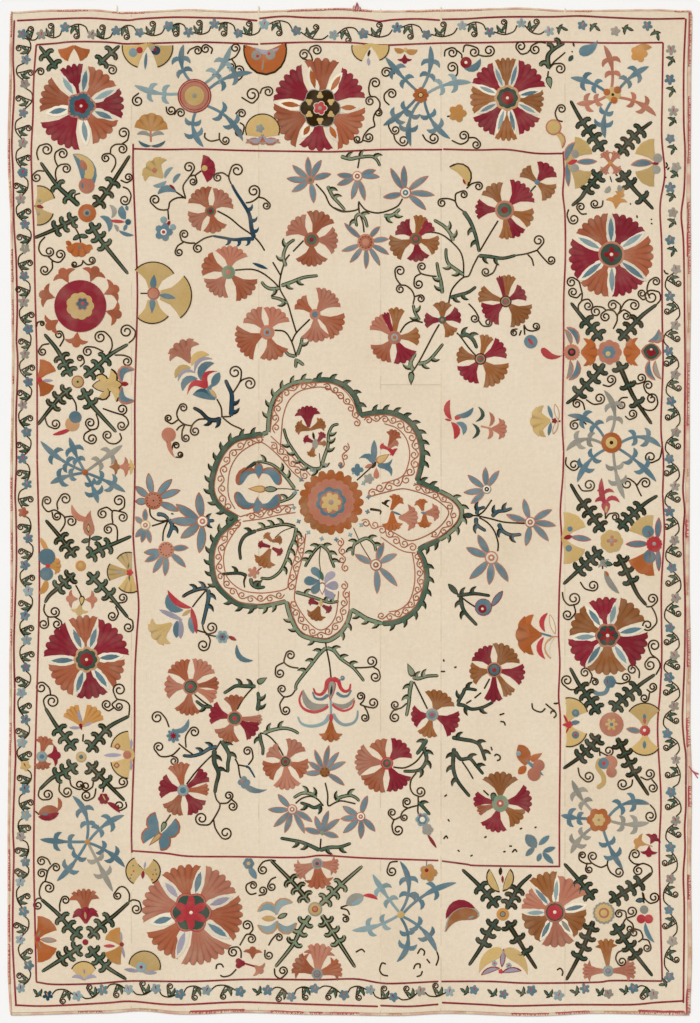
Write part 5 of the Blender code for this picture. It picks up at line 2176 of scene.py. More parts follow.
FIELD_FANS = """
x | y | blades | lobes | scallop | flare | neck | corner | rim | horn
-44.4 | 78.8 | Y135/5.2/104 | 3 | .1 | 1.3 | .3 | .95 | | .3
-35.3 | 80.8 | M8/3.4/150 | 4 | .05 | 1.2 | .6 | 1 |
-46.7 | 52.6 | Y85/6.2/100 | 2 | 0 | 2 | 1.1 | .97 | K
-45 | 51 | Y-5/7.4/88 | 2 | 0 | 2 | 1.1 | .97 | K
-46.9 | 49.9 | Y-88/5.6/86 | 2 | 0 | 2 | 1.1 | .97 | K
-37.9 | 35 | P120/5.9/100 | 4 | .1 | 1.6 | .3 | .97 | | .26
-42.3 | -26.6 | Y216/5.8/90 | 3 | .08 | 1.4 | .3 | .97 | | .26
33.4 | 19.4 | P0/3.6/104 | 4 | .1 | 1.4 | .3 | .97 | | .26
47.2 | 21.3 | Y184/4.8/130 | 3 | .08 | 1.3 | .3 | .97 | | .34
45.2 | -29.3 | O180/6.2/125 | 3 | .06 | 1.4 | .3 | .97 | | .34
"""

FIELD_HEARTS = """
x | y | rings | lobes | depth
-46.4 | 80.5 | P.7 | 4 | .2
-34.5 | 81 | Y.7 | 0 | 0
-44.2 | 65.9 | U2.2 | 5 | .3
-44.2 | 65.9 | W.8 E.45 | 0 | 0
-44.2 | 68.8 | L.8 | 0 | 0
-42 | 67.1 | L.7 | 0 | 0
-46.6 | 51.4 | R1.5 P1.3 | 0 | 0
42.6 | 40 | U1.6 | 0 | 0
-25.2 | -64.2 | U1.5 | 4 | .3
-25.6 | -64 | P.4
-41.9 | -53.2 | U1.7 | 8 | .35
-41.9 | -53.2 | D.9 | 8 | .5
-30.3 | -29.8 | L1.6 U1.1 D.4 | 6 | .25
17 | -73 | L1.7 U1.3 | 6 | .2
17 | -73 | W.7
16.5 | -72 | E.3
18.2 | -75.4 | A1.4 | 5 | .2
44.5 | -60.2 | P1.4
43.4 | -62.3 | P1.6
39.7 | -57.4 | L.6
-43 | 18 | P1.7
48.2 | 21.3 | D.7 | 5 | .4
49.4 | 21.2 | D.25
31.4 | -22.8 | M2.05 U1.9
31.2 | -23.2 | D1.1 W.35
"""

LOTUS_LEAVES = """
path | fill | width | bend
-5.3,-45.7 -11.2,-42.3 | A | 1.8 | .35
-4.3,-45.3 .9,-44.2 | A | 1.1 | -.29
"""

LOTUS_HEART = """
path | fill | width | bend | form | rim | layer
-4.3,-40.3 -4.8,-44.7 | A | 1.5 | 0 | drop | E
-4.4,-41.2 -4.7,-43.8 | J | .6 | 0 | leaf | | 2
-4.6,-48 -4.6,-50.4 | E | 1 | 0 | drop
"""

LOTUS_LINES = """
path | thread | width | tip
-4.9,-48.2 -6,-49.9 -7.7,-50.7 -9.9,-50.9 -11.7,-50.2 -12.5,-48.7 | L | .95 | .4
-4.2,-48 -3.1,-49.7 -1.5,-50.6 .5,-50.2 1.5,-49 1.7,-47.2 | L | .9 | .4
-5.3,-46.1 -6.6,-47 -8.8,-47.6 -11.2,-46.7 -12.1,-44.7 -11.4,-42.6 | E | .85 | .4
-4.3,-45.7 -3.2,-46.7 -1.5,-47.3 .3,-46.5 1,-44.8 | E | .7 | .4
-5.3,-43.5 -6.7,-44.5 -8.3,-44.3 -9,-42.8 | U | .8 | .4
-3.3,-43 -2.1,-43.8 -.7,-43.7 .2,-42.4 | U | .8 | .4
-4.2,-39.6 -5.5,-40.4 -5.9,-42.2 -6.9,-43.4 -8.2,-43.2 -8.8,-41.9 | E | 1.1 | .35
-4.2,-39.6 -2.9,-40.3 -2.4,-41.8 -1.4,-42.7 -.3,-42.3 0,-40.9 | E | 1.1 | .35
-4.7,-44.7 -4.6,-48 | L | .5 | 1
"""

BORDER_ROSETTES = """
x | y | rings | blades | veins | lobes | depth | neck | flare | leaf
-63.7 | 95.7 | P3.6 Q3.3 D2 W.4 | M104/10.2/33 R55/9.8/50 M4/10.2/42 R-47/9.6/52 M235/10.6/66 R162/10/52 \
    | L123/8 U82/8.6 L26/8.7 U-22/8 L-82/8.6 U192/7.7 | 5 | .2
-7.2 | 95.2 | A4.95 K4.7 | M142/11.5/58 R88/12/41 M37/11.2/49 R-33/10.9/68 M-96/10.2/48 R206/11.2/64 | \
    O104/9.4 O58/9.1 O1/8.6 O-62/8.2 O-121/7.5 O173/9.3 | 6 | .2
37.1 | 97.6 | C3.15 H2.75 D1.7 W.4 | M135/9.3/44 B93/9.6/31 M45/9.6/57 B-6/8.7/38 M-52/9.3/40 \
    B-92/10.2/31 M230/9.6/41 B183/8.9/44 | L112/7.6 U74/8 U12/7.4 L-28/7.6 U-78/8 L254/8 U207/7.2 \
    L158/7.2 | 8 | .1 | .7 | 1.5 | 1.9
-62.4 | -35.2 | C3.15 H2.8 D1.8 W.4 | M148/10.4/56 R95/10.6/39 M40/10.3/68 R-23/9.2/47 M-81/9.4/48 \
    R218/9.3/62 | U114/7.8 U73/7.8 U6/7.9 U-53/8 U-107/8 U182/8.4 | 8 | .13
-37.7 | -95 | E4.95 P4.75 H4.4 E.4 | R103/11.5/50 P48/11.9/49 R-7/12.3/54 P-70/12.6/62 R229/11.8/50 \
    P163/11.8/58 | U77/9.9 V131/9.3 U195/9.2 V252/10.6 U-34/10.2 V21/9.8 | 6 | .16 | 1.1 | 1.6 | 3.1
48.3 | -94.9 | P2.55 H2.3 E1.95 W.45 | B108/9.8/42 P57/8.8/57 B-24/7.6/58 P-84/8.4/56 B213/8/62 \
    P154/8.1/40 | U130/7.2 L86/7.6 L182/6.6 U243/6.8 A-52/6 U12/7 | 0 | 0 | .8 | 1.5 | 2.2
61.7 | 60.6 | P3.15 H2.8 | R122/10/54 M62/9.9/54 R-3/10/60 M-64/10.2/50 R-116/10.2/44 M187/10.2/58 | \
    U91/8.8 L34/8.8 U-37/9.6 L-89/8.9 U219/9 L153/8.8 | 4 | .04
60.8 | -29.5 | P3.05 H2.75 | M98/9.2/44 B46/9.7/50 M-24/9.7/58 B-92/9.4/62 M210/9.6/50 B154/9.2/52 | \
    L76/7.4 U12/8.3 L-56/8 U235/8.2 L184/7.8 U126/7.6 | 6 | .14
"""

BORDER_STARS = """
x | y | rings | arms | lobes
-36.9 | 98.1 | M4 P3.75 M3.5 P3.3 Y2.6 A.6 | U102/12.4/12 L54/14.6/-8 U22/14.7/8 U-43/15.6/10 \
    U-80/12.2/-14 L170/14.4/6
16.6 | 98.3 | O1.9 K.75 Y.55 | U79/11.8/-8 U133/12.2/2 U219/11.4/4 U259/12.3/-12 U-56/12.4/-10 L14/12.3/8 \
    | 8
62 | 98.4 | Y1.9 K.3 | P100/11.8/-8 U38/10.8/6 P-26/11.4/8 U-100/10.4/-10 P194/8.8/6 U158/10.7/-6 | 4
-62.8 | 9.1 | O.75 | U145/12.8/6 U114/9/3 A36/10.9/0 U-26/10.6/3 U-67/7.9/4 U198/8.6/-5
-62.2 | -78.3 | I.65 | U108/11.4/-14 U36/10.7/8 U-34/10.6/7 U177/11.2/2 U232/11.7/4 A-63/13.1/0
11.9 | -95.5 | Y.85 | U91/12.6/-16 L125/11.6/2 L198/12.1/6 U265/11.2/20 U-46/12.2/10 U30/15.1/8
61.7 | 16.1 | O2.45 Y1.5 K.5 | U148/12.2/-13 A98/12.5/-14 U-5/11.7/17 A190/10.8/-18 U229/12.3/-9 \
    A-77/13.6/-4 U-41/14/4
58.7 | -73.1 | O2.95 Y1.7 A.4 | A124/11.3/5 U17/12.6/15 A-3/11.9/-6 U-64/12.9/-4 A230/10.3/-6 U173/9/2 | 6
"""

BORDER_SPEARS = """
path | fill | hooks
-64.2,72.2 -66,73.8 -69,76.5 -71.5,79.8 -73.3,82.4 | G | .B.B...
-61,72 -59,73.5 -56,78 -52.2,84 | G
-61.6,68.2 -59.8,65 -57.5,62 -52.6,56 | G | BBB...
-64.5,69.4 -66.5,68.3 -70,66.5 -74.8,64.5 | G
-66,31.8 -67.6,35 -69.6,38.4 -72.4,41.8 | G | BBB...
-63,31.6 -60,34 -57,36.8 -52.6,39.4 | G
-66,29 -68.6,27 -70.6,24.6 -74,20.3 | G | BBB..
-63.5,29 -61.5,25.4 -59,22.5 -55.4,18.6 | G | BB...
-65,-11 -67.6,-7.6 -69,-5.8 -72.1,-2.2 | G
-62.5,-11 -59,-9 -56,-7.8 -51.8,-6 | G
-65.2,-14.8 -68.6,-17.8 -71.2,-20 -72.3,-21.8 | G
-62.2,-14.6 -58.2,-18.6 -55.6,-21.6 -52.6,-25.3 | G
-65,-56.6 -67.8,-53.2 -69.6,-50.8 -72.2,-46.6 | G
-62.3,-57 -59.8,-54 -57,-51 -52.3,-48.5 | G
-64.6,-59.8 -68,-62 -70.6,-63.2 -73.6,-66 | G
-62.4,-59.6 -59.4,-62.6 -57.4,-64.6 -53.4,-68.6 | G
-63.4,-101 -66,-99 -69,-95.5 -73.2,-91.8 | G
-62,-101 -59,-98 -56,-95.8 -52.3,-92.5 | G
-63.5,-102.8 -66,-104.5 -69.4,-106.7 -73,-109 | G
-61.9,-103 -60,-105.5 -57.5,-108 -53,-110.8 | G
-9.8,-92.6 -12,-89.8 -14.5,-87 -18.9,-82.6 | S | BBB..
-7.2,-93.2 -4,-90.2 -1.8,-88 2.8,-84 | S | BBB..
-6.8,-95.6 -4.8,-98.8 -2.5,-102.4 1.1,-108 | S | BBB..
-9.6,-95.8 -11.8,-99 -13.6,-102.6 -17.8,-107.9 | S | BBB..
34.9,-93.8 33,-91.5 30,-88.2 26.4,-84.8 | H | BBB..
36.9,-94.2 38.4,-91.4 40,-88.6 42.8,-86 | H | BBB..
34.8,-96.6 32.8,-99.4 31,-103 28,-107.5 | H | BBB..
36.9,-97 39.4,-101 41.2,-104 44,-108.3 | H | B.B.B..
57.6,-92 55,-88.6 53.2,-86.4 50.5,-83.4 | H | BBB..
61.2,-92.6 65,-90 68.6,-87.8 71.3,-85.6 | H | BBBB.
57.4,-97 55.8,-101.4 53.8,-105.8 51,-111 | H | BBBB..
62.2,-97.6 65.2,-102 68.2,-106 71.4,-110 | H | BBBB..
-69.5,104.5 -71,106.6 -73.6,109.9 | G | B.B.
-59.6,105.5 -57.6,107.4 -54.6,110 | G | B.B.
59.8,85 57,89 54.5,92.5 52,97 | H | BBBB..
63.3,84.2 66,87.5 68.6,90 71.3,92 | H | BBBB.
59.5,80.2 57.5,78 55.8,76 54.5,74 52.3,72.1 | H | BBB..
63.7,80.4 65.5,78 67.4,75.6 69.8,73.2 71.6,71.3 | H | BB.B.
46.9,104.6 46.6,106.5 46.9,108 48.4,109.4 50.6,110.6 | G | L.LL
59.5,40.3 58,42.3 55.5,45 53.7,47.2 52.1,49.2 | H | BBB..
63.4,40.3 65,42 67.3,44.5 69.3,46.5 72.4,48.8 | H
60,34.8 58,32 55,29 53.3,27 51,25.3 | H | BBBB.
63.2,35.3 64.6,32 66,28.8 67.5,26 71.2,20.5 | H | B.B.B..
60,-4.9 58.6,-3.2 56.3,0 54,3 52,6.4 | H | BBBB..
63.3,-4.3 65.5,-2 68,.3 70,2 72.6,3.6 | H | BBBB..
59.6,-9.3 57,-11.3 54,-14 50.3,-17.4 | H | BBBB..
63.2,-10.3 64.8,-13.3 66.5,-17 68,-20 70,-22.4 | H | BBB..
59,-48 57.5,-46 55.5,-43 54,-41 51.9,-37.1 | H | BBBB..
62,-47.5 63.5,-45.3 66.5,-42.7 69,-40.7 72,-38.7 | H | BBBB..
59,-53 57,-55.6 54.3,-58.2 50.3,-61 | H | BBBB..
63,-53.7 65,-57.6 67,-61.8 70.5,-67.3 | H | BBBB..
"""

BORDER_LILIES = """
x | y | turn | fill | size
-66.7 | 53.9 | 118 | R | 3.9
-61.5 | 54.2 | 67 | R | 3.9
-58.3 | 51.2 | 25 | R | 3.9
-57.9 | 47.2 | -15 | R | 3.9
-64.6 | 42.3 | 264 | R | 3.7
-69 | 45.2 | 215 | R | 3.7
-69.9 | 50.4 | 165 | R | 3.9
-57.1 | 10.4 | 0 | B | 2.6
-55 | 10.4 | 0 | P | 3.1
-53.4 | 10.4 | 0 | Y | 2.4
-64.4 | -20.8 | 180 | P | 2.9
-62.8 | -21 | 0 | P | 2.9
-63.9 | -22 | 262 | Y | 2.8
-23.2 | -106 | 88 | R | 3
-22.8 | -107.4 | -42 | P | 2.8
-71.9 | -58 | 4 | M | 3.4
12.8 | 108 | 270 | M | 2.3
62.7 | 71.4 | 84 | I | 3.4
62.6 | 75.6 | -30 | I | 2.4
60.6 | -13.4 | 128 | A | 2.2
69.8 | -79 | 160 | I | 3
70.9 | -78.8 | 62 | M | 2.7
70.6 | -79.2 | -92 | M | 2.7
"""

BORDER_LEAVES = """
path | fill | width | bend | form | rim | layer
-48.3,108.3 -48.6,104.4 | U | .7 | 0 | leaf | | 2
-24.9,110.1 -15.6,110.5 | O | 5.6 | -.44 | leaf | K
-22.8,109.6 -16.8,109.5 | V | 1.1 | -.2 | leaf | | 2
-20.6,106.8 -20.9,104 | A | .5 | 0 | leaf | | 2
4.2,107.1 4.3,105.3 | V | .8
4.6,109 4.1,107.4 | K | .6
-20.8,88.9 -24.3,87.9 | V | 1.1 | .3 | leaf | R | 2
-20.8,88.9 -17.2,87.9 | V | 1.1 | -.3 | leaf | R | 2
-20.8,86.6 -24.5,86.9 | A | .9 | -.2 | leaf | P
-20.8,86.6 -16.9,86.9 | A | .9 | .2 | leaf | P
12.8,109 10.4,109.4 | I | 1.3 | .2
13,109 15.8,109 | I | 1.4 | -.2
26.6,105 30.7,106.9 | U | 1.7 | -.3
25,93.9 26.1,93.4 | D | .7 | 0 | leaf | | 2
48.2,89.4 49.9,86 | Y | 1.1 | .25 | leaf | P
47.6,89.9 48.7,90.9 | D | .5 | 0 | leaf | | 2
46.8,102.4 47.3,100.1 | S | 1.2 | 0 | drop | K
54,108.6 58.4,111.2 | U | 2.6 | -.16 | drop
66.6,108.4 71.2,109.6 | I | 1.8 | .1
68.6,107.8 69.6,107.6 | U | .5 | 0 | leaf | | 2
52.6,110.7 52.9,109.7 | K | .5
52.6,107.7 51.6,106.3 | H | 1.1
-74.3,72.1 -72.6,71.7 | D | .9
-63,75.2 -65.6,84.3 | U | 4 | -.24
-63.2,76.6 -65.4,84.2 | Y | 2.5 | -.32 | leaf |  | 2
-63.7,83 -62.4,80.6 | P | 2 | 0 | leaf | | 3
-63.5,77.6 -63.3,76.1 | U | .7 | 0 | leaf | | 4
-57,68.6 -53.4,68.3 | E | .8
-54,72.1 -53.2,69 | U | 1.9 | -.15
-53,72.2 -52.8,71 | U | .8
-59.2,69.6 -57.2,66 | U | 1.5 | .3
-57,72.3 -56.5,69.3 | A | 1.2 | .3
-56,67.6 -55.2,66 | A | .9 | .2
-52.9,67.8 -53.6,66.2 | U | .9
-54.8,66.3 -51.3,65.2 | U | .9 | -.1
-64,65.1 -62.3,64.8 | G | .8 | 0 | leaf | K
-64.1,65.1 -65.4,64.2 | G | .8 | 0 | leaf | K
-64,62.8 -64,61.7 | U | .6 | 0 | leaf | | 2
-72.8,30.8 -70.4,30.8 | V | .7
-54.2,29.9 -60.8,29.5 | Y | 3 | 0 | leaf | K
-58,30.2 -56.7,33.3 | Y | 1.8 | -.35 | leaf | K
-58,29.2 -55.5,26 | Y | 1.9 | .35 | leaf | K
-57.8,30 -60.2,31.5 | Y | 1.4 | -.25 | leaf | K
-57.6,29 -59.6,26.8 | Y | 1.5 | .25 | leaf | K
-54.4,30 -52.5,30 | D | 1.1
-54,30.5 -51.3,33.2 | U | 1.5 | .42 | leaf | P
-53.9,29.2 -51.3,26.2 | U | 1.5 | -.42 | leaf | P
-70.4,18 -65.9,19.5 | E | 1 | -.04
-65.2,23 -65.1,21.3 | P | .6 | 0 | leaf | | 2
-61.4,-5.8 -61.5,0 | P | 2.7 | .1 | drop
-61.3,-1.8 -65.9,1.4 | P | 1.5 | .28
-62,-3.3 -61.9,-4.9 | Y | .6 | 0 | leaf | K | 3
-61.2,-6.6 -59,-6.4 | G | .8 | 0 | leaf | K
-61.8,-6.9 -63.4,-7.3 | G | .8 | 0 | leaf | K
-71.8,-9.7 -71.8,-12.1 | P | .9 | 0 | leaf | | 2
-72,-14 -71.8,-15.9 | P | .8 | 0 | leaf | | 2
-73.3,-6.4 -71.6,-9.8 | I | 1.2
-72,-16.2 -73.6,-19.6 | I | 1.6 | .15
-52.6,-13.6 -52.4,-12.2 | G | .7 | 0 | leaf | K
-52.4,-15.2 -52.2,-16.7 | G | .7 | 0 | leaf | K
-53.3,-14.6 -55.9,-14.4 | V | .6 | 0 | leaf | | 2
-63.5,-20.4 -63.6,-22.2 | Y | .9 | 0 | drop | K | 3
-64.5,-47.2 -63.7,-50 | V | .8 | 0 | leaf | | 3
-63.9,-51.3 -66.5,-51.3 | V | .7
-63,-50.9 -60.9,-49.8 | V | .7
-63.9,-50.3 -63.6,-51.9 | D | .8 | 0 | drop | | 2
-58.3,-57.8 -54.2,-57.7 | V | .9
-52,-56.4 -51.8,-54 | V | .7
-52,-58.8 -51.9,-61.4 | V | .7
-57.6,-69 -54.6,-71.4 | M | 1.2 | .1
-58.7,-67.1 -57.9,-68.5 | Y | .7 | 0 | leaf | E | 3
-73.8,-71.7 -69,-70.8 | R | 2.8 | .05
-73.8,-72.3 -69,-71.4 | M | 1.7 | -.12 | leaf | | 2
-69.4,-71 -69.2,-67.8 | R | 1 | -.2
-73,-71.8 -71.4,-71.8 | U | .5 | 0 | leaf | | 3
-73,-101.4 -69.8,-101.6 | A | .9 | 0 | leaf | P | 2
-74,-100.7 -73.2,-99 | A | .6
-73.8,-102 -73.2,-103.5 | A | .6
-58.4,-102.9 -55.7,-102.9 | E | .8 | 0 | leaf | | 2
-54.3,-99.6 -54.2,-102.1 | V | .6
-54,-103 -53.5,-105.7 | V | .6
-62.8,-94.8 -62.6,-96.6 | C | .6 | 0 | leaf | | 3
-63,-108.3 -62.9,-109.5 | V | .5 | 0 | leaf | | 3
-63,-111 -65.9,-110.3 | V | .9 | -.2 | leaf | | 2
-63,-111 -60.1,-110.3 | V | .9 | .2 | leaf | | 2
-49,-85.1 -49.2,-87 | M | .8
-48.8,-84.6 -48.5,-83 | V | .5
-53.5,-108.4 -50,-108.9 | V | .9 | 0 | leaf | | 2
-49,-109.2 -45.8,-109.2 | V | .9 | 0 | leaf | | 2
-24,-84.2 -22.3,-87 | U | 1.6
-17.5,-95.4 -21.7,-94.8 | L | 1.6 | -.36 | leaf | C
-17.4,-95.4 -13.9,-92.8 | L | 1.6 | .34 | leaf | C
-17.5,-97 -21.7,-97.9 | L | 1.6 | .36 | leaf | C
-17.3,-97.2 -13,-97.4 | L | 1.6 | -.4 | leaf | C
-18,-96.4 -20.7,-96.4 | Y | 1 | 0 | leaf | C | 2
-17,-96.2 -15.2,-95.4 | S | .8 | 0 | leaf | K | 2
-1,-93.2 3.1,-91 | A | 2.7 | .05
.3,-93.2 3,-91.6 | L | 1.3 | 0 | leaf | | 2
3,-91 6.4,-91.9 | E | 1 | .12
22.6,-96.4 29.4,-94 | M | 2.2 | .3
30.1,-95.9 22.6,-99.4 | B | 2.9 | -.26 | drop | A | 2
27.8,-96.4 29.3,-95.8 | L | .5 | 0 | leaf | | 3
32.9,-85 35.1,-89.9 | Y | 1.7 | -.12 | leaf | K
36,-104.1 30.4,-109.2 | Y | 2.9 | -.16 | drop
36.3,-104.1 41.8,-109.6 | Y | 2.9 | .16 | drop
37.7,-85 36.1,-89.7 | Y | 1.7 | .12 | leaf | K
35.5,-84.3 35.4,-86.2 | K | .9
35.9,-86.3 36,-88 | M | .6
35.8,-107.6 36.2,-103.9 | V | .9 | 0 | leaf | D | 2
35,-108.3 31.2,-109.7 | V | .9 | -.1 | leaf | D | 2
36.2,-109.2 40.1,-108.8 | V | .9 | .1 | leaf | D | 2
69.7,-97.4 71.8,-102 | U | 1.1 | -.12
67.7,-92.2 69.2,-92 | Q | .8 | 0 | leaf | K
69.3,-93.8 69.3,-95.2 | B | .6 | 0 | leaf | | 2
51,83 53.1,86.9 | U | 1.3 | .12 | leaf | P
51.2,82.2 51.5,77 | U | 1 | 0 | leaf | P
51.4,82 53.6,82.9 | E | 1.1 | 0 | leaf | | 2
53.7,82.5 58,82.6 | U | 1.1 | 0 | leaf | P
66.6,81.8 71.3,82.2 | U | 1.4 | .05 | leaf | P
71.3,82.1 72.9,82.1 | M | .8
61.3,79.2 61.8,77.6 | K | .3
61.2,76.8 60,75.4 | A | 1.3 | .2
63.4,77 64,75.2 | A | 1.3
51.2,43.1 53.5,39.6 | U | 1.1 | .22 | leaf | P
50.8,42.6 52,39.6 | A | .9 | .1 | leaf | P
53.5,35.3 51.7,31.2 | U | 1.1 | .22 | leaf | P
51.8,35.3 51.1,31.5 | A | .9 | .15 | leaf | P
72.7,42.7 70.6,40.3 | U | 1.1 | .26 | leaf | P
73.4,42 72.2,40 | A | .9 | .2 | leaf | P
70.8,35.3 72,31.2 | U | 1.1 | -.22 | leaf | P
72.2,35.2 73.4,31.4 | A | .9 | -.15 | leaf | P
68.7,37.8 73.5,37.3 | P | 4.2 | 0 | leaf
69.2,37.8 73,37.4 | H | 3.6 | 0 | leaf | | 2
69.9,37.6 72.3,37.4 | D | 2 | 0 | leaf | | 3
50.4,-6.5 52.4,-6 | D | 1.1 | 0 | leaf | | 2
52.4,-6.2 56.6,-6.8 | U | 1.1 | 0 | leaf | Z
65.4,-7.9 70.2,-7.8 | U | 1.3 | 0 | leaf | Z
72.9,-1.9 72.6,-6.3 | U | 1.2 | 0 | leaf | Z
72.7,-9.2 72.9,-14 | U | .9 | 0 | leaf | Z
70.3,-4.7 71,-5.9 | D | .9 | 0 | leaf | | 3
70.8,-9.6 70.8,-11.4 | D | .9 | 0 | leaf | | 3
60.5,1.2 60.6,.2 | Y | .6 | 0 | leaf | | 4
59.8,-12.3 61.7,-12.7 | G | .9 | 0 | leaf | J
60.1,-14.2 63.5,-19.5 | A | 1.5 | -.08
60.2,-14.3 61,-15.5 | O | .8 | 0 | leaf | | 2
51.9,-50.3 54.2,-49.9 | U | 1.1
51.6,-50.6 50.4,-48.2 | E | .6
51.8,-50.6 50.1,-50.6 | E | .8
51.8,-50.8 51,-52.6 | E | .7
65.5,-51.6 68.5,-52.2 | U | 1.1 | 0 | leaf | P
69.5,-48 69.5,-49.4 | U | .8 | 0 | leaf | | 3
69.5,-49 69.5,-50.4 | Z | .7 | 0 | leaf | | 4
69.5,-54.4 69.5,-56.3 | U | .9 | 0 | leaf | | 3
60.6,-39.7 60.9,-41 | D | .8 | 0 | leaf | | 3
-47.3,88.5 -50.5,89 | A | 1 | -.2
-47.1,88.5 -44.1,89 | A | 1 | .2
-47.2,86.3 -50.1,87.5 | Q | .8 | .15
-47.2,86.3 -43.8,87.5 | Q | .8 | -.15
-66,62.8 -67.3,63.7 | O | 1.2
-62.4,62.8 -61,61.9 | O | 1.3
60.5,-.8 60.3,2.2 | Z | 2.1 | 0 | bud
60.4,1 59.4,7.7 | Z | 1.4 | .08
60,4 58.3,4.7 | Z | .9 | -.3 | leaf | | 2
59.8,3.8 62.3,4.4 | Z | .9 | .3 | leaf | | 2
60.4,1.8 57.8,2.1 | Z | 1.1 | -.35 | leaf | | 2
60.2,1.8 63.6,2 | Z | 1.1 | .35 | leaf | | 2
60.5,-.5 60.4,.8 | Y | .6 | 0 | leaf | | 3
"""

BORDER_FANS = """
x | y | blades | lobes | scallop | flare | neck | corner | rim | horn
-20.8 | 88.4 | Y90/5.4/168 | 3 | .03 | 1 | .6 | .7 | K
-71.6 | -13 | I0/3.2/90 | 3 | .08 | 1.4 | .3 | .97 | | .28
-51.9 | -14.5 | Y112/4.8/50 Y180/5.6/44 Y-100/4.9/58 | 3 | .05 | 1.2 | .3 | .95 | K
-63.3 | -50.9 | I128/5.5/52 I48/5.5/62 | 4 | .09 | 1.2 | .3
-73 | -57.3 | R76/4.1/72 R-86/4/66 | 3 | .1 | 1.6 | .3 | .97 | | .26
-62.8 | -95.5 | R93/6.2/78 | 5 | .1 | 1.6 | .3 | .97 | | .24
-62.6 | -97.6 | M92/4.1/120 | 3 | .1 | 1.4 | .3 | .97 | | .34
-63.1 | -111 | Y90/4.4/94 | 3 | .03 | 1 | .4 | .88 | K
-7.9 | -83.4 | P202/5.7/56 R-84/6.1/76 P-8/5.2/54 | 4 | .09 | 1.5 | .4 | .96 | | .16
-7.9 | -109.5 | P84/7.3/66 R152/6.3/70 R16/6.1/60 | 4 | .09 | 1.5 | .4 | .96 | | .16
60.8 | -108.8 | P180/6/50 P2/6.7/50 | 4 | .09 | 1.7 | .3 | .97 | | .16
60.8 | -107.8 | B94/6.7/46 | 3 | .1 | 1.3 | .35 | .97 | | .17
-47.2 | 89.8 | I87/4.3/160 | 5 | .07 | 1 | .4
-64.2 | 63.4 | O268/3.5/140 | 4 | .08 | 1 | .8
61.4 | 82.2 | P120/3.2/56 P56/3.1/56 P232/3/56 P-46/3.1/56 | 3 | .1 | 1.6 | .25 | .97 | | .2
69.6 | -51.4 | Y92/5.9/84 | 3 | .02 | 1.6 | .2 | .92 | K
69.6 | -52.4 | Y-90/5.4/84 | 3 | .02 | 1.6 | .2 | .92 | K
-48.9 | -85.2 | Y178/4.2/106 Y-2/3.9/106 | 3 | .02 | 1.7 | .3 | .9 | K
-48.9 | -108.9 | Y80/4.8/150 | 3 | .02 | 1 | .5 | .8 | K
-48 | 110.4 | Y215/6.2/64 Y-35/6.2/64 | 3 | .02 | 1.5 | .3 | .96 | K
-65.4 | 109.9 | O220/4/56 O-40/4/56 | 3 | .03 | 1.5 | .3 | .96
4.8 | 110.3 | Y212/4.7/60 Y-32/4.5/60 | 3 | .02 | 1.5 | .3 | .94 | K
-74.4 | 72 | Y55/5/64 Y-55/4.6/64 | 3 | .02 | 1.5 | .3 | .96 | K
-73.9 | 31.2 | O54/4.8/62 O-53/4.3/62 | 3 | .02 | 1.5 | .3 | .96
50.1 | -6.5 | Y57/6.4/62 Y-57/6.3/62 | 3 | .02 | 1.6 | .3 | .95
50.8 | -50.1 | Y58/6.1/64 Y-58/5.9/62 | 3 | .02 | 1.6 | .3 | .95 | K
-51.2 | -57.7 | Y133/6/58 Y-133/6/58 | 3 | .02 | 1.5 | .3 | .95 | K
-74.5 | -101.3 | O54/5.7/62 O-54/5.7/62 | 3 | .02 | 1.5 | .3 | .96
-54 | -102.8 | I129/4.5/64 I-126/4.7/64 | 3 | .03 | 1.5 | .3 | .95
50.9 | 82.2 | Y45/7/52 Y-44/6.8/52 | 3 | .02 | 2.2 | .2 | .94
72.6 | 82.3 | Y128/6/60 Y-128/6/60 | 3 | .02 | 1.7 | .2 | .95
72 | -7.9 | Y123/7.2/60 O-120/7.8/58 | 3 | .03 | 1.7 | .2 | .95
54.5 | 37.5 | O0/4/150 | 3 | .08 | 1.2 | .4 | .97 | | .3
68.5 | 37.6 | O180/4/150 | 3 | .08 | 1.2 | .4 | .97 | | .3
"""

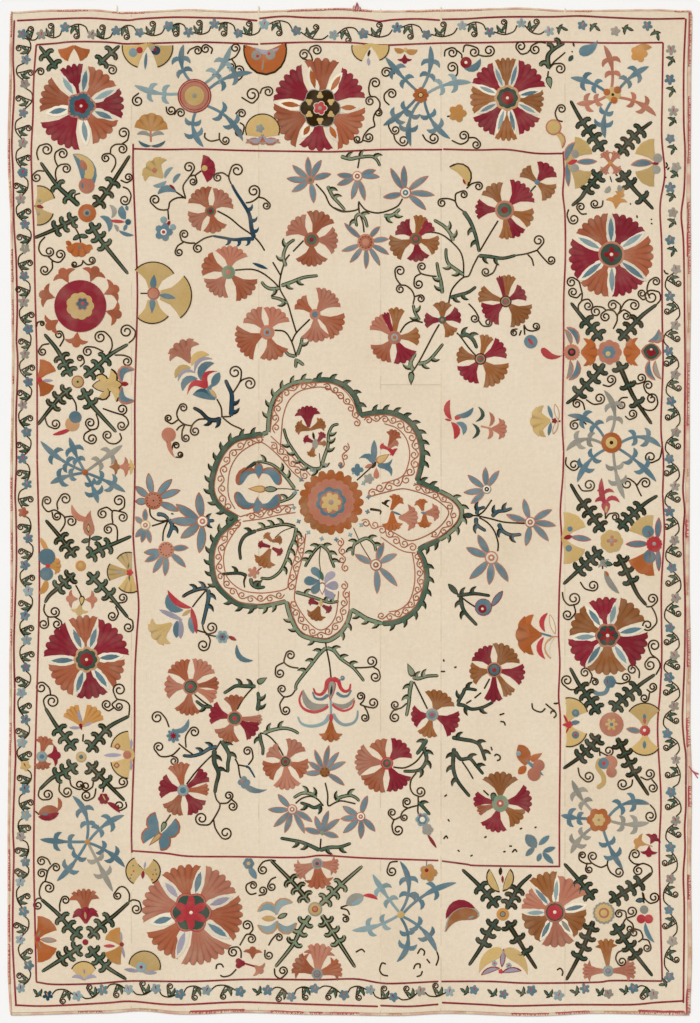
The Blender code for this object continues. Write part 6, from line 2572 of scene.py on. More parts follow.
BORDER_HEARTS = """
x | y | rings | lobes | depth | layer
-51.4 | 108.3 | L1.1
-49.9 | 108.9 | E.8
-46 | 108.8 | T1.1
-46.7 | 109.3 | A.6
-46.2 | 109 | M.45
-22.3 | 107.7 | A1.2
-18.9 | 107.8 | A1.2
-22 | 107.5 | E.4
-19.3 | 108.1 | E.4
-21.4 | 90.4 | L1.1 A.8 | 5 | .3
13 | 109 | Y.5
27.3 | 106 | D1.35 W.4
25.3 | 94 | I2.2 | 5 | .3
48 | 90.7 | P1.9 Y1.7
60.6 | 99 | O.8 |  |  | 6
63.1 | 99.5 | O.85 |  |  | 6
62.3 | 97.1 | O.8 |  |  | 6
62 | 98.4 | K.35 |  |  | 6
68.2 | 108.1 | I2.1 | 5 | .3
-62.3 | 70.4 | O2.15 A.95 Q.5
-62.4 | 76.9 | P1.9
-52.6 | 68.3 | Q.7
-73.6 | 73.3 | A.4
-73.8 | 70.2 | A.4
-63.9 | 48.4 | M6.15
-63.9 | 48.4 | Y3.6 | 9 | .1
-63.4 | 48.9 | P1.85 Q1.55 | 6 | .25
-63.3 | 49 | E.5
-64.5 | 30.5 | R1.5 Y1.35 K.3
-73.6 | 31 | E.7 | 5 | .3
-65.8 | 20.5 | C1.7
-65.1 | 22.1 | U1.5
-63.8 | -13 | I1.25 Y.65
-71.8 | -10.9 | U2
-71.9 | -14.9 | U1.6
-71.6 | -13 | E.6 | 5 | .3
-52.2 | -14.6 | E.85 | 5 | .3
-63.7 | -58.2 | A1.25 Y1.15 Q.55
-73 | -58.1 | A1.3 L1.1 U.6
-52.8 | -57.7 | P1
-55.1 | -55.7 | R.75 Y.4 | 4 | .2
-55.3 | -60.2 | R.75 Y.4 | 4 | .2
-58.4 | -68.1 | M1.35 | 6 | .2
-62.7 | -102 | M.7
-73.9 | -101.3 | E.6 | 5 | .3
-54.1 | -102.5 | M.5
-49.5 | -107.9 | L1.25 M.4
-51.3 | -85.2 | E.2
-51.8 | -86.1 | E.2
-51.4 | -83.9 | U.22
-52.1 | -86.9 | U.22
-46.1 | -84.9 | U.22
-46.7 | -86 | E.2
-45.9 | -85.9 | U.22
-46.9 | -87.2 | E.2
-24.1 | -83.4 | U1.35 Y.5 | 6 | .15
-26.2 | -107 | M1.3 | 3 | .4
-8.4 | -94.2 | A1.7 Y1.5 R.85 P.5
-7.9 | -83.4 | A1.35 U1.1 P.85 Q.5
-7.9 | -109.5 | A1.35 U.95 P.6 U.4
18.4 | -85.6 | A2.2 I2.05 | 5 | .25
18 | -85 | D.5
36 | -95.4 | I1.5 K.75 A.6
35.5 | -108.9 | E.6 | 5 | .3
34 | -107 | L.7 E.3 | 5 | .3
37.4 | -107.5 | L.7 E.3 | 5 | .3
59.9 | -95.1 | A2.65 Y2.35 P1.4 Y.9 | 16 | .1
60.9 | -108.8 | A1.3 L1.1 U.75 P.35
69.4 | -94.3 | A1
68.7 | -96.5 | E1.05
70.5 | -96.5 | E1.05
53.1 | 84.4 | A1
53 | 81 | A1
72.6 | 83.4 | A1.1
72.3 | 80.7 | A1
61.4 | 82.1 | I.55
61.7 | 60.6 | H2.6 |  |  | 5
61.2 | 37.5 | P2.95 | 8 | .12
61.1 | 37.5 | U1.75 | 6 | .2
60.9 | 37.1 | Y.65
52.3 | 37.5 | P1.95 | 18 | .12
52.3 | 37.5 | J1.05 E.5
71.1 | 38.1 | W.35
61.7 | -7.2 | Y2.75 | 7 | .1
61.8 | -7.1 | P1.5 | 4 | .6
61.7 | -7.1 | A.5
51.9 | -4.3 | U.65
51.6 | -8.9 | U.8
70.3 | -4.9 | U1.45
70.7 | -10.9 | U1.5
71.8 | -7.9 | E1.9 | 14 | .1
71.8 | -7.8 | A.5
61.7 | -50.5 | P2.85
61.7 | -50.5 | Y1.7 | 6 | .5
61.7 | -50.5 | U.45
53.2 | -47.8 | U.95 A.4
53.2 | -53 | U.95 Z.4
51.7 | -50.6 | E.9 | 5 | .3
69.6 | -52 | E1.3 | 12 | .15
69.5 | -51.9 | W.4
61.4 | -59.5 | P1.7
61.7 | -61.8 | P1.25
59.9 | -59.7 | U1.35 E.5
61.3 | -40.4 | U1.5 | 6 | .1
"""

BORDER_TENDRILS = """
path | curl
-59.4,106.3 -58,105.6 -56.2,105.3 | -1.1
-75,103.2 -74,104.4 | -.9
-11.5,107 -9.2,106.3 -9.3,107.6 -10,108.6 | 1.2
-9.9,108.6 -9.4,109.6 -8.4,110 | -1.15
-25.8,97.8 -24.4,96.9 -23.2,96.4 -22.2,97.2 | 1.6
-21.4,98.6 -20.9,99.8 -19.8,100.2 | -1.15
-38.6,108 -38,109 -36.6,109.7 | -1
-33,108 -32.7,109.2 -33.6,110 | 1.05
-30.4,106.7 -28.8,106.6 -27.2,107.4 -26.3,108.8 | 1.1
-28.1,106.8 -27.3,105.6 | -.95
-27.1,101.5 -25.8,102.4 -25.3,103.8 | 1.15
-50,98.8 -51.1,98 | 1.3
-43.6,95.6 -43.5,94.6 | 1.1
-41.7,93.6 -41.1,94.6 | -1.05
-27.2,93.8 -26.5,94.6 | -1
-26.2,91.8 -25.2,91 -25.4,89.4 | -1
-31,89.4 -31,87.9 -30.4,87 | 1
-31,87.8 -33,87.4 -34.4,88.2 -34.4,89.4
2.8,87.3 3.2,88.8 4.4,90.3 5.7,91 5.4,92.6 5.8,94 6.8,95.2 6.9,96.6 6,97.8 4.7,98.1 4.3,99.8 4.6,101.4 | \
    -1.25
6.9,95.2 7.3,94.6 | -.85
5.4,97.9 4.6,97.9 | 1.05
3,87.6 4,87.3 | 1.05
2.8,87.3 1.9,87 | -.85
10.4,103.2 10,104.2 8.9,104.7 | 1.15
9.2,95.9 8.1,97 8,98.4 8.9,99.4 | -1.15
9.4,92.4 9,91 9.6,89.6 | 1.05
10.2,89 10.6,87.6 11.6,86.6 | 1.25
17,89 17.8,87.7 19,87 | 1.25
22.2,107.4 22.4,108.8 23.5,109.4 | -1.2
24.9,109 26.2,108 26.3,107
26.6,108.4 27,110 28.4,110 29.6,109.6 | -1.2
30,107.9 31.4,107.5 32.8,107.5 | 1.3
24,102 25.2,103.2 25.3,104.8 | 1.25
23.9,87.6 26,86.7 27.6,87.4 27.9,88.4 | 1.15
27.8,88.2 29.4,88.2 30.4,87.4 | -1.05
50.2,92 49,92.4 48.4,94 48.9,95.4 | -1.05
46.9,104.4 48,106 49.5,107.3 50.8,108.4
47,104.6 48,105.6 49.4,105.8 | -1.25
46.8,104 46.6,102.6
46.2,110.6 44.6,110.8 43.2,110.2 | 1.2
42.6,109.2 41.8,108.3 40.4,108 39.4,109 | -1.2
22.8,93.2 24.3,93.5
-73.8,82.9 -74.2,84.6 -73.6,86.2 -72.3,86.7 | -1.35
-72.4,80.3 -73.9,80.4 -74.9,79.7 | 1.1
-69.5,78 -69.8,79.6 -69.5,81 -68.6,81.8 -67.4,82 | -1.1
-69.2,81.4 -69.9,83 -69.8,84.6 -68.8,85.4 | -1.2
-65,73.4 -65.2,74.6 -63.9,75.1
-56.6,80 -55.6,81.8 -55.7,83.4 -56.8,84.4 -57.9,84.4 | 1
-56.8,84.5 -56.6,85.8 -55.6,86.6 -54,86.7 | -1.15
-54,86.8 -52.8,87.6 -52.4,89 | 1.3
-54.4,78.2 -53,77.6 -52.1,78 | .95
-53.9,76.6 -52.6,76 -51.9,74.6 -52.2,73.2 | -1.2
-72.2,64.8 -73.4,63.4 -73.7,61.8 -72.9,60.5 -71.4,60.2 | 1.1
-71.6,60.2 -70.2,59 -68.8,58.8 -67.8,59.8 | 1.15
-70.6,59.1 -70.5,57.4 -71.4,56.2 | -1.15
-65.1,66.9 -64.2,65.2 -63.8,63.4
-63.2,59.3 -63.6,58.2 -65,57.6 | -.7
-63.2,59 -62.2,58.2 -61,58.4 | .85
-71.2,39.5 -72.8,39.2 -73.6,38.2 | .95
-68.8,38.8 -67.8,40.6 -68,41.8 | .95
-64,34 -63,35 -63.2,36.2 | .75
-57.2,37.2 -56.4,38.6 -56.6,40.6 -58,42.2 -59,42.4 | 1.35
-58.4,37.6 -60.4,38.6 -62,38.8 | 1.15
-52.5,39.6 -51.2,40.8 -50.9,42.4 -51.9,43.5 | 1.5
-55.8,36.8 -53.8,36.8 -52.5,36.4 | -1.15
-74.3,43.4 -74,44.5 -73.1,44.8 | -.55
-66,27 -65,25.4 -64.8,23.6
-71.9,23.6 -72.2,22 -71.6,20.2 -70.3,19.5 | 1.15
-58.6,24.2 -56.4,23.4 -54.4,22.8 | 1.25
-54.2,22.8 -53,22 -52.5,20.6 -53.2,19.5 | -1.1
-60.2,23 -59.6,21 -60,19.5 -61.6,19.2 -62.4,20 | -1.15
-61.2,19.2 -62.8,18.2 -63,16.8 -61.8,16 | 1.2
-54.6,18.4 -54.2,17 -55.4,15.9 -57,16 -58.2,17 | -1.1
-68.7,-5 -67.6,-3.2 -67.6,-1.6 -68.6,-.6 -70,.2 -71.6,-.2 -72.8,1.2 -72.8,2.4 | -1.05
-69.2,.2 -69.4,1.8 -68.6,3.4 | -1.3
-70.6,-.2 -70.4,-1.4 | 1
-67.6,-1.5 -66.2,-1.3 | -1.2
-55.2,-7.2 -55.1,-5 -55.5,-3.6 -56.6,-3.1 -57.6,-3.4 | 1.05
-56.2,-3 -56.4,-1.2 -56.2,0 -54.8,-.1 -53.6,-.4 | -1.15
-54.8,0 -53.6,.8 -53.4,2.2 | 1.35
-56.2,-.2 -57.6,.8 -59,.4 | 1.15
-61.6,-5.6 -62,-9.4
-65,-17.6 -64,-19.4 -63.5,-20.6
-72.3,-22 -72.5,-23.6 -71.6,-25 -70,-25.1 | 1.2
-71.6,-25.2 -71.4,-26.6 | -1.15
-70,-25.1 -68.8,-25.8 | -1.15
-57,-21.4 -55.4,-21.8 -53.8,-21.7 | 1.1
-55.6,-22.6 -54.9,-24.2 -55.3,-25.3 | -1.1
-52.6,-25.4 -51.6,-26 -51.4,-27.4 | -1.15
-63.2,-52.8 -63.3,-54.6
-73.6,-66 -73.8,-67.4 -72.9,-68.3 -71.6,-68.3 | 1.2
-68.8,-64.6 -68.9,-66.2 -68,-67.3 | 1.25
-66.4,-63.4 -66,-65 -64.6,-65.8 | 1.1
-60.8,-63.6 -61,-65.2 -62,-66 | -1.05
-60.2,-65.6 -60.6,-67.6 -61.8,-68.4 | -1.2
-57,-65.4 -55,-65.6 -53.6,-65.3 | 1.2
-53.2,-68.8 -53,-70 -54,-70.7 | -1.15
-58.2,-65.2 -58.6,-66.6
-74.6,-71 -73.6,-71.9
-73.1,-91.8 -73.6,-90.6 -73.3,-88.8 -72.4,-87.7 -71,-88 | -1.2
-72.2,-87.6 -71.8,-86 -71.4,-84.8 -70.4,-83.7 | -1
-71.9,-86.6 -71.8,-85.2 -72.6,-84.8 | 1
-70.9,-83.7 -71.6,-82.4 -72.6,-81.9 | 1.05
-73.2,-91.6 -74.2,-91.8 -74.8,-92.8 | 1
-68.7,-94.8 -68.8,-93.2 -68.4,-91.8 | -1
-52.4,-92.6 -52.3,-90.6 -53.3,-89.1 -54.6,-89 -55.8,-90.4 | .95
-52.2,-92.4 -51.4,-92 -50,-92.4 -49.5,-93.8 | -1.2
-22.2,-90.4 -23.6,-90.7 -24.6,-89.8 -24.6,-88.5 -23.5,-87.8 | -.9
-21.8,-91 -20.6,-90.8 | 1
-17.6,-86.6 -18.8,-87.2 -19.5,-88.4 | 1
-17.6,-82.8 -19,-82.6 -20.6,-83 -21.6,-84.2 | 1.1
-20.2,-103.8 -20.3,-105 | 1
-19.4,-102.8 -18.6,-101.4 -17.6,-100.3 | -.9
-18,-108.2 -17.8,-109.8 -16.6,-110.6 -15.3,-109.6 | 1.05
-26.2,-102.8 -25.4,-101.4 -24.6,-100.2 -23.4,-100.2 | -1.05
-24,-100.2 -23.1,-99 -23.3,-97.8 | 1.15
-25.9,-105.8 -25.9,-104.2 -26.6,-103.2 -27.8,-103.2 | 1.15
-27,-108.4 -28.4,-109.8 -30,-110.2 -30.8,-109.8
-31.8,-108.4 -31.6,-107.4 -30.6,-107.2 -30,-108
11.2,-82.9 9.4,-83.2 8.7,-84.8 | 1.15
-.6,-93.2 -2.4,-93.8
-2.4,-94 -.8,-94.4 -.2,-95.6
-1.9,-95.4 -.9,-95.8 | -.8
20.4,-104.2 20.8,-105.8 20.2,-107.6
1.2,-104.4 2.6,-103.7 3.4,-104.4
8.4,-107.2 7.4,-107 6.9,-108.6 7.6,-109.7 8.9,-110
15.8,-104.8 16.6,-103.6 17.5,-104.2 17.3,-105.2
18,-106 18.8,-107
14.9,-108.4 15.4,-107.3 16.4,-107.2 16.4,-108.2
15.6,-110.2 16.6,-109.8 17,-108.8
69.2,-90.4 69.6,-91.8 70.8,-92.8 72,-92.6 | 1.2
71.4,-85.6 71,-84.2 69.2,-83.4 67.6,-84 | 1.15
68.4,-83.6 67,-83.4 65.9,-82.2 66.2,-80.9 | -1.15
61.2,-81.8 60.7,-83.6 61.4,-85.4 62.8,-86.4 | 1.15
60.8,-83.6 59.2,-84.3 57.2,-83.4 56.4,-82.4 | -1.1
57,-83.4 55.6,-83.4 54.2,-82.6 54,-81.6 | -.85
56,-83.2 55.6,-84.6 | .85
64.4,-97.6 65.2,-96.4 66.8,-95.9 | 1.2
65.2,-96.2 65,-94.8 63.8,-94.4 | .95
65.4,-96.6 66.6,-97.6 66.9,-98.6 | -.85
68,-102 69.1,-101 68.6,-99.4 67.4,-98.9 | .95
69,-101.3 70.4,-101.6 71,-103 | -.95
65,-103.8 63.3,-104.4 62.7,-105.8 63.2,-107 | 1.05
69,-90.2 69.4,-92.8
48.8,-108.6 49.6,-108.2 50.2,-109 50,-110
59.7,73.4 59.4,72 58,71.6 | -1
55.9,70.2 54.6,70.2 53.7,71.2 | -1
51.6,71.3 51.2,70 51.6,68.6 | 1.2
72.4,48.8 73.3,50 73,51.6 71.6,52.1 | 1.6
70.5,50.8 70.1,52.4 70.6,54.2 71.6,55 | -1
70.1,50.4 69.2,49.9 68.3,50.6 | -.95
53.9,47.4 53.9,48.6 54.8,49.7 56.2,50 57,49.2 | -1.1
54.6,49.6 54.8,51.2 54.4,52.8 54,54.2 52.9,55 | 1.15
54.5,51.4 53.6,50.4 52.4,50.6 | -1.1
62.1,43 63,44.8 63.1,46.2 63.8,47.4 64.6,49 65.8,49.9 67.2,49.8 | -1.2
63.1,46 62.3,47.2 60.8,47.5 59.7,46.9 | 1.15
60.4,47.4 59.6,48.1 58.2,48.3 | 1.2
63.7,47.2 63.8,48.6 62.8,49.5 | 1.2
63.4,46.6 64.6,47.5 65.7,47 | -1
66,30.6 67.6,30 69,30.3 | 1.1
68.7,24.6 70,23.8 71.6,23.9 72.6,25.2 72.5,26.6 | 1.25
71.5,27.1 70,28 69.4,29.2 | -1.1
55.7,26.3 57.4,25.2 59,25.3 | 1.25
59.6,29.8 61.1,29.4 62.2,30 | 1.15
55.4,23.8 55,25.4 54.2,26.1 | 1.05
65.6,26.8 64.2,26.7 63.3,25.8 | 1.05
64.9,22.4 65.9,21.6 67,21.9 | 1.05
55.8,20.4 54.4,21.5 52.8,21.3 | 1.1
73.7,16.4 73.6,14.6 73.1,12.4 71.6,11.5 | -1.35
51,12.7 50.9,11 51.9,9.9 | 1.3
53.8,6.2 54.8,4.8 56.4,4.7 | 1.35
68.8,3.4 68,5 67.4,6.4 66.2,7.4 | 1.3
67.7,6 68.7,7.3 | -1.25
60.3,-1.9 61.1,-.8 62.4,-.5 | -.95
54.3,-16.8 55.4,-18.4 57,-18.9 | 1.25
50.1,-19.2 50.4,-21 51.6,-22.3 53,-22.2 | 1.45
52.8,-22.3 53.2,-24 52.3,-25.3 | -1.2
69.9,-22.7 71.2,-22.6 72.2,-21.8 | 1.25
71.2,-22.8 72.1,-24.4 72.4,-26.4 71.2,-27.9 | -1.3
72.2,-38.8 73.2,-36.8 72.7,-35.2 71.2,-34 70.5,-32.4 | -1.4
72.2,-34.7 70.8,-34.7 69.9,-35.6 | 1.25
53.8,-42.1 52,-42.3 50.4,-41.2 | -1.3
56.6,-40.8 57.1,-39 56.4,-37.7 | 1.1
56.9,-39.4 58,-39.7 | -.8
62.3,-40.6 64,-40.9 65.4,-40.5 | 1.1
68.2,-39.6 68.3,-38 67.6,-36.9 | 1.15
70,-42.2 71,-42.9 71.9,-42.5 | .95
70.7,-43 70.5,-44.4 | -1
59,-57 60.5,-57.8 | 1.15
53.8,-60.7 54.2,-62.6 55.4,-63.8 | 1.3
66.7,-63.5 66.4,-65 65,-65.8 | -1.3
68.5,-62.9 70,-63.6 71.1,-63.3 | 1.15
71.2,-63.5 72.3,-64.8 | -1.1
70.8,-69.5 71.8,-70.6 72.2,-71.8 | -1.35
-72.1,-46.8 -72.6,-44.9 -71.7,-43.7 -70.6,-43.6 | -1.45
-70.9,-43.7 -71.2,-42 -72.2,-40.9 | 1.3
-52.4,-48.4 -52.3,-46 -53.4,-44.9 -55.2,-44.5 -56,-43 | -1.5
-55.2,-44.7 -56.4,-45.8 -55.5,-46.9 | .95
-56,-46.6 -57.2,-47.3 -58.2,-46.8 | -1.1
"""

BORDER_SCRAPS = """
path | thread | width
-25.2,-107 -22.4,-107.8 | M | .4
17.9,-84.4 18,-82.8 | U | .25
-54.6,29.9 -52.9,29.7 | M | .3
-50.6,-83.4 -49,-85
-47.4,-84.6 -49,-85
-74.8,72.1 -73.8,71.9
61,-41.6 60.2,-43 58.6,-43.3 57.4,-42.7 | U | 1
59,-58.6 58.4,-60.6 59.7,-62.6 59.8,-64.4 58.3,-65.6 | Y | 1.1
-47.3,90.2 -47.2,87.2 | P | .5
69.2,-78.6 71.4,-79.4 | C | .3
60.2,-.2 60.3,-2
59.6,-12 59.6,-13.8
58.8,-56 59,-58
"""

# The guard border, from each corner on round the cloth
GUARD_BLOOMS = """
x | y | fill | eye | bow
-77.5 | 80 | U | E | 1.2
-78 | 73.7 | A | E | -1.2
-77 | 67.7 | U | E | 1.2
-77 | 62 | A | Y | -1.2
-77.2 | 55.5 | U | E | 1.2
-77.3 | 49.4 | A | E | -1.2
-76.2 | 43 | U | E | .8
-77 | 37 | A | E | -1.3
-76.2 | 30.5 | U | E | 1.1
-77.5 | 25 | A | E | -1.1
-76.6 | 18.6 | U | P | 1.2
-77.6 | 12.3 | U | E | 1
-76.5 | 6.3 | U | P | -1.3
-77.4 | -.4 | R | E | 1
-76.2 | -6.5 | U | E | 1.2
-77 | -12.8 | U | M | -1.2
-76.2 | -19 | L | E | 1.1
-77 | -24.8 | U | M | -1.1
-76.6 | -30.6 | L | P | -1.2
-76.8 | -37 | U | E | 1.3
-77.8 | -43 | L | P | -1
-76.9 | -49.4 | U | M | 1.1
-77.7 | -54.8 | L | P | -1.2
-76.9 | -60.3 | Y | M | 1.2
-77 | -65.8 | U | M | -1.2
-76.8 | -72 | L | I | -1
-78 | -77 | A | M | 1.1
-76.9 | -83 | U | I | 1.1
-78.1 | -87.7 | L | M | -1
-77.3 | -94.8 | U | C | 1.3
-78.1 | -101.4 | L | M | -1
-76.1 | -107.5 | U | Y | 1
-78 | -112.9 | L | M | 0
-71.6 | -114.6 | T | I | 1.2
-64.6 | -114.7 | L | M | -1
-58.6 | -113.3 | U | I | 1.1
-52.5 | -113.2 | L | E | -1.1
-46 | -113 | L | M | -1.1
-40.3 | -114.3 | U | I | 1.2
-34 | -113.4 | L | M | 1.1
-26.1 | -113.7 | U | I | 0
-19.6 | -113.4 | U | P | 1.1
-14 | -114.9 | U | P | 1.1
-8.5 | -113 | U | P | 1
-1.5 | -114.5 | U | O | 1.2
4.6 | -113.3 | L | P | -1
10.2 | -115 | U | M | -1
16.6 | -113.6 | A | E | -1
23.4 | -113.7 | L | E | 0
29.2 | -113.3 | U | E | 0
36.2 | -114.3 | U | E | 0
42.8 | -113.4 | U | E | 0
49.2 | -114.6 | L | E | 0
55.4 | -113 | U | P | 0
61 | -114.2 | A | E | 0
66.9 | -112.9 | U | P | 1
71.6 | -114.4 | A | E | 0
75.4 | -110.2 | U | P | 1.2
76.1 | -101.8 | A | E | -1.2
75.3 | -94.4 | U | P | 1.2
75.7 | -87 | A | E | -1.3
75.6 | -79.6 | U | P | 1.3
76.9 | -73.3 | A | E | -1.4
75.8 | -66.5 | U | P | -1.3
76.9 | -58.8 | A | E | -1.4
74.9 | -52.7 | U | P | 1.3
76.5 | -46.2 | A | E | -1.5
75.3 | -39.4 | U | P | 1.4
76.6 | -34.2 | A | E | -1.3
75.5 | -27.7 | U | E | 1.5
76.9 | -20.6 | A | E | -1.3
76 | -13.5 | U | E | 1.4
76.6 | -7 | A | E | -1.3
75.4 | -.2 | U | E | 1.3
76.7 | 5.8 | A | E | -1.3
75.4 | 12.3 | U | P | 1.3
76.9 | 18.6 | A | E | -1.2
75.8 | 25.9 | U | P | 1.3
76.8 | 32.2 | A | E | -1.2
75.2 | 37.8 | U | P | 1.5
76.8 | 43.9 | A | E | -1.3
75.5 | 50.7 | U | P | 1.4
77 | 57.1 | A | E | 0
75.6 | 64 | U | P | 0
76.2 | 70.5 | A | P | 0
75.6 | 76.4 | U | P | 0
77 | 81.3 | A | P | 0
75.6 | 88 | U | P | 0
76.3 | 94.5 | A | E | 0
75.5 | 102 | U | P | 0
75.8 | 109 | A | E | 0
70.2 | 114.7 | U | P | 0
62.6 | 113.4 | A | P | 0
54.8 | 114.8 | U | P | 0
47 | 113.4 | L | E | 1.2
40.4 | 115.3 | L | P | 1.3
32.9 | 113.2 | U | E | -1.3
26.4 | 114.7 | L | P | 1.2
18 | 112.6 | U | O | -1.3
11 | 114.2 | U | M | 1.2
3 | 112.8 | U | O | -1.3
-4 | 112.5 | L | P | 1.2
-12.8 | 113.5 | U | O | -1.3
-20.4 | 115 | L | E | 1.2
-26.5 | 112.9 | U | P | -1.2
-32.2 | 115.1 | U | P | 1.2
-38.3 | 113.2 | U | P | -1.1
-43 | 114.6 | U | P | 1.2
-49.9 | 113.1 | U | P | -1.2
-55.4 | 113.5 | U | P | 1.2
-61.2 | 112.6 | A | M | -1.3
-67.5 | 114.3 | U | P | 1.3
-73.1 | 112.6 | A | E | 1.1
-77.6 | 112.7 | U | E | 1.3
-76.8 | 106.7 | U | M | -1.7
-77 | 100.9 | A | E | 1.6
-77.4 | 94.1 | U | E | -1.5
-77.5 | 87 | A | E | -1.3
-77.5 | 80 | U | E | 0
"""


# What is left of worn branches in the field, low on the right, and of the top right corner
WORN_BITS = """
path | thread | width
22,-35.1 22.1,-35.7
24.5,-37.1 25.1,-36.9
21.3,-38 22.4,-38
35.2,-48.3 36.4,-47.9
35.4,-49.8 36.3,-50 36.6,-50.8
42.9,-45.5 43.2,-46.9 45,-47.6 46.1,-46.7
46.1,-45.6 47.4,-46.7 48.4,-47.4
48.4,-45.7 49.3,-45.4
47.3,-48 47.6,-47.4 48.4,-47.6 48.6,-48.4 48,-49
33.2,-55.8 33.5,-56.7
34,-58 34.5,-57.6 35.3,-58 35.3,-58.8 34.6,-59.1
22.2,-67.6 22.8,-67.1
23,-72.9 23.4,-73.5
22,-77.6 22.6,-76.9 23,-77.5
31.6,-77.3 32.2,-77
37.5,-79.3 38.2,-79.3
36.1,-80.7 36.7,-80.5
38.2,-80.8 38.9,-80.1 39.4,-80.7
40,-75.3 40.6,-75
43.5,-75 44,-74.7
25.3,-80.2 25.8,-80.6
28.3,-81.7 28.9,-81.4
62.7,79.5 63.2,79.2
62.6,78.4 63.1,78.2
66.1,72.7 66.3,72.4
67.1,76.6 67.3,76.2
67.7,69.9 67.8,69.2
71,69 71.3,68.8
71,68 71.4,67.8
74.6,82.4 74.9,81.7 74.6,81
75.4,81.2 74.9,80.6
74.3,79 74.7,78.7
74.1,56.9 74.5,56.2 75.2,56
75.2,55.5 74.8,54.8
50.9,-45.6 51.9,-45.4
48,-45.6 49,-45.5
52.3,108.7 52.5,108.4
"""

# The folded ribbon's edge, where its red and yellow stripes show: which side, and where it starts and ends
BINDING_STRIPES = """
side | start | end | thread | width | inset
top | -69.5 | -62 | Z | .3
top | -56.5 | -48.8 | Z | .3
top | -40 | -35 | F | .5
top | -15 | 5 | Z | .35
top | 13 | 31 | P | .3
top | 53 | 57 | P | .3
top | 76.5 | 79 | Z | .3
bottom | -64.5 | -58.8 | Z | .44
bottom | -50 | -45.5 | C | .4
bottom | -38 | -25 | Z | .88
bottom | -19 | -11 | Z | .62
bottom | -9.8 | -6.5 | Z | .62
bottom | -5 | 2 | Z | .56
bottom | 9 | 12 | C | .5
bottom | 25.3 | 27.2 | Y | .4
bottom | 38 | 47 | Z | .62
bottom | 48.4 | 56.5 | Z | .62
bottom | 60 | 68 | C | .6
bottom | 68 | 79 | Z | 1.1
left | 112 | 118 | Z | .4
left | 97 | 102 | C | .4
left | 80 | 88 | Z | .4
left | 72 | 78 | C | .4
left | 54 | 62 | Z | .46
left | 44 | 50 | Z | .4
left | 30 | 32 | Z | .4
left | 12 | 22 | C | .4
left | 0 | 8 | Z | .46
left | -12 | -5 | Z | .4
left | -25 | -18 | Z | .46
left | -32 | -28 | Z | .4
left | -44 | -42 | Y | .35
left | -58 | -50 | Z | .46
left | -90 | -80 | Z | .52
left | -102 | -93 | Z | .46
left | -112 | -102.5 | Z | .52
right | 105 | 118 | Z | .65
right | 82 | 98 | Z | .58
right | 66 | 73 | Z | .72
right | 60 | 66 | Z | 1.01
right | 56 | 60 | Z | .58
right | 42 | 47 | C | .45
right | 20 | 35 | Z | .58
right | 8 | 10 | C | .5
right | -6.5 | -2 | Z | 1.01
right | -20 | -17 | C | .5
right | -37 | -28 | Z | .87
right | -41 | -37 | C | .6
right | -56 | -49 | Z | 1.01
right | -70 | -65 | Z | .87
right | -82.5 | -80 | Y | .35
right | -92 | -86 | Z | .87
right | -105 | -103 | Y | .35
right | -119 | -113 | Z | 1.1
"""

# Ends of silk that stand out past the edge
LOOSE_ENDS = """
path | thread | width
1.1,118 1.2,118.9 1.6,120.2 | Z | .3
1.5,118 1.8,119 1.7,119.8 | Z | .25
.7,118 .6,118.9 .9,119.5 | P | .2
2.1,118 2.3,118.7 2.2,119.2 | Z | .2
80,-60.4 80.7,-61.4 81.6,-62 82.3,-62.2 | Z | .3
80.7,-61.3 81.4,-62.2 82.1,-63.2 | Z | .25
-55.3,118 -55.2,118.9 -55.3,119.6 | F | .14
"""


@dataclass(frozen=True)
class Stripe:
    """A stripe of the ribbon's dye along the fold at the cloth's edge, with threads that have worn loose."""

    side: str
    start: float
    end: float
    thread: Thread
    width: float
    inset: float = 0.28
    strand: float = 0.16
    wander: float = 0.07

    def sew(self, work: Needlework) -> None:
        """Lay it along the fold."""
        edge, sign = EDGES[self.side], OUTWARD[self.side]
        count = max(2, ceil((self.end - self.start) / 1.2))
        along = np.linspace(self.start, self.end, count + 1)
        out = sign * (out_at(edge, along * MM_PER_CM) / MM_PER_CM - self.inset - self.width / 2)
        out = out + np.array([work.chance.uniform(-self.wander, self.wander) for _ in along])
        upright = self.side in UPRIGHT
        points = list(zip(out, along)) if upright else list(zip(along, out))
        work.stroke(self.thread, points, self.width, root=0.4, tip=0.4)
        strands = max(2, round((self.end - self.start) / 0.5))
        for spot in np.linspace(self.start + 0.2, self.end - 0.2, strands):
            across = float(np.interp(spot, along, out))
            place = (across, spot) if upright else (spot, across)
            reach = work.chance.uniform(0.3, 0.75) * self.width + 0.1
            slip = work.chance.uniform(-0.35, 0.35)
            ravel = (sign * reach, slip) if upright else (slip, sign * reach)
            far = (place[0] + ravel[0], place[1] + ravel[1])
            work.stroke(self.thread, [place, far], self.strand)


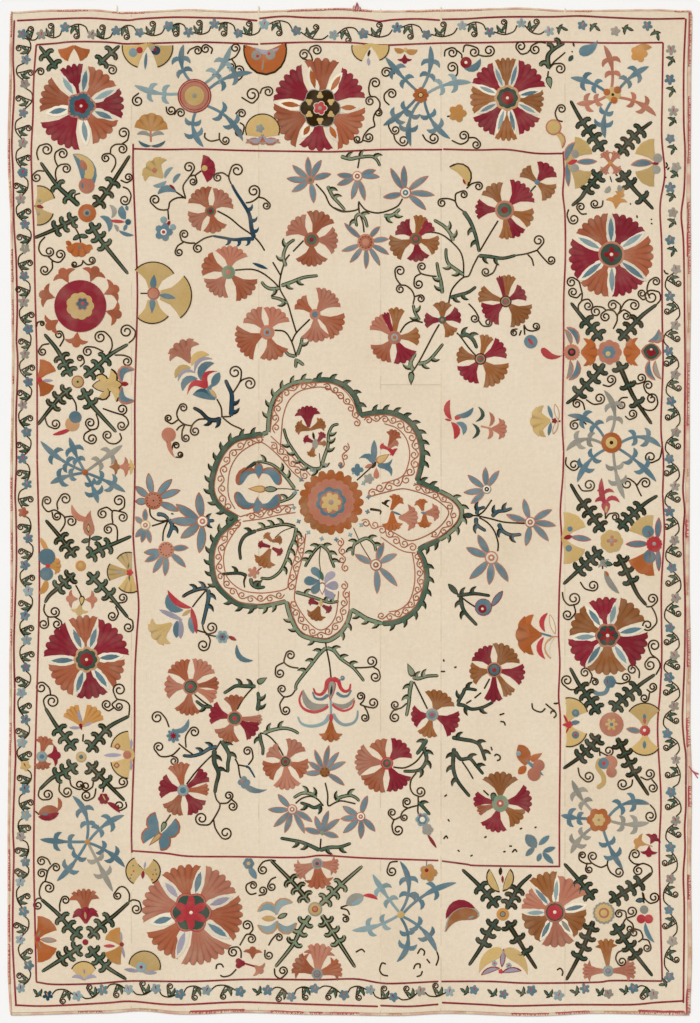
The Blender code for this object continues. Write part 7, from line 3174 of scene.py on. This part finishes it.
@dataclass(frozen=True)
class CottonStrip:
    """A loom width of cotton, or half of one, between two seams or between a seam and the binding."""

    name: str
    left: float | None = None
    right: float | None = None
    low: float | None = None
    high: float | None = None
    sewn_gap: float = 0.3
    sheet: float = 1.0
    least_under: float = 0.2
    step: float = 10.0
    beside_seam: tuple[float, ...] = (1.6, 3.6, 6.5, 11.0)

    def sides(self, y: np.ndarray) -> tuple[np.ndarray, np.ndarray]:
        """Where the strip's two long sides are at places up the cloth."""
        gap = self.sewn_gap / 2
        low = RELIEF.cloth_left(y) if self.left is None else np.full_like(y, self.left + gap)
        high = RELIEF.cloth_right(y) if self.right is None else np.full_like(y, self.right - gap)
        return low, high

    def ends(self, x: np.ndarray) -> tuple[np.ndarray, np.ndarray]:
        """Where the strip's two ends are at places across the cloth."""
        gap = self.sewn_gap / 2
        low = RELIEF.cloth_bottom(x) if self.low is None else np.full_like(x, self.low + gap)
        high = RELIEF.cloth_top(x) if self.high is None else np.full_like(x, self.high - gap)
        return low, high

    def shares(self, length: float) -> np.ndarray:
        """The places of rows or columns over a length, as shares, closer together beside the two ends."""
        near = np.array([0.0, *self.beside_seam]) / length
        inner = np.linspace(near[-1], 1 - near[-1], max(2, round(length / self.step)))
        return np.concatenate([near[:-1], inner, 1 - near[-2::-1]])

    def declare(self, made: bpy.types.Object, sewn_on: list[bpy.types.Object]) -> None:
        y = np.linspace(*(float(end[0]) for end in self.ends(np.zeros(1))), 200)
        from_x, to_x = self.sides(y)
        x = np.linspace(from_x.min(), to_x.max(), 60)
        low, high = self.ends(x)

    def build(self, cotton: bpy.types.Material) -> bpy.types.Object:
        """Make the strip as a closed sheet on its folds, and dress it."""
        middle = np.zeros(1)
        left, right = (float(side[0]) for side in self.sides(middle))
        across = (left + right) / 2
        low, high = (float(end[0]) for end in self.ends(np.array([across])))
        columns, rows = self.shares(right - left), self.shares(high - low)
        sheet = bmesh.new()
        bmesh.ops.create_grid(sheet, x_segments=len(columns) - 1, y_segments=len(rows) - 1, size=1.0)
        column, row = np.meshgrid(columns, rows)
        rough_y = low + (high - low) * row
        from_x, to_x = self.sides(rough_y)
        x = from_x + (to_x - from_x) * column
        from_y, to_y = self.ends(x)
        y = from_y + (to_y - from_y) * row
        top = RELIEF.face(x, y)
        under = np.maximum(self.least_under, top - self.sheet)
        for corner, place in zip(sheet.verts, np.stack([x, y, under], axis=-1).reshape(-1, 3) * MM):
            corner.co = place
        return closed_sheet(self.name, sheet, RELIEF.face, cotton)


STRIPS = """
name | left | right | low | high
cotton_left_border | | -518 | |
cotton_left_field | -518 | -217 | |
cotton_middle | -217 | 71 | |
cotton_lower_half | 71 | 214 | | 298
cotton_upper_half | 71 | 214 | 298 |
cotton_right_field | 214 | 507 | |
cotton_right_border | 507 | | |
"""
READERS[float | None] = float


@dataclass(frozen=True)
class Binding:
    """A folded ribbon of silk over one edge of the cloth."""

    name: str
    side: str
    node: str
    step: float = 12.0
    profile: tuple[float, ...] = (0.04, 0.3, 0.75, 1.0)
    tuck: float = 3.0
    tuck_reach: float = 5.0
    under_cloth: float = 0.3

    def build(self, ribbon: bpy.types.Material) -> bpy.types.Object:
        """Make the ribbon as a closed band along its edge, and dress it."""
        low, high = (np.array(corner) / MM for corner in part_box(self.node))
        upright = self.side in UPRIGHT
        edge, sign = EDGES[self.side], OUTWARD[self.side]
        width = getattr(RELIEF, f"{self.side}_binding")
        start, end = (low[1], high[1]) if upright else (low[0], high[0])
        count = round((end - start) / self.step)
        band = bmesh.new()
        bmesh.ops.create_grid(band, x_segments=count, y_segments=len(self.profile) - 1, size=1.0)
        for number, corner in enumerate(band.verts):
            along = start + (end - start) * (number % (count + 1)) / count
            share = self.profile[number // (count + 1)]
            out = float(out_at(edge, np.array([along]))[0])
            from_end = min(along - start, end - along)
            tuck = self.tuck * max(0.0, 1 - from_end / self.tuck_reach) if upright else 0.0
            across = sign * (out - tuck * share - (width - self.under_cloth) * (1 - share))
            corner.co = (across * MM, along * MM, 0) if upright else (along * MM, across * MM, 0)
        return closed_sheet(self.name, band, RELIEF.binding, ribbon)


BINDINGS = (
    Binding("silk_binding_left", "left", "left_binding"),
    Binding("silk_binding_right", "right", "right_binding"),
    Binding("silk_binding_bottom", "bottom", "bottom_binding"),
    Binding("silk_binding_top", "top", "top_binding"),
)

NODES = {
    "cotton_left_border": "left_border_strip",
    "cotton_left_field": "left_field_strip",
    "cotton_middle": "middle_strip",
    "cotton_lower_half": "lower_half_strip",
    "cotton_upper_half": "upper_half_strip",
    "cotton_right_field": "right_field_strip",
    "cotton_right_border": "right_border_strip",
}


@dataclass(frozen=True)
class LobedRing:
    """One ring of the round flower in the middle, with its lobes as a disc has them."""

    thread: Thread
    radius: float
    layer: int
    lobes: int = 0
    depth: float = 0.1
    turn: float = 0.0
    sharp: float = 1.0

    def sew(self, work: Needlework, middle: Point) -> None:
        """Add it round a middle."""
        lobes = (self.lobes, self.depth, self.turn, self.layer, self.sharp)
        work.disc(self.thread, middle, self.radius, *lobes)


# The first two lie under the brown patches of the rose, and the others over them
ROSE_RINGS = """
thread | radius | layer | lobes | depth | turn | sharp
B | 7.75 | 0 | 20 | .13 | 0 | .55
O | 7.5 | 1 | 20 | .13 | 0 | .55
B | 5.95 | 3 | 18 | .13 | 4 | .55
P | 5.7 | 4 | 18 | .13 | 4 | .55
U | 4 | 5 | 8 | .2 | 10 | .6
P | 3 | 6 | 8 | .16 | 10 | .6
Y | 2.6 | 7 | 7 | .3 | 0 | .8
A | .7 | 8
P | .35 | 9
"""


@dataclass(frozen=True)
class Medallion:
    """The lobed medallion in the middle of the field."""

    disc: Point = (-4.6, 2.0)
    patches: int = 7
    patch_ring: float = 7.4 * 0.87
    patch: float = 0.95
    sprigs: int = 16
    sprig_ring: float = 8.9
    sprig: float = 0.62

    def outline(self) -> bpy.types.Object:
        """The hooked green line round the medallion, and the thin lines and scrolls inside it."""
        work = Needlework("medallion_outline", 11)
        tables = ((HookedLine, MEDALLION_OUTLINE), (Line, MEDALLION_LINES), (Scroll, MEDALLION_SCROLLS))
        sew_tables(work, tables)
        return work.build()

    def flowers(self) -> bpy.types.Object:
        """The flowers in the lobes."""
        work = Needlework("medallion_flowers", 12)
        tables = (
            (Line, MEDALLION_STEMS),
            (Branch, MEDALLION_BRANCHES),
            (Leaf, MEDALLION_LEAVES),
            (Fan, MEDALLION_FANS),
            (Heart, MEDALLION_HEARTS),
            (Daisy, MEDALLION_DAISY),
        )
        sew_tables(work, tables)
        return work.build()

    def rose(self) -> bpy.types.Object:
        """The round flower in the middle, and the sprigs round it."""
        work = Needlework("medallion_rose", 13)
        for number in range(self.sprigs):
            turn = 360 * number / self.sprigs + 8
            foot = way(turn, self.sprig_ring, self.disc)
            thread = Thread.LIGHT_BLUE if number % 3 else Thread.BLUE
            work.disc(thread, foot, self.sprig, 4, 0.55, turn, 1, 1.6)
        rings = read(LobedRing, ROSE_RINGS)
        for ring in rings[:2]:
            ring.sew(work, self.disc)
        for number in range(self.patches):
            place = way(175 + 14 * number, self.patch_ring, self.disc)
            work.disc(Thread.BROWN, place, self.patch, layer=2)
        for ring in rings[2:]:
            ring.sew(work, self.disc)
        return work.build()


@dataclass(frozen=True)
class Field:
    """The sprays of flowers between the medallion and the frame of the field."""

    lotus_line: float = -4.7

    def build(self) -> bpy.types.Object:
        """Sew the sprays."""
        work = Needlework("field_sprays", 21)
        tables = (
            (Stem, FIELD_STEMS),
            (Line, FIELD_TENDRILS),
            (Branch, FIELD_BRANCHES),
            (Carnation, FIELD_CARNATIONS),
            (Daisy, FIELD_DAISIES),
            (Fan, FIELD_FANS),
            (Leaf, FIELD_LEAVES),
            (Heart, FIELD_HEARTS),
        )
        sew_tables(work, tables)
        self.lotus(work)
        return work.build()

    def lotus(self, work: Needlework) -> None:
        """Add the lotus under the medallion, whose right side is the smaller."""
        sew_tables(work, ((Leaf, LOTUS_LEAVES), (Line, LOTUS_LINES), (Leaf, LOTUS_HEART)))
        Fan(self.lotus_line, -49.6, [Blade(Thread.ORANGE, 270, 5.1, 72)], 3, 0.1, 1.5, horn=0.22).sew(work)
        work.stroke(Thread.BLUE, [(-3.0, -39.9), (-2.0, -40.0)], 0.2, 0.5)


@dataclass(frozen=True)
class Border:
    """The wide border of rosettes, stars and crossed branches, and the narrow guard border outside it."""

    trefoils: int = 6
    trefoil: float = 0.95
    trefoil_ring: float = 2.95
    guard_outline: float = 0.14
    dark_heart: Point = (-7.2, 95.2)
    red_heart: Point = (-37.7, -95.0)
    ringed_heart: Point = (61.7, 60.6)
    low_heart: Point = (60.8, -29.5)

    def flowers(self) -> bpy.types.Object:
        """Sew the rosettes and stars."""
        work = Needlework("border_rosettes", 31)
        sew_tables(work, ((Rosette, BORDER_ROSETTES), (Star, BORDER_STARS), (Lily, BORDER_LILIES)))
        for number in range(self.trefoils):
            turn = 90 + 360 * number / self.trefoils
            spot = way(turn, self.trefoil_ring, self.dark_heart)
            work.disc(Thread.YELLOW, spot, self.trefoil, 3, 0.45, turn, 5)
        for thread, middle, radius, rays in (
            (Thread.RED, self.red_heart, 4.1, 6),
            (Thread.DEEP_RED, self.ringed_heart, 1.9, 4),
            (Thread.DEEP_RED, self.low_heart, 2.0, 6),
        ):
            work.disc(thread, middle, radius, rays, 0.6, 90, 9, 1.1)
            work.disc(Thread.WHITE, middle, 0.45, layer=10)
        work.disc(Thread.WHITE, self.dark_heart, 1.95, 5, 0.25, layer=5)
        work.disc(Thread.RED, self.dark_heart, 1.75, 5, 0.3, layer=6)
        work.disc(Thread.GREY, self.dark_heart, 0.5, layer=7)
        return work.build()

    def branches(self) -> bpy.types.Object:
        """Sew the crosses of leafy branches, their tendrils and the ornaments between them."""
        work = Needlework("border_branches", 32)
        tables = (
            (Line, BORDER_TENDRILS),
            (Stem, BORDER_SCRAPS),
            (Stem, WORN_BITS),
            (Spear, BORDER_SPEARS),
            (Fan, BORDER_FANS),
            (Leaf, BORDER_LEAVES),
            (Heart, BORDER_HEARTS),
        )
        sew_tables(work, tables)
        return work.build()

    def guard(self) -> bpy.types.Object:
        """Sew the small flowers and the vine of the guard border."""
        work = Needlework("guard_border", 33)
        work.outline = self.guard_outline
        blooms = read(Bloom, GUARD_BLOOMS)
        for bloom, after in zip(blooms, blooms[1:]):
            bloom.vine(work, after)
        for bloom in blooms:
            bloom.sew(work)
        return work.build()


def sew_lines() -> bpy.types.Object:
    """The madder lines round the guard border and the field."""
    work = Needlework("madder_lines", 3)
    for row in read(MadderLine, OUTER_LINES):
        row.sew(work)
    return work.build()


# The whip stitches, in centimetres: how far apart they start, and how long and wide each is
WHIP_STEP, WHIP_LENGTH, WHIP_WIDTH = 3.0, 2.9, 0.22


def sew_seams() -> bpy.types.Object:
    """The whip stitches that join the strips, and the row that joins the two pieces of the half strip."""
    work = Needlework("seam_stitches", 5)
    work.lift = 0.02
    work.swell = 0.16
    for seam in RELIEF.seams:
        place, x = np.array([seam]), seam / MM_PER_CM
        low, top = (float(end(place)[0]) / MM_PER_CM for end in (RELIEF.cloth_bottom, RELIEF.cloth_top))
        for y in np.arange(low + 0.6, top - 1.2, WHIP_STEP):
            work.stroke(Thread.THREAD, [(x, y), (x, y + WHIP_LENGTH)], WHIP_WIDTH)
    work.stroke(Thread.THREAD, [(7.3, 29.8), (14.0, 29.8), (21.2, 29.8)], 0.2)
    return work.build()


def sew_bindings() -> bpy.types.Object:
    """The stripes that show along the folded ribbon, and its loose ends."""
    work = Needlework("binding_stripes", 6, RELIEF.binding)
    work.swell = 0.3
    sew_tables(work, ((Stripe, BINDING_STRIPES), (Stem, LOOSE_ENDS)))
    return work.build()


@dataclass(frozen=True)
class Studio:
    """The floor, the soft light and the camera over the middle of the cloth."""

    floor: float = 40.0
    camera_height: float = 12.0
    camera_place: Point = (-0.12, -0.18)
    seen_height: float = 2.4194
    sensor: float = 36.0
    farthest_seen: float = 50.0
    world_strength: float = 0.62
    sun_strength: float = 1.85
    sun_spread: float = 25.0
    sun_tilt: Point = (-38.0, -34.0)

    def build(self) -> None:
        """Lay the floor, and set the world, the sun and the camera."""
        plane = bmesh.new()
        bmesh.ops.create_grid(plane, x_segments=2, y_segments=2, size=self.floor / 2)
        mesh = bpy.data.meshes.new("pale_floor")
        plane.to_mesh(mesh)
        plane.free()
        mesh.materials.append(PaleBackdrop().material())
        floor = bpy.data.objects.new("pale_floor", mesh)
        bpy.context.scene.collection.objects.link(floor)
        world = bpy.data.worlds.new("studio")
        world.use_nodes = True
        light = world.node_tree.nodes["Background"].inputs
        light["Color"].default_value = linear("#FFFFFF")
        light["Strength"].default_value = self.world_strength
        bpy.context.scene.world = world
        sun = bpy.data.lights.new("window_light", "SUN")
        sun.energy = self.sun_strength
        sun.angle = radians(self.sun_spread)
        lamp = bpy.data.objects.new("window_light", sun)
        lamp.rotation_euler = (*map(radians, self.sun_tilt), 0)
        bpy.context.scene.collection.objects.link(lamp)
        lens = bpy.data.cameras.new("camera")
        lens.sensor_fit = "VERTICAL"
        lens.sensor_height = self.sensor
        lens.lens = self.sensor * self.camera_height / self.seen_height
        lens.clip_end = self.farthest_seen
        camera = bpy.data.objects.new("camera", lens)
        camera.location = (self.camera_place[0] * CM, self.camera_place[1] * CM, self.camera_height)
        bpy.context.scene.collection.objects.link(camera)
        bpy.context.scene.camera = camera
        bpy.context.scene.view_settings.view_transform = "Standard"


def main() -> None:
    """Lay the cloth, bind it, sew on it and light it."""
    logging.basicConfig(level=logging.INFO, format="%(message)s")
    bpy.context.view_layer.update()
    cotton = HandloomCotton().material()
    ribbon = WornBindingSilk().material()
    strips = {strip: strip.build(cotton) for strip in read(CottonStrip, STRIPS)}
    for strip, made in strips.items():
        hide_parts(NODES[strip.name])
    sewn_on = [sew_seams(), sew_lines(), sew_bindings()]
    for binding in BINDINGS:
        made = binding.build(ribbon)
        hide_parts(binding.node)
        sewn_on.append(made)
    medallion = Medallion()
    border = Border()
    for part in (medallion.outline, medallion.flowers, medallion.rose, Field().build):
        sewn_on.append(part())
    for part in (border.flowers, border.branches, border.guard):
        sewn_on.append(part())
    for strip, made in strips.items():
        strip.declare(made, sewn_on if strip.name == "cotton_middle" else [])
    Studio().build()


if __name__ == "__main__":
    main()
